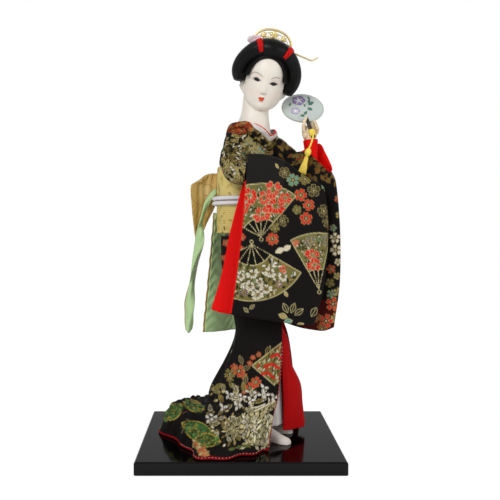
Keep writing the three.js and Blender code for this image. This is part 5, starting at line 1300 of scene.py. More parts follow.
SIDE_FAN = ((312.5, 255, 7.5, RED), (314, 265, 7, RED), (310, 241, 6, "#5d6a60"), (296, 243, 3.5, RED),
            (326, 240, 5, "#5d6a60"))
OPEN_FANS = (((261, 237.5), 100, 50, 19.5, 54, "#6f6b3a", UPPER_FAN, 6, CREAM, 3),
             ((251.6, 244), -90, 60, 21.5, 57, "#7d733c", LOWER_FAN, 6, "#efe8d2", 5, 1.35),
             ((319, 290), 99, 20.7, 21, 57, "#77733f", SIDE_FAN, 4, CREAM, 7))
ARM_BOX = ((217, 248), (126, 193))
PAINTED_SHEEN_SPOT, PAINTED_SHEEN_HALF = (265, 169), (19.5 * PIXEL, 15 * PIXEL)
pocket = sleeve_grid(RIGHT_FRONT, RIGHT_BACK, 0.0, 180, 235, RIGHT_EDGES)
arm = arm_tube(RIGHT_ARM, [8.4, 8.8, 9.2, 8.6, 7])
near_sleeve = sleeve_object("brocade_sleeve_right", pocket, arm, True, False)
loom = sleeve_loom(pocket, arm)
loom.scatter((REAR_START, REAR_START + 80), (-60, 70), 7.5, seed=8)
loom.scatter((ARM_START, ARM_START + 70), (-70, 0), 5.5, seed=14)
strew(loom, 75, *ARM_BOX, (5.5, 9.5), (2.2, 3.8), ANY_TURN, DARK_LEAVES, LEAF_LINES, 0.3, 0.2)
set_sprays(loom, SLEEVE_SPRAYS, 11)
strew(loom, 90, *ARM_BOX, *SPECK_SIZE, ANY_TURN, SPECKS, "#1c190f", 0.2)
# A lighter, plain patch above the upper fan is painted sheen on the black ground. It covers the figures laid
# before it.
sheen_patch_x, sheen_patch_y = card(*PAINTED_SHEEN_SPOT)
plain = np.maximum(np.abs(loom.x - sheen_patch_x) - PAINTED_SHEEN_HALF[0], np.abs(loom.y - sheen_patch_y) - PAINTED_SHEEN_HALF[1])
loom.lay(plain, "#1f1d1b", 0.0)
for u, v, radius, code in SLEEVE_BLOSSOMS:
    inside, line = ("#1d1a14", "#b9a76a") if code == GOLD else (code, GOLD)
    loom.petals(*card(u, v), radius * PIXEL, inside, 5, u * 13 + v, line, PALE_GOLD, 1.15)
for u, v, long, wide, turn, code in SLEEVE_LEAVES:
    inside = "#2a2619" if code == PALE_GOLD else code
    loom.leaf(*card(u, v), long * PIXEL, wide * PIXEL, turn, inside, PALE_GOLD)
for pivot, turn, spread, inner, outer, *leaf in OPEN_FANS:
    loom.open_fan(*card(*pivot), turn, spread, inner * PIXEL, outer * PIXEL, *leaf)
woven(near_sleeve, loom)
dress(near_sleeve, "figure", "sleeve_right", slot="black_brocade")
print("near sleeve vertices:", len(near_sleeve.data.vertices))

# %% [markdown]
# The linings are the same bags, a little smaller. Each comes out by about a millimetre at its open
# edge, as a lining does that is sewn a touch larger than the cloth.
# %% Red linings
LINING_COLUMNS, LINING_ROWS, LINING_INSET = 60, 120, 0.7


def show_at_side(grid, reach):
    grid[:3] -= np.array([1.2, 0.8, 0.4])[:, None, None] * [0, 0, 1]
    shown = -3.0 + (reach + 3.0) * smoothstep(shares(LINING_ROWS), 0.27, 0.34)[:, None]
    for first, step in ((0, 1), (-1, -1)):
        away = grid[:, first] - grid[:, first + 4 * step]
        away = away / np.linalg.norm(away, axis=1, keepdims=True)
        for k in range(4):
            grid[:, first + k * step] += (1 - k / 4) * shown * away


def show_at_top(grid, reach):
    for row, (sideways, up) in enumerate(((0.8, 1.0), (0.5, 0.7), (0.2, 0.4))):
        grid[row, LINING_COLUMNS:] += [sideways * reach, 0, up * reach]


def lining(name, front_rows, back_rows, edges, open_left, open_top, reach, node):
    grid = sleeve_grid(front_rows, back_rows, LINING_INSET, LINING_COLUMNS, LINING_ROWS, edges)
    if open_left:
        show_at_side(grid, reach)
    if open_top:
        show_at_top(grid, reach)
    made = bag_object(name, grid, red_silk, open_left, open_top)
    thicken(made, 0.4)
    dress(made, "figure", node, slot="red_silk")


lining("red_lining_right", RIGHT_FRONT, RIGHT_BACK, RIGHT_EDGES, True, False, 0.8, "sleeve_right_lining")
print("near lining sewn")

# %% [markdown]
# The far sleeve hangs from the raised arm and opens upwards. Only a strip of it is seen beside the
# near one. A red cuff of the under kimono stands round the wrist.
# %% Far sleeve and cuff
FAR_LEAVES = ["#6e3a1c", BRICK, "#5a4320", OLD_GOLD, "#3a2416", "#7c5a24"]
FAR_BOX, GLOW_SPOT = ((280, 345), (138, 185)), (320, 316)
FAR_BLOSSOMS = (
    (335, 238, 6, CREAM), (336, 250, 6.5, CREAM), (333, 228, 4, TEAL), (338, 262, 4, CREAM),
    (331, 269, 5, RED), (337, 276, 4, GOLD), (330, 283, 5, OLIVE), (338, 292, 5, GOLD),
    (333, 304, 8, RED), (340, 309, 6, RED), (326, 321, 8, RED), (317, 318, 5, BRICK),
    (336, 318, 6, GOLD), (331, 294, 5, TEAL), (322, 329, 6, BRICK), (339, 215, 4, GOLD),
    (338, 199, 4, RED))
pocket = sleeve_grid(LEFT_FRONT, LEFT_BACK, 0.0, 130, 250, LEFT_EDGES)
arm = arm_tube(LEFT_ARM, [8.4, 8.8, 8.4, 6.4, 4.2])
far_sleeve = sleeve_object("brocade_sleeve_left", pocket, arm, False, True)
loom = sleeve_loom(pocket, arm)
loom.scatter((REAR_START, REAR_START + 85), (-60, 75), 7.0, seed=21)
loom.scatter((ARM_START, ARM_START + 60), (-60, 0), 5.5, seed=24)
strew(loom, 160, *FAR_BOX, (2.5, 4.5), (1.2, 2.2), ANY_TURN, FAR_LEAVES, "#7a6230")
glow_x, glow_y = card(*GLOW_SPOT)
loom.lay((np.hypot((loom.x - glow_x) / 16, (loom.y - glow_y) / 11) - 1) * 9, "#4a100d", 0.0)
set_blossoms(loom, FAR_BLOSSOMS, 3, 1)
woven(far_sleeve, loom)
dress(far_sleeve, "figure", "sleeve_left", slot="black_brocade")
lining("red_lining_left", LEFT_FRONT, LEFT_BACK, LEFT_EDGES, False, True, 1.2, "sleeve_left_lining")

CUFF_PATH = below(SHOULDER, [[(50.2, -8.5, 11), (49.9, -8.6, 4), (49.4, -8.7, -3.6)]])[0]
t = shares(40)
ruffle = 0.16 * np.sin(5 * full_turn(48)) * t[:, None]
cuff_radius = curve([[3.6], [4.0], [4.6]], t) + ruffle - 0.1
cuff = into(FIGURE, tube(curve(CUFF_PATH, t), cuff_radius, 48))
wrist_cuff = grid_object("red_wrist_cuff", cuff, red_silk, round_=True, flip=True)
thicken(wrist_cuff, 0.6)
dress(wrist_cuff, "figure", "under_sleeve_left", slot="red_silk")
print("sleeves hung")

# %% [markdown]
# The skirt wraps the hips, opens over the shin and spreads into a train that lies on the board. It is
# one surface from the near front edge round the back to the far front edge, with folds that deepen
# towards the hem. More columns are spent on the side that is seen.
# %% Skirt shape
HEM_LIFT, SKIRT_TOP_ROW = 2.1, 24
WAIST_RINGS = ((5, 2, 149, 18.0, 14.0, 40), (5, 2, 136, 18.0, 14.0, 40), (7, 1.5, HIP, 19.5, 15.9, 42),
               (11.5, 0.5, THIGH, 19.3, 16.5, 48))
SKIRT_ROWS = [
    *[oval(*ring, -16, 372, 9, 1.6) for ring in WAIST_RINGS],
    oval(17, 0, 71, 20, 19, 65, 24, 316, 9),
    level(36, [(26, -23), (14, -27), (0, -24), (-13, -14), (-19, 0), (-13, 16), (3, 24), (22, 24), (41, 13)]),
    level(23, [(22.5, -27), (9, -32), (-6, -30.5), (-17, -18), (-23.5, 0), (-18, 19), (1, 28), (22, 27.5),
               (42, 15)]),
    [(20.5, -30, 12), (3, -37, 10.5), (-17, -38, 12), (-34, -22, 15), (-47, 3, 19), (-39, 24, 16),
     (-12, 34.5, 12), (18, 31.5, 12), (44, 18, 12)],
    level(HEM_LIFT, [(19, -32), (0, -42), (-24, -47.5), (-37, -25), (-57, 6), (-47, 31), (-16, 41), (18, 36),
                     (46, 21)])]


def skirt_sheet(u, v, depth, fine=0.0):
    flat = surface(SKIRT_ROWS, u, v)
    along = surface(SKIRT_ROWS, np.minimum(u + 0.01, 1), v) - surface(SKIRT_ROWS, np.maximum(u - 0.01, 0), v)
    out = np.stack([along[..., 1], -along[..., 0], 0 * along[..., 0]], 2)
    out /= np.linalg.norm(out, axis=2, keepdims=True)
    u, v = u[None, :], v[:, None]
    fold = 1.5 * np.maximum(0, (v - 0.45) / 0.55) * np.sin(20 * np.pi * u)
    drag = fine * smoothstep(v, 0.3, 0.7) * np.sin(2 * np.pi * (17 * u + 2.2 * v) + 2 * np.sin(9 * u))
    grid = flat + (fold + drag)[..., None] * out
    x, y = grid[..., 0], grid[..., 1]
    crush = np.sin(0.42 * x + 0.2 * y) * np.sin(0.16 * x - 0.4 * y + 1) + 0.5 * np.sin(0.9 * x - 0.35 * y)
    train = smoothstep(-x, 8, 24) * smoothstep(v, 0.72, 0.84) * (1 - smoothstep(v, 0.94, 1.0))
    return grid + (depth + 1.5 * train * crush)[..., None] * normals(grid)


probe = skirt_sheet(shares(60), shares(400), 0.9)
length = run_along(probe[:, :35], 0).mean(1)


def even_rows(count):
    """Shares down the skirt that are evenly spaced along the cloth."""
    return np.interp(np.linspace(length[SKIRT_TOP_ROW], length[-1], count), length, shares(400))


skirt_columns = np.concatenate([np.linspace(0, 0.46, 300), np.linspace(0.46, 1, 111)[1:]])
skirt = into(FIGURE, skirt_sheet(skirt_columns, even_rows(235), 0.95, 0.25))
print("skirt is", round(length[-1]), "mm long; grid", skirt.shape[:2])

# %% [markdown]
# The skirt's figures were read in the picture too: a gold patch with red strokes, blossoms and leaves
# round it, cream flowers with long stems, a chrysanthemum at the hem and green leaves on the train.
# Away from the camera sprigs are scattered on the cloth, measured round from two seams.
# %% Skirt figures
PATCH_MIDDLE, PATCH_BOX = (270, 364), ((252, 284), (343, 386))
PATCH_CORNERS = ((252, 365.7), (282, 342.3), (287, 363.4), (274.3, 385))
PATCH_SPECKS = [CREAM, PALE_GOLD, "#4a4524", RED, GOLD]
PATCH_STROKES = (((265, 366), (272, 364), (279, 368)), ((262, 374), (268, 373), (274, 378)),
                 ((272, 357), (277, 354), (281, 358)))
SKIRT_BLOSSOMS = (
    (238.7, 371, 7, RED), (244, 376, 4, RED), (234, 367, 4, RED), (256, 382, 6, RED), (249.8, 388, 6.5, RED),
    (253, 357.5, 3, RED), (258.7, 354.6, 3, RED), (249.8, 363.4, 3, RED), (244, 392, 2.6, RED),
    (229.8, 374, 6, OLIVE), (230, 379, 4, OLD_GOLD))
SKIRT_LEAVES = (
    (246.5, 368, 30, "#2a2a26"), (233, 386, 150, OLIVE), (245.5, 380, 75, "#3b3d36"), (218.7, 386, 20, OLIVE),
    (216.5, 391, 160, OLIVE), (241, 360, 110, "#3b3d36"), (243.5, 387, 100, OLD_GOLD),
    (236, 390, 60, OLD_GOLD), (221, 398, 120, OLD_GOLD), (268, 350, 60, "#20201c"))
SKIRT_BLACK = "#14110f"
SPECK_BOX, LEAF_BOX, PETAL_BOX = ((206, 276), (388, 446)), ((208, 274), (386, 440)), ((241, 273), (413, 448))
BACK_COLUMN, FAR_COLUMN, SEAM_START = 330, 365, 600
HEM_SPECKS = [CREAM, PALE_GOLD, GOLD, OLD_GOLD, SKIRT_BLACK, SKIRT_BLACK]
HEM_LEAVES = [SKIRT_BLACK, SKIRT_BLACK, "#3d3b1f"]
CREAM_FLOWERS = ((228.7, 394.5), (242, 397), (251, 400), (264, 388), (256.5, 394.5), (265.5, 394.5),
                 (209, 419), (213, 417), (223, 407), (237.6, 406), (274, 397))
LONG_STEM = ((246, 416), (260, 408.5), (274.5, 401))
BENT_STEM = ((249.8, 401), (252, 408), (258, 407), (265, 404))
GOLD_STEM = ((262, 414), (268, 407), (274, 402))
LIGHT_PETALS = [PALE_GOLD, CREAM, "#d9cf9c", "#efe6c0"]
GREEN_LEAVES = ((199, 432, 40, 19, -28), (172, 412, 26, 15, 33), (194, 406, 22, 11, -20),
                (208, 440, 26, 13, -8))
GREEN_SPECKS = ["#6cae57", "#2f8058", "#b89c44", "#1b3a2a", SKIRT_BLACK]
TRAIN_SPECKS = [RED, GOLD, PALE_GOLD, ROSE]
HEM_SPRIGS = ((239, 447), (246, 446), (232, 449))
WAIST_BLOSSOMS = ((226, 243, 4, RED), (230, 252, 3.5, CREAM), (224, 258, 3.5, RED), (228, 266, 3, GOLD),
                  (232, 275, 3, RED))


def gold_patch(loom):
    near = loom.close_to(*card(*PATCH_MIDDLE), 30)
    inside = np.full(near.size, -1e9)
    for corner, following in zip(PATCH_CORNERS, PATCH_CORNERS[1:] + PATCH_CORNERS[:1]):
        (ax, ay), (bx, by) = card(*corner), card(*following)
        long = math.hypot(bx - ax, by - ay)
        beyond = (loom.x[near] - ax) * (by - ay) - (loom.y[near] - ay) * (bx - ax)
        inside = np.maximum(inside, beyond / -long)
    loom.lay(inside - 0.3, PALE_GOLD, 0.9, near)
    loom.lay(inside + 0.3, "#7a7038", 0.7, near)
    strew(loom, 300, *PATCH_BOX, 3.0, 1.1, (30, 90), PATCH_SPECKS, "#5d5428",
          within=lambda u, v: abs(v - 365) < 0.72 * (u - 254))
    for stroke in PATCH_STROKES:
        draw(loom, stroke, 1.5, RED, 0.0)


def cream_flowers(loom):
    for u, v in CREAM_FLOWERS:
        for k in range(3):
            spot = card(u + 2.6 * math.cos(2 * k), v + 2.6 * math.sin(2 * k))
            loom.leaf(*spot, 5 * PIXEL, 2.8 * PIXEL, -115 * k, "#f2ecdc", "#2b2418", 0.1)
    draw(loom, LONG_STEM, 0.8, CREAM, 0.4)
    draw(loom, BENT_STEM, 0.8, CREAM, 0.2)
    draw(loom, GOLD_STEM, 0.6, PALE_GOLD, 0.4)


def green_leaf(loom, u, v, long, wide, turn):
    c, s = math.cos(math.radians(-turn)), math.sin(math.radians(-turn))

    def on_leaf(along, side):
        return card(u + along * long * c - side * wide * s, v + along * long * s + side * wide * c)

    loom.leaf(*card(u, v), long * PIXEL, wide * PIXEL, turn, "#3a6a36", "#c9a544", 0.3, 0.3)
    strew(loom, 90, (-0.4, 0.4), (-0.3, 0.3), 2.4, 0.9, ANY_TURN, GREEN_SPECKS, "#57602c", 0.3, place=on_leaf)


def train_specks(loom):
    for _ in range(70):
        t = random.uniform(0, 1)
        spot = card(194 + 15 * t + random.uniform(-4, 3), 443 + 15 * t + random.uniform(-3, 2))
        loom.leaf(*spot, 2.4, 1.0, random.uniform(*ANY_TURN), TRAIN_SPECKS[random.integers(4)], GOLD)


print("figures of the skirt:", len(SKIRT_BLOSSOMS) + len(SKIRT_LEAVES) + len(CREAM_FLOWERS))

# %% [markdown]
# The loom lays them in order, the later over the earlier. A red silk lining follows the cloth inside.
# %% Skirt brocade
skirt_cloth = grid_object("brocade_skirt", skirt, kimono_brocade)
x, y = seen(skirt)
front = facing(skirt, normals(skirt)) > 0.2
round_run = run_along(skirt, 1)
seam = np.where(np.arange(skirt.shape[1]) < FAR_COLUMN, BACK_COLUMN, skirt.shape[1] - 1)
round_mm = (round_run - round_run[:, seam]).ravel() + SEAM_START
loom = Loom(np.where(front, x, round_mm), np.where(front, y, cloth_uv(skirt)[:, 1]), BLACK_GROUND)
loom.scatter((SEAM_START - 200, SEAM_START + 180), (-175, 0), 8.5, seed=33)
gold_patch(loom)
set_blossoms(loom, SKIRT_BLOSSOMS, 9)
for u, v, turn, code in SKIRT_LEAVES:
    loom.leaf(*card(u, v), 9 * PIXEL, 4 * PIXEL, turn, code, GOLD)
strew(loom, 120, *SPECK_BOX, (2.4, 4.2), (1.0, 1.7), ANY_TURN, HEM_SPECKS, "#3b3320", 0.3)
strew(loom, 60, *LEAF_BOX, (3.6, 5.6), (1.8, 2.6), ANY_TURN, HEM_LEAVES, [GOLD, PALE_GOLD, "#e6dcb8"], 0.3)
cream_flowers(loom)
loom.spray(*card(235, 427), 7.5, 9, 20, "#1a1712", PALE_GOLD)
loom.chrysanthemum(*card(257, 429), 17 * PIXEL, 18)
strew(loom, 80, *PETAL_BOX, (4, 7), (1.3, 2.1), (20, 150), LIGHT_PETALS, "#2b2416", 0.5, 0.15)
for leaf in GREEN_LEAVES:
    green_leaf(loom, *leaf)
train_specks(loom)
for u, v in HEM_SPRIGS:
    loom.leaf(*card(u, v), 4.5, 1.6, 12, "#4c6a3a", OLD_GOLD)
set_blossoms(loom, WAIST_BLOSSOMS, 0, 5)
woven(skirt_cloth, loom)
dress(skirt_cloth, "figure", "kimono_skirt", slot="black_brocade")

inner = into(FIGURE, skirt_sheet(shares(260), even_rows(150), 0.1))
skirt_lining = grid_object("red_skirt_lining", inner, red_silk, flip=True)
dress(skirt_lining, "figure", slot="red_silk")
print("skirt woven and lined")

# %% [markdown]
# The hem is piped in red, and the piping runs up the front edge as well. Pale stitches show along it.
# Stitches repeat along a path, which is what Geometry Nodes is for: a curve is resampled by length,
# and a small bead is set at each point.
# %% Piped hem
HEM_COUNT, FRONT_COUNT, STITCH_STEP, BEAD_FACES = 500, 160, 2.2, 80
edge = skirt_sheet(shares(HEM_COUNT), np.array([0.98, 1.0]), 0.5)[1]
hem_path = np.stack([edge[:, 0], edge[:, 1], np.full(HEM_COUNT, 1.15)], 1)
front_path = skirt_sheet(np.array([0.0, 0.002]), np.linspace(0.5, 1.0, FRONT_COUNT), 0.7)[:, 0]


def piping(name, path, radius, sides):
    grid = into(FIGURE, tube(path, np.full(len(path), radius), sides))
    return grid_object(name, grid, dark_red_silk, round_=True, flip=True, caps=BOTH_ENDS)


def bead_group(name, finish):
    group = bpy.data.node_groups.new(name + "_along_a_path", "GeometryNodeTree")
    group.interface.new_socket("Path", in_out="INPUT", socket_type="NodeSocketGeometry")
    sizes = [group.interface.new_socket(size, in_out="INPUT", socket_type="NodeSocketFloat").identifier
             for size in ("Spacing", "Length", "Thickness")]
    group.interface.new_socket("Beads", in_out="OUTPUT", socket_type="NodeSocketGeometry")
    enter, leave = add(group, "NodeGroupInput"), add(group, "NodeGroupOutput")
    spots = add(group, "GeometryNodeResampleCurve", {"mode": "LENGTH"},
                {"Curve": enter.outputs["Path"], "Length": enter.outputs["Spacing"]})
    bead = add(group, "GeometryNodeMeshIcoSphere", None, {"Radius": 0.5, "Subdivisions": 2})
    lie = add(group, "GeometryNodeInputTangent")
    turn = add(group, "FunctionNodeAlignRotationToVector", {"axis": "X"}, {"Vector": lie.outputs[0]})
    long, thick = enter.outputs["Length"], enter.outputs["Thickness"]
    size = add(group, "ShaderNodeCombineXYZ", None, {"X": long, "Y": thick, "Z": thick})
    put = add(group, "GeometryNodeInstanceOnPoints", None,
              {"Points": spots.outputs[0], "Instance": bead.outputs[0], "Rotation": turn.outputs[0],
               "Scale": size.outputs[0]})
    real = add(group, "GeometryNodeRealizeInstances", None, {"Geometry": put.outputs[0]})
    dyed = add(group, "GeometryNodeSetMaterial", None, {"Geometry": real.outputs[0], "Material": finish})
    group.links.new(dyed.outputs[0], leave.inputs[0])
    return group, sizes


def along_path(name, path_mm, sizes_mm, finish):
    """Beads at equal steps along a path, as a plain mesh."""
    line = bpy.data.curves.new(name + "_path", "CURVE")
    line.dimensions = "3D"
    spline = line.splines.new("POLY")
    spline.points.add(len(path_mm) - 1)
    spline.points.foreach_set("co", np.concatenate([path_mm * MM, np.ones((len(path_mm), 1))], 1).ravel())
    carrier = linked(name + "_path", line)
    modifier = carrier.modifiers.new("beads", "NODES")
    modifier.node_group, sizes = bead_group(name, finish)
    for identifier, size_mm in zip(sizes, sizes_mm):
        modifier[identifier] = size_mm * MM
    return linked(name, settled_mesh(carrier))


dress(piping("red_hem_piping", hem_path, 0.85, 16), "figure", "hem_piping", slot="red_silk")
dress(piping("red_front_piping", front_path, 0.45, 14), "figure", slot="red_silk")
outward = np.stack([-np.gradient(hem_path[:, 1]), np.gradient(hem_path[:, 0]), np.zeros(HEM_COUNT)], 1)
outward /= np.linalg.norm(outward, axis=1, keepdims=True)
outward *= -np.sign(outward[40, 1])
hem_line = into(FIGURE, hem_path + [0, 0, 0.72] + 0.55 * outward)[8:190]
stitches = along_path("hem_stitches", hem_line, (STITCH_STEP, 0.7, 0.36), white_cotton)
dress(stitches, "figure", slot="white_cotton")
front_line = into(FIGURE, front_path + [0.25, -0.4, 0])[6:-4]
front_stitches = along_path("front_stitches", front_line, (STITCH_STEP, 0.6, 0.3), white_cotton)
dress(front_stitches, "figure", slot="white_cotton")
print("stitches:", (len(stitches.data.polygons) + len(front_stitches.data.polygons)) // BEAD_FACES)

# %% [markdown]
# Two under-skirts show at the open front: a white one and, over it, the red panel of the under kimono.
# %% Under-skirts
WHITE_RINGS = ((18, -0.3, 72, 9.2, 9.2, 0), (20, -1.5, 40, 10.4, 12.2, 0), (21, -2.5, 11, 10.8, 14.2, 0))
white = curve(np.stack([oval(*ring, 0, 360, 121)[:-1] for ring in WHITE_RINGS]), shares(70))
middle = white.mean(1, keepdims=True)
fold = 1 + 0.028 * shares(70)[:, None] * np.sin(11 * full_turn(120) + 1)
white = into(FIGURE, middle + (white - middle) * np.stack([fold, fold, 1 + 0 * fold], 2))
white_skirt = grid_object("white_under_skirt", white, white_cotton, round_=True)
thicken(white_skirt, 0.6)
dress(white_skirt, "figure", "under_skirt_white", slot="white_cotton")

RED_ROWS = [oval(16, 0, 80, 15.0, 13.5, 65, 40, -64, 5),
            level(69, [(29.6, -11), (33.4, -7.5), (35.2, -1.8), (32.4, 3.4), (28.4, 8)]),
            level(52, [(30.2, -12), (35.2, -8.2), (37.9, -0.6), (35.2, 5.4), (30.6, 10.6)]),
            level(36, [(30.8, -12.5), (39, -8.6), (45.2, 1.6), (41.2, 8.8), (33.8, 14.2)]),
            level(22, [(30.7, -12.5), (40.4, -8.4), (46.8, 2.8), (42.6, 10.4), (35, 16.4)]),
            [(30.6, -12.5, 6.8), (41.5, -7.5, 6.2), (48.7, 4, 6), (44.5, 12.5, 6), (36.5, 19, 6)]]
red = surface(RED_ROWS, shares(90), shares(120))
u, v = shares(90)[None, :], shares(120)[:, None]
ripple = 0.9 * v * np.sin(7 * np.pi * u)
ripple = ripple + 0.25 * smoothstep(v, 0.2, 0.8) * np.sin(2 * np.pi * (5 * u + 1.4 * v))
red = into(FIGURE, red + ripple[..., None] * [0.94, -0.34, 0] + 0.5 * normals(red) * [1, 1, 0])
red_panel = grid_object("red_under_skirt", red, under_skirt_silk)
thicken(red_panel, 0.8, 0.0)
dress(red_panel, "figure", "under_skirt_red", slot="red_silk")
print("skirts hung")

# %% [markdown]
# The head is an egg of bisque with a small nose, full cheeks and a soft chin. Rings of points from chin
# to crown are joined by smooth lines, and the features are raised and sunk on that egg. It is a doll's
# face after an old pattern: narrow eyes, thin arched brows and a small red mouth.
# %% Face shape
HALF_WIDE, HALF_DEEP, CHIN, CROWN = 13.8, 17.0, 19.0, 22.0
SECTIONS = [(-1, 0.3, -0.6, 0.18), (-0.87, 0.62, -0.44, 0.4), (-0.64, 0.87, -0.23, 0.65),
            (-0.32, 0.98, -0.06, 0.87), (0, 1, 0.03, 0.98), (0.36, 1, 0.07, 1.02),
            (0.68, 0.87, 0.09, 0.88), (0.9, 0.58, 0.12, 0.58), (1.02, 0.18, 0.12, 0.2)]
front_turn = np.linspace(-75, 75, 240)
back_turn = np.linspace(75, 285, 80)[1:-1]
head_turns = np.radians(np.concatenate([front_turn, back_turn]))
rings = []
for rise, wide, shift, deep in SECTIONS:
    side = -wide * HALF_WIDE * np.sin(head_turns)
    depth = shift * HALF_DEEP - deep * HALF_DEEP * np.cos(head_turns)
    rings.append(np.stack([side, depth, np.full(head_turns.size, rise * (CHIN if rise < 0 else CROWN))], 1))
egg = curve(np.stack(rings), shares(250))


def bump_at(x, z, wide, tall):
    """A soft hill on the front of the egg."""
    hill = np.exp(-((egg[..., 0] - x) / wide) ** 2 - ((egg[..., 2] - z) / tall) ** 2)
    return hill * (egg[..., 1] < 0)


def on_face(u, v):
    """The place on the egg that is seen at one pixel, as x and z in the head's own frame."""
    sx, sy = seen(into(SKULL, egg))
    far = np.hypot(sx - card(u, v)[0], sy - card(u, v)[1]) + 100 * (egg[..., 1].ravel() > 0)
    best = egg.reshape(-1, 3)[far.argmin()]
    return best[0], best[2]


EYES = on_face(257.3, 79.3), on_face(273.6, 84.0)
nose_x, nose_z = on_face(263.4, 92.3)
mouth_x, mouth_z = on_face(261.4, 98.8)
fall = -egg[..., 2]
bridge = smoothstep(fall, -(nose_z + 11), -(nose_z + 0.5))
bridge = bridge * (1 - smoothstep(fall, 0.4 - nose_z, 2.0 - nose_z))
lift = 1.35 * bridge * dent(egg[..., 0], nose_x * 0.9, 0.95 + 0.75 * bridge) * (egg[..., 1] < 0)
for side in (-1, 1):
    lift += 0.14 * bump_at(nose_x + side * 1.2, nose_z + 0.1, 0.8, 0.9)
    lift += 0.5 * bump_at(mouth_x + side * 7.5, mouth_z + 1.5, 4.2, 4.6)
for eye_x, eye_z in EYES:
    lift -= 0.4 * bump_at(eye_x, eye_z + 0.6, 3.4, 2.0)
    lift += 0.25 * bump_at(eye_x, eye_z + 0.2, 2.5, 0.9)
LIPS_AND_CHIN = ((0.55, 0.7, 1.9, 0.75), (0.6, -1.0, 1.5, 0.8), (-0.28, -0.15, 2.2, 0.28),
                 (-0.3, -2.6, 2.0, 0.9), (-0.2, 2.2, 0.7, 1.1), (0.5, -5.6, 2.6, 2.2))
for height, above, wide, tall in LIPS_AND_CHIN:
    lift += height * bump_at(mouth_x, mouth_z + above, wide, tall)
face = egg - lift[..., None] * normals(egg)
print("nose at", np.round((nose_x, nose_z), 1), "eyes at", np.round(EYES, 1).tolist())

# %% [markdown]
# Neck and ears belong to the same casting. The neck is turned from a profile, and each ear is a small
# shell with a rim.
# %% Neck and ears
NECK_PROFILE = [(12.4, 0.4), (12.7, 2), (11.4, 8), (9.95, 14), (9.4, 19), (9.4, 24), (9.4, 30)]
neck_points = into(NECK, lathe(curve(NECK_PROFILE, shares(70)), 120))
face_points = into(SKULL, face)


def ear(side):
    a, b = np.meshgrid(full_turn(40), np.linspace(-np.pi / 2, np.pi / 2, 30))
    deep = 2.6 * np.cos(b) * np.cos(a) * (1.05 + 0.15 * np.sin(b))
    tall = 4.3 * np.sin(b)
    flat = 1.3 * np.cos(b) * np.sin(a) * side
    flare = side * (0.9 * HALF_WIDE + 0.75 * (deep + 3.0) * smoothstep(tall, -5.5, 1.0))
    hollow = np.exp(-((deep - 0.2) / 1.2) ** 2 - ((tall - 0.6) / 1.8) ** 2) * 0.9 * side * (np.sin(a) > 0)
    return into(SKULL, np.stack([flare + flat - hollow, 2.6 + deep + 0.3 * np.abs(flat), -6.4 + tall], 2))


head_parts = [(face_points, True, BOTH_ENDS), (neck_points, False, ("first",)), (ear(-1), False, ()),
              (ear(1), True, ())]
points, faces = joined(head_parts)
doll_head = make_object("bisque_head", points, faces, bisque)
print("head vertices:", len(points))

# %% [markdown]
# All is painted in one go: a white ground, a breath of pink on the cheeks, and the features drawn with
# a fine brush where the picture shows them.
# %% Painted face
CHEEKS = ((253, 91), (275, 96))
LID_SHADES = ((257, 78), (274, 82.5))
EYE_OUTLINES = (((252.2, 78.5), (256.6, 77.5), (261.4, 81.0), (257.0, 81.3), (257.0, 79.5), 3.1),
                ((269.0, 83.9), (273.5, 82.5), (278.2, 84.5), (273.6, 85.9), (273.6, 84.2), 3.2))
LID_FOLD, BROW, NOSTRIL = (0.3, "#d3c4bc"), (1.5, "#c6bbae"), (0.45, "#dcbdb2")
FINE_LINES = ((((251.6, 76.6), (255.6, 75.8), (260.6, 78.4)), LID_FOLD),
              (((269.6, 82.2), (274, 81.0), (278.6, 82.4)), LID_FOLD),
              (((251, 73.4), (254.5, 72.2), (259, 73.6), (262.8, 76.9)), BROW),
              (((271.3, 79.2), (274.6, 77.7), (277.6, 77.6), (280.4, 78.6)), BROW),
              (((261.0, 93.2), (261.7, 93.5)), NOSTRIL), (((264.6, 93.6), (265.2, 93.4)), NOSTRIL))
MOUTH_SPOT, MOUTH_LEAN = (261.3, 98.9), math.radians(-6)
x, y = seen(points)
toward = np.zeros(len(points), bool)
toward[:face_points.shape[0] * face_points.shape[1]] = facing(face_points, -normals(face_points)) > 0.05
loom = Loom(np.where(toward, x, -900), y, "#f3ebde", 0.0, 0.12)


def from_spot(u, v, wide=1.0, tall=1.0):
    """Distances of all vertices from one pixel, in shares of a width and a height in pixels."""
    return (loom.x - card(u, v)[0]) / (wide * PIXEL), (loom.y - card(u, v)[1]) / (tall * PIXEL)


def soft(u, v, wide, tall, code, strength):
    dx, dy = from_spot(u, v, wide, tall)
    mist = strength * np.exp(-dx ** 2 - dy ** 2)
    loom.colour += (linear(code) - loom.colour) * mist[:, None]


def brush(places, wide, code):
    line = curve([card(*p) for p in places], shares(24))
    for k, (p, q) in enumerate(zip(line[:-1], line[1:])):
        thin = wide * PIXEL * (0.45 + 0.55 * math.sin(math.pi * (k + 1) / 24))
        loom.stroke([tuple(p), tuple(q)], thin, code, 0.0)


def painted_eye(left, top, right, low, pupil, half):
    upper = curve([card(*left), card(*top), card(*right)], shares(40))
    lower = curve([card(*left), card(*low), card(*right)], shares(40))
    order = np.argsort(upper[:, 0])
    high_y = np.interp(loom.x, upper[order, 0], upper[order, 1], left=-1e3, right=-1e3)
    low_y = np.interp(loom.x, lower[order, 0], lower[order, 1], left=1e3, right=1e3)
    almond = np.maximum(loom.y - high_y, low_y - loom.y)
    loom.lay(almond, "#ebe4dc")
    ball = (np.hypot(*from_spot(*pupil, half, half * 0.75)) - 1) * half * PIXEL
    loom.lay(np.maximum(ball, almond), "#070606")
    brush([left, top, right], 0.72, "#0e0b0b")
    brush([left, low, right], 0.3, "#9a8a80")


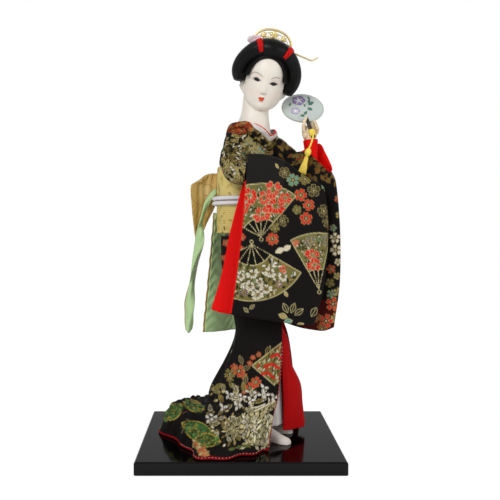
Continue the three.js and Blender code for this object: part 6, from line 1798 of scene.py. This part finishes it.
for spot in CHEEKS:
    soft(*spot, 6.5, 5.5, "#f2c9c0", 0.28)
for spot in LID_SHADES:
    soft(*spot, 7, 3.6, "#e7cfc8", 0.5)
for outline in EYE_OUTLINES:
    painted_eye(*outline)
for places, (wide, code) in FINE_LINES:
    brush(places, wide, code)
dx, dy = from_spot(*MOUTH_SPOT)
c, s = math.cos(MOUTH_LEAN), math.sin(MOUTH_LEAN)
mx, my = dx * c + dy * s, dy * c - dx * s
upper_lip = np.hypot((np.abs(mx) - 1.35) / 1.8, (my - 0.55) / 1.25) - 1
lower_lip = np.hypot(mx / 2.3, (my + 1.0) / 1.55) - 1
parting = np.maximum(np.abs(my + 0.05 - 0.12 * np.cos(2.2 * mx)) * PIXEL - 0.1, (np.abs(mx) - 2.6) * PIXEL)
loom.lay(np.minimum(upper_lip, lower_lip), "#e2502c")
loom.lay(parting, "#b5341f")
paint(doll_head, loom.colour)
dress(doll_head, "head", "head", slot="bisque")
print("face painted")

# %% [markdown]
# The wig starts from a cap that is combed back from the hairline. Its rows begin at the hairline and run
# to the crown over an egg, so the strands of its finish lie the way a comb would leave them.
# %% Hair cap
CAP_MIDDLE = np.array([0, 3, 1.0])
CAP_HALF = np.array([16.7, 19.9, 24.9])
SIDE_FALL = [(0, 0, 0), (2.2, 8.0, 0.8), (3.2, 15.5, 0.2), (3.2, 19.5, -5.5)]


def on_cap(points):
    away = (np.asarray(points, float) - CAP_MIDDLE) / CAP_HALF
    return CAP_MIDDLE + CAP_HALF * away / np.linalg.norm(away, axis=-1, keepdims=True)


arch = np.linspace(0, np.pi, 120)
hairline = np.stack([12.8 * np.cos(arch), np.full(120, -12.0), 1.4 + 12.2 * np.sin(arch)], 1)
side_fall = curve(SIDE_FALL, shares(40))[1:]
left_side = hairline[-1] + side_fall * [-1, 1, 1]
nape = np.linspace(0.17, 0.83, 90) * np.pi
nape_y = 3 + 19 * np.sin(nape)
behind = np.stack([-16 * np.cos(nape), nape_y, -5 - 0.306 * nape_y], 1)
right_side = (hairline[0] + side_fall)[::-1]
edge = on_cap(np.concatenate([hairline, left_side, behind, right_side]))
crown = on_cap([0, 7, 25.0]) + [0, 0.01, 0]
rows = 0.985 * shares(60)[:, None, None]
cap = on_cap(edge[None] * (1 - rows) + crown * rows)
hair_cap = grid_object("combed_hair_cap", into(SKULL, cap), hair, round_=True, caps=("last",))
thicken(hair_cap, 1.0)
dress(hair_cap, "head", "hair_cap", slot="hair")
print("cap combed")

# %% [markdown]
# Over the cap lies a broad roll like a horseshoe, wide at the top and cut off in two wings beside the
# cheeks. It is an oval carried along a curve, with a crisp ridge towards the face, as a pressed roll has.
# The wing next to the fan is a little slimmer, to leave room when the fan is turned.
# %% Horseshoe roll
ROLL_SPAN, ROLL_TOP, ROLL_DROP, ROLL_RADIUS, ROLL_DEPTH = 18.6, 20.6, 3.0, 6.2, 8.6
ROLL_SPOTS = ((-0.93, 2.5, 0), (-1, 1.5, 0.3), (-0.9, -1.5, 0.62), (-0.52, -4, 0.92), (0, -5, 1),
              (0.52, -4, 0.92), (0.9, -1.5, 0.62), (1, 1.5, 0.26), (0.9, 2.5, -0.1))
ROLL_PATH = np.array([(x * ROLL_SPAN, y, -ROLL_DROP + (ROLL_TOP + ROLL_DROP) * rise)
                      for x, y, rise in ROLL_SPOTS])
ROLL_SHARE = np.array([0.62, 0.97, 1, 1.14, 1.26, 1.14, 1, 0.97, 0.62])[:, None]
ROLL_SIDES, ROLL_END, RIDGE_AT, RIDGE_WIDE = 120, 0.03, 2.0, 0.16


def roll_points(t, angle, grow, ridge=0.0):
    t, angle = np.broadcast_arrays(np.asarray(t, float), np.asarray(angle, float))
    flat = t.ravel()
    middle = curve(ROLL_PATH, flat)
    along = curve(ROLL_PATH, np.minimum(flat + 1e-3, 1)) - curve(ROLL_PATH, np.maximum(flat - 1e-3, 0))
    out = np.cross([0.0, 1.0, 0.0], along)
    out /= np.linalg.norm(out, axis=1, keepdims=True)
    share = curve(ROLL_SHARE, flat)[:, 0]
    a = angle.ravel()
    sharp = 1 + ridge * dent((a + RIDGE_AT + np.pi) % (2 * np.pi), np.pi, RIDGE_WIDE)
    reach = (ROLL_RADIUS * share + grow) * np.cos(a) * sharp
    depth = (ROLL_DEPTH * share + grow) * np.sin(a) * sharp
    return (middle + out * reach[:, None] + BEHIND * depth[:, None]).reshape(*t.shape, 3)


near_end = np.linspace(0, ROLL_END, 12)
t = np.concatenate([near_end[:-1], np.linspace(ROLL_END, 1 - ROLL_END, 200), 1 - near_end[-2::-1]])
roll = roll_points(t[:, None], full_turn(ROLL_SIDES)[None, :], 0.0, 0.035)
dome = np.sqrt(1 - (1 - np.clip(np.minimum(t, 1 - t) / ROLL_END, 0, 1)) ** 2)
middle = roll.mean(1, keepdims=True)
room_for_fan = 1 - 0.07 * smoothstep(t, 0.8, 0.92)
roll = middle + (roll - middle) * ((0.25 + 0.75 * dome) * room_for_fan)[:, None, None]
locks = np.random.default_rng(5).normal(0, 1, ROLL_SIDES)
locks = 0.11 * np.convolve(np.tile(locks, 3), np.ones(3) / 3, "same")[ROLL_SIDES:2 * ROLL_SIDES]
roll = roll + locks[None, :, None] * (roll - middle) / np.linalg.norm(roll - middle, axis=2, keepdims=True)
roll = into(SKULL, roll)
hair_roll = grid_object("horseshoe_hair_roll", roll, hair, round_=True, flip=True, caps=BOTH_ENDS)
dress(hair_roll, "head", "hair_roll", slot="hair")
print("roll has", roll.shape[0], "rings")

# %% [markdown]
# A knot sits on top behind the comb, and a loop hangs at the nape. Between the ribbons the forelock is
# drawn straight up, across the roll's own direction.
# %% Knots, forelock and ribbons
COMB_AT = 2.4
KNOT_AT, NAPE_AT = (0, COMB_AT + 11.2, ROLL_TOP + 3.4), (0, 17, -8.5)
FORELOCK_FROM, FORELOCK_TO, RIBBON_WIDE = 0.425, 0.6, 2.7


def hair_ball(name, middle, half, node):
    a, b = np.meshgrid(full_turn(96), np.linspace(-np.pi / 2, np.pi / 2, 60)[1:-1])
    lock = np.cos(b) * (1 + 0.012 * np.sin(19 * a) * np.cos(b))
    ball = np.stack([half[0] * np.cos(a) * lock, half[1] * np.sin(b), half[2] * np.sin(a) * lock], 2)
    made = grid_object(name, into(SKULL, ball + middle), hair, round_=True, flip=True, caps=BOTH_ENDS)
    dress(made, "head", node, slot="hair")


hair_ball("hair_knot_on_top", KNOT_AT, (9.4, 9.9, 6.5), "hair_top_knot")
hair_ball("hair_loop_at_nape", NAPE_AT, (10.9, 9.4, 7.9), "hair_nape")
t, a = np.meshgrid(np.linspace(FORELOCK_FROM, FORELOCK_TO, 60), np.radians(np.linspace(-200, -30, 90)))
arched = np.sin(np.pi * np.clip((t - FORELOCK_FROM) / (FORELOCK_TO - FORELOCK_FROM), 0, 1))
lift = 0.28 * np.abs(arched) ** 0.5 + 0.1
forelock = into(SKULL, roll_points(t, a, 0.0) + lift[..., None] * [0, -0.9, 0.4])
forelock_hair = grid_object("forelock", forelock, hair)
thicken(forelock_hair, 0.3)
dress(forelock_hair, "head", slot="hair")


def ribbon_band(name, middle, node):
    length = np.linalg.norm(np.diff(curve(ROLL_PATH, shares(200)), axis=0), axis=1).sum()
    half = RIBBON_WIDE / length / 2
    t, a = np.meshgrid(np.linspace(middle - half, middle + half, 40), np.radians(np.linspace(-215, -76, 110)))
    ends = np.sqrt(np.clip(1 - ((t - middle) / half) ** 2, 0, 1))
    dapple = 0.1 * np.sin(60 * a) * np.sin(9 * np.pi * (t - middle) / half / 2)
    outer = roll_points(t, a, 0.35) + ((0.75 + dapple) * ends)[..., None] * [0, -0.85, 0.5]
    grid = into(SKULL, bag(outer, roll_points(t, a, 0.32), 0.04, 0.04, 0.02, 0.02))
    dress(bag_object(name, grid, kanoko_red), "head", node, slot="red_silk")


ribbon_band("dappled_ribbon_right", 0.4, "hair_ribbon_right")
ribbon_band("dappled_ribbon_left", 0.625, "hair_ribbon_left")
print("ribbons tied")

# %% [markdown]
# The comb is stamped from thin brass: a rim like a half moon, a second thin arc, a star flower in the
# middle and two rosettes a side, all with open ground between them, and teeth that sit in the hair.
# %% Gilt comb
COMB_FOOT = np.array([-0.8, COMB_AT, ROLL_TOP + 6.1])
ROSETTES = ((0, 5.0, 3.6, 5), (-7.0, 3.8, 2.3, 6), (7.0, 3.8, 2.3, 6), (-3.9, 3.0, 1.3, 6),
            (3.9, 3.0, 1.3, 6))
STAMPED_RINGS = ((0.05, 0.75), (0.3, 0.7), (0.62, 0.5), (1.0, 0.2), (1.0, -0.3), (0.05, -0.5))
TEETH_AT = np.linspace(-0.38, 0.38, 9) * 28


def flat_tube(path, wide, thick, sides=16):
    side, other = ring_frames(path)
    a = full_turn(sides)
    up = (np.abs(side @ BEHIND) > 0.7)[:, None]
    across = np.cos(a) * np.where(up, thick / 2, wide / 2)
    along = np.sin(a) * np.where(up, wide / 2, thick / 2)
    return path[:, None] + across[..., None] * side[:, None] + along[..., None] * other[:, None]


def moon_arc(half, rise, count=90):
    a = np.linspace(0.02, np.pi - 0.02, count)
    return np.stack([-half * np.cos(a), 0 * a, rise * np.sin(a)], 1)


def rosette(x, z, radius, tips):
    a = full_turn(60)
    star = radius * (0.62 + 0.38 * np.abs(np.cos(tips * (a - np.pi / 2) / 2)) ** 1.6)
    return np.stack([np.stack([x + r * star * np.cos(a), 0 * a - d, z + r * star * np.sin(a)], 1)
                     for r, d in STAMPED_RINGS])


comb_parts = [flat_tube(moon_arc(13.2, 8.7), 1.6, 1.15), flat_tube(moon_arc(10.9, 6.5), 0.5, 0.7),
              flat_tube(np.linspace((-13.3, 0, 0.7), (13.3, 0, 0.7), 30), 1.5, 1.1)]
comb_parts += [rosette(*place) for place in ROSETTES]
comb_parts += [flat_tube(np.linspace((x, 0, 0.4), (x, 0, -3.3), 6), 0.9, 0.9, 8) for x in TEETH_AT]
points, faces = joined([(into(SKULL, part + COMB_FOOT), True, BOTH_ENDS) for part in comb_parts])
gilt_comb = make_object("gilt_moon_comb", points, faces, gilt)
dress(gilt_comb, "comb", "hair_comb", slot="gilt")
print("comb parts:", len(comb_parts))

# %% [markdown]
# The hairpin is one bent wire. It lies through the knot, and its free end is turned up in a hook.
# %% Gilt hairpin
PIN_WAY = np.array([0.985, 0, -0.17]) / np.linalg.norm([0.985, 0, -0.17])
PIN_ROOT = np.array([8.0, COMB_AT + 7.2, ROLL_TOP + 4.8])
PIN_BEND = PIN_ROOT + PIN_WAY * 22
PIN_HOOK = np.array([4.0, 0, 3.0])
shaft = np.linspace(PIN_ROOT - PIN_WAY * 12, PIN_BEND - PIN_WAY * 1.2, 30)
s = shares(10)[1:, None]
corner = PIN_BEND - PIN_WAY * 1.2 * (1 - s) ** 2 + PIN_HOOK * 0.3 * s ** 2
hook = PIN_BEND + PIN_HOOK * np.linspace(0.3, 1, 12)[1:, None]
pin_path = np.concatenate([shaft, corner, hook])
pin = tube(pin_path, np.interp(shares(len(pin_path)), [0, 0.7, 1], [0.62, 0.58, 0.42]), 14)
gilt_pin = grid_object("gilt_hairpin", into(SKULL, pin), gilt, round_=True, flip=True, caps=BOTH_ENDS)
dress(gilt_pin, "hairpin", "hair_pin", slot="gilt")
print("pin set")

# %% [markdown]
# The flower beside the comb is a tuft of thin pink silk petals, gathered in the middle.
# %% Pink silk flower
FLOWER_AT = np.array([-12.4, 2, ROLL_TOP + 4.9])
PETALS, PETAL_GRID = 34, 7
PETAL_REACH, PETAL_CUP = (3.4, 4.4, 5.1), (2.2, 1.2, 0.3)
chance = np.random.default_rng(9)
s, t = np.meshgrid(np.linspace(-1, 1, PETAL_GRID), np.linspace(0.08, 1, PETAL_GRID))
wide = 1.7 * np.sin(np.pi * np.clip(t, 0.05, 0.93)) ** 0.6 * s
petal_points, petal_faces = [], []
for k in range(PETALS):
    a = 2 * np.pi * k / PETALS * 3 + chance.uniform(-0.2, 0.2)
    reach = PETAL_REACH[k % 3] * t
    cup = -2.3 - PETAL_CUP[k % 3] * t ** 2 + 0.5 * s ** 2 + 1.9 * t + chance.uniform(-0.3, 0.3)
    sideways, upwards = reach * np.cos(a) - wide * np.sin(a), reach * np.sin(a) * 0.76 + wide * np.cos(a)
    petal = np.stack([1.15 * sideways, cup, upwards], 2)
    petal_faces += grid_faces(PETAL_GRID, PETAL_GRID, start=PETAL_GRID ** 2 * k)
    petal_points.append(into(SKULL, petal + FLOWER_AT).reshape(-1, 3))
petal_uv = np.meshgrid(np.linspace(0, 4, PETAL_GRID), np.linspace(0, 5, PETAL_GRID))
uv = np.tile(np.stack(petal_uv, 2).reshape(-1, 2), (PETALS, 1))
silk_flower = make_object("pink_silk_flower", np.concatenate(petal_points), petal_faces, pink_silk, uv)
thicken(silk_flower, 0.25, 0.0)
dress(silk_flower, "head", "hair_flower", slot="pink_silk")
print("flower has", PETALS, "petals")

# %% [markdown]
# The round fan is paper over split bamboo. Fine ribs spread from the handle under the paper, and morning
# glories are painted on it. The leaf is a disc of rings, painted where the picture shows each flower.
# %% Fan leaf and rim
FAN_RADIUS, FAN_MIDDLE, PAPER_HALF, RIM_INSET, RIM_SIDES = 15.0, 19.0, 0.4, 0.45, 14
LARGE_GLORY, SMALL_GLORY = (298.5, 100.5, 7.0, 4.9), (295.5, 111.0, 4.8, 3.5)
VINE = ((308.6, 98.2), (306, 104), (309, 107.5), (306, 112.5), (302.7, 115.5), (298, 117.5))
VINE_LEAVES = ((311, 103.4, 5.5, 2.6, 30), (309, 101.5, 4, 1.8, 80), (310, 109, 4.6, 2.2, -20),
               (305.5, 113, 4, 2, 40), (302.5, 115.6, 4, 1.8, -15), (304.6, 105.4, 2.6, 1.2, -60),
               (308.8, 98, 3, 1, -50), (290, 104.5, 3, 1.4, 60))
around, rings = full_turn(240), np.linspace(0.02, 1, 80)[:, None]
disc = (FAN_RADIUS - 0.7) * rings
disc_x, disc_z = disc * np.cos(around), disc * np.sin(around)
rib = np.arctan2(disc_x, disc_z + FAN_RADIUS + 3)
ridge = PAPER_HALF + 0.06 * np.abs(np.sin(30 * rib)) * (1 - rings ** 4)
front_side, rear_side = [np.stack([disc_x, y, disc_z + FAN_MIDDLE], 2) for y in (-ridge, ridge)]
leaf_grid = into(FAN, np.concatenate([front_side, rear_side[::-1]]))
fan_leaf = grid_object("painted_fan_leaf", leaf_grid, paper, round_=True, caps=BOTH_ENDS)
loom = Loom(*seen(leaf_grid), "#d3dcd8", 0.0, 0.14)
ribs = np.concatenate([rib, rib[::-1]]).ravel()
loom.colour *= (1 - 0.06 * np.abs(np.cos(30 * ribs)) ** 6)[:, None]


def morning_glory(u, v, wide, tall, dark, light):
    dx, dy = from_spot(u, v, wide, tall)
    r, a, size = np.hypot(dx, dy), np.arctan2(dy, dx), tall * PIXEL
    edge = 0.93 + 0.07 * np.cos(5 * a)
    loom.lay((r - edge) * size, dark)
    loom.lay((r - 0.8 * edge) * size, light)
    for k in range(5):
        b = 0.5 + 2 * math.pi * k / 5
        along, side = dx * math.cos(b) + dy * math.sin(b), -dx * math.sin(b) + dy * math.cos(b)
        ray = np.maximum(np.abs(side) - 0.16 * (1 - along), np.maximum(-along, along - 0.72))
        loom.lay(ray * size, "#efe9f2")
    loom.lay((r - 0.2) * size, "#ffffff")


morning_glory(*LARGE_GLORY, "#8a74a4", "#a08db8")
morning_glory(*SMALL_GLORY, "#a295b6", "#c9c2d6")
draw(loom, VINE, 0.22, "#6f8f78", 0.0)
for u, v, long, wide, turn in VINE_LEAVES:
    loom.leaf(*card(u, v), long * PIXEL, wide * PIXEL, turn, "#54826a", "#3d6653", 0.0)
paint(fan_leaf, loom.colour)
dress(fan_leaf, "fan", "fan_leaf", slot="fan_paper")

a = full_turn(RIM_SIDES)
out = np.stack([np.cos(around), 0 * around, np.sin(around)], 1)[:, None]
reach, thick = FAN_RADIUS - RIM_INSET + 0.42 * np.cos(a), 0.68 * np.sin(a)
rim = into(FAN, reach[:, None] * out + thick[:, None] * BEHIND + [0, 0, FAN_MIDDLE])
fan_rim = grid_object("fan_rim_paper", np.concatenate([rim, rim[:1]]), paper, round_=True, flip=True)
paint(fan_rim, np.tile(linear("#c3ccc0"), (len(fan_rim.data.vertices), 1)))
dress(fan_rim, "fan", "fan_rim", slot="fan_paper")
print("fan painted")

# %% [markdown]
# The handle's end is bound with yellow silk: six turns laid side by side, so a ripple on a turned sleeve.
# %% Binding on the handle
WRAP_LOW, WRAP_LONG, WRAP_INNER = -10.6, 5.5, 1.62
rise = shares(90)
bound = 2.02 + 0.17 * np.abs(np.sin(6 * np.pi * rise)) - 0.5 * dent(rise, 0, 0.03) - 0.5 * dent(rise, 1, 0.03)
wound = np.stack([bound, WRAP_LOW + WRAP_LONG * rise], 1)
profile = np.concatenate([[[WRAP_INNER, WRAP_LOW]], wound, [[WRAP_INNER, WRAP_LOW + WRAP_LONG]]])
binding = lathe(np.concatenate([profile, profile[:1]]), 64)
silk_binding = grid_object("yellow_silk_binding", into(FAN, binding), yellow_thread, round_=True)
dress(silk_binding, "fan", "fan_wrapping", slot="yellow_silk")
print("fan ready")

# %% [markdown]
# The hand holds the handle from behind, palm to the viewer, with four bent fingers and a thumb over the
# handle. Limbs are closed tubes that overlap, a voxel remesh welds them, and smoothing softens the welds.
# %% Gripping hand
FINGERS_AT, VOXEL = (2, -0.4, -2.8, -5.2), 0.22


def limb(points, radii, rows=26, sides=16):
    t = shares(rows)
    r = curve(np.array(radii)[:, None], t)
    ends = np.sqrt(1 - (1 - np.clip(np.minimum(t, 1 - t) / 0.1, 0, 1)) ** 2) * 0.9 + 0.1
    return tube(curve(points, t), r * ends[:, None], sides)


wrist = back_into(FAN, into(FIGURE, [49.7, -8.9, SHOULDER - 1]))
limbs = [limb([wrist, (-0.4, 6.3, -6.5), (0.2, 5.2, -0.5), (0.2, 4.5, 4.6)], [2.7, 3.0, 3.5, 2.2]),
         limb([(-2.4, 5.8, -6.5), (-2.2, 5.3, -1), (-1.0, 4.8, 5)], [2.4, 2.7, 2.0]),
         limb([(2.2, 5.8, -6.5), (3.0, 5.2, 0.5), (3.2, 4.9, 5.5), (2.4, 4.2, 8.6)], [2.4, 2.8, 2.6, 1.8])]
for z in FINGERS_AT:
    finger = [(1.6, 4.8, z), (4.3, 1.8, z), (4.2, -1.4, z), (2.9, -2.9, z - 0.2)]
    limbs.append(limb(finger, [1.15, 1.18, 1.12, 0.85]))
thumb = [(-2.2, 5, -3.4), (-3.9, 1.8, 0), (-2.9, -1.9, 3), (-0.6, -3.2, 6.4)]
limbs.append(limb(thumb, [1.4, 1.35, 1.2, 0.85]))
points, faces = joined([(into(FAN, grid), True, BOTH_ENDS) for grid in limbs])
rough_hand = make_object("rough_hand", points, faces, resin)
weld = rough_hand.modifiers.new("weld", "REMESH")
weld.mode, weld.voxel_size, weld.use_smooth_shade = "VOXEL", VOXEL * MM, True
soften = rough_hand.modifiers.new("soften", "SMOOTH")
soften.factor, soften.iterations = 0.5, 7
mesh = settled_mesh(rough_hand)
mesh.materials.clear()
mesh.materials.append(resin)
dress(linked("gripping_hand", mesh), "figure", "hand_left", slot="hand_resin")
print("hand has", len(mesh.polygons), "faces")

# %% [markdown]
# A tassel hangs from the binding: a twisted cord, a knot like a bead, and a skirt of loose threads.
# %% Tassel
TASSEL = placed(into(FAN, (0, -3.67, WRAP_LOW + 0.6)), (0, 15.5, 0))
DROP, BEAD_LONG, FRINGE_LONG = 12.5, 6.0, 12.0
BEAD_AT, BEAD_RADIUS = 1 - DROP - BEAD_LONG / 2, 2.05
FRINGE_TOP, FRINGE_WIDE = BEAD_AT - BEAD_LONG / 2 - 0.3, 2.79
THREADS, GOLDEN_TURN = 130, 2.39996
CORD_PATH = [(0, 0, 0.6), (0.5, -0.3, -DROP * 0.5), (0, 0, -DROP), (0, 0, -DROP - BEAD_LONG - 1)]
t = shares(120)
twist = 0.5 + 0.13 * np.abs(np.cos(full_turn(24) + 18 * np.pi * t[:, None]))
cord = into(TASSEL, tube(curve(CORD_PATH, t), twist, 24))
tassel_cord = grid_object("twisted_tassel_cord", cord, yellow_thread, round_=True, flip=True, caps=BOTH_ENDS)
dress(tassel_cord, "tassel", "tassel_cord", slot="yellow_silk")

a, b = np.meshgrid(full_turn(72), np.linspace(-np.pi / 2, np.pi / 2, 60)[1:-1])
strand = BEAD_RADIUS * np.cos(b) * (1 + 0.07 * np.abs(np.sin(4 * a + 3 * np.sin(b))))
bead = np.stack([strand * np.cos(a), strand * np.sin(a), BEAD_AT + BEAD_LONG / 2 * np.sin(b)], 2)
tassel_bead = grid_object("knotted_bead", into(TASSEL, bead), yellow_thread, round_=True, caps=BOTH_ENDS)
dress(tassel_bead, "tassel", "tassel_bead", slot="yellow_silk")

chance = np.random.default_rng(3)
down = shares(9)
spread = np.interp(down, [0, 0.1, 0.22, 0.6, 1], [0.34, 0.5, 0.44, 0.8, 1.0])
loose = []
for k in range(THREADS):
    a = k * GOLDEN_TURN
    wide = FRINGE_WIDE * math.sqrt((k + 0.5) / THREADS) * spread
    sway = 0.12 * chance.normal(size=2)[None, :] * down[:, None] ** 2
    x, y = wide * np.cos(a) + sway[:, 0], wide * np.sin(a) + sway[:, 1]
    path = np.stack([x, y, FRINGE_TOP - down * FRINGE_LONG * chance.uniform(0.96, 1.0)], 1)
    loose.append((into(TASSEL, tube(path, np.full(9, 0.19), 5)), True, BOTH_ENDS))
points, faces = joined(loose)
fringe = make_object("tassel_threads", points, faces, yellow_thread)
dress(fringe, "tassel", "tassel_fringe", slot="yellow_silk")
print("tassel has", THREADS, "threads")

# %% [markdown]
# The last cell compares the dressed doll's box with the box of the solids and prints how much it grew.
# %% Size and finish
visual_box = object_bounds()
grown = [round((b - a) / MM, 2) for a, b in zip([*cad_box[0], *cad_box[1]], [*visual_box[0], *visual_box[1]])]
print("box grew by", grown, "mm")
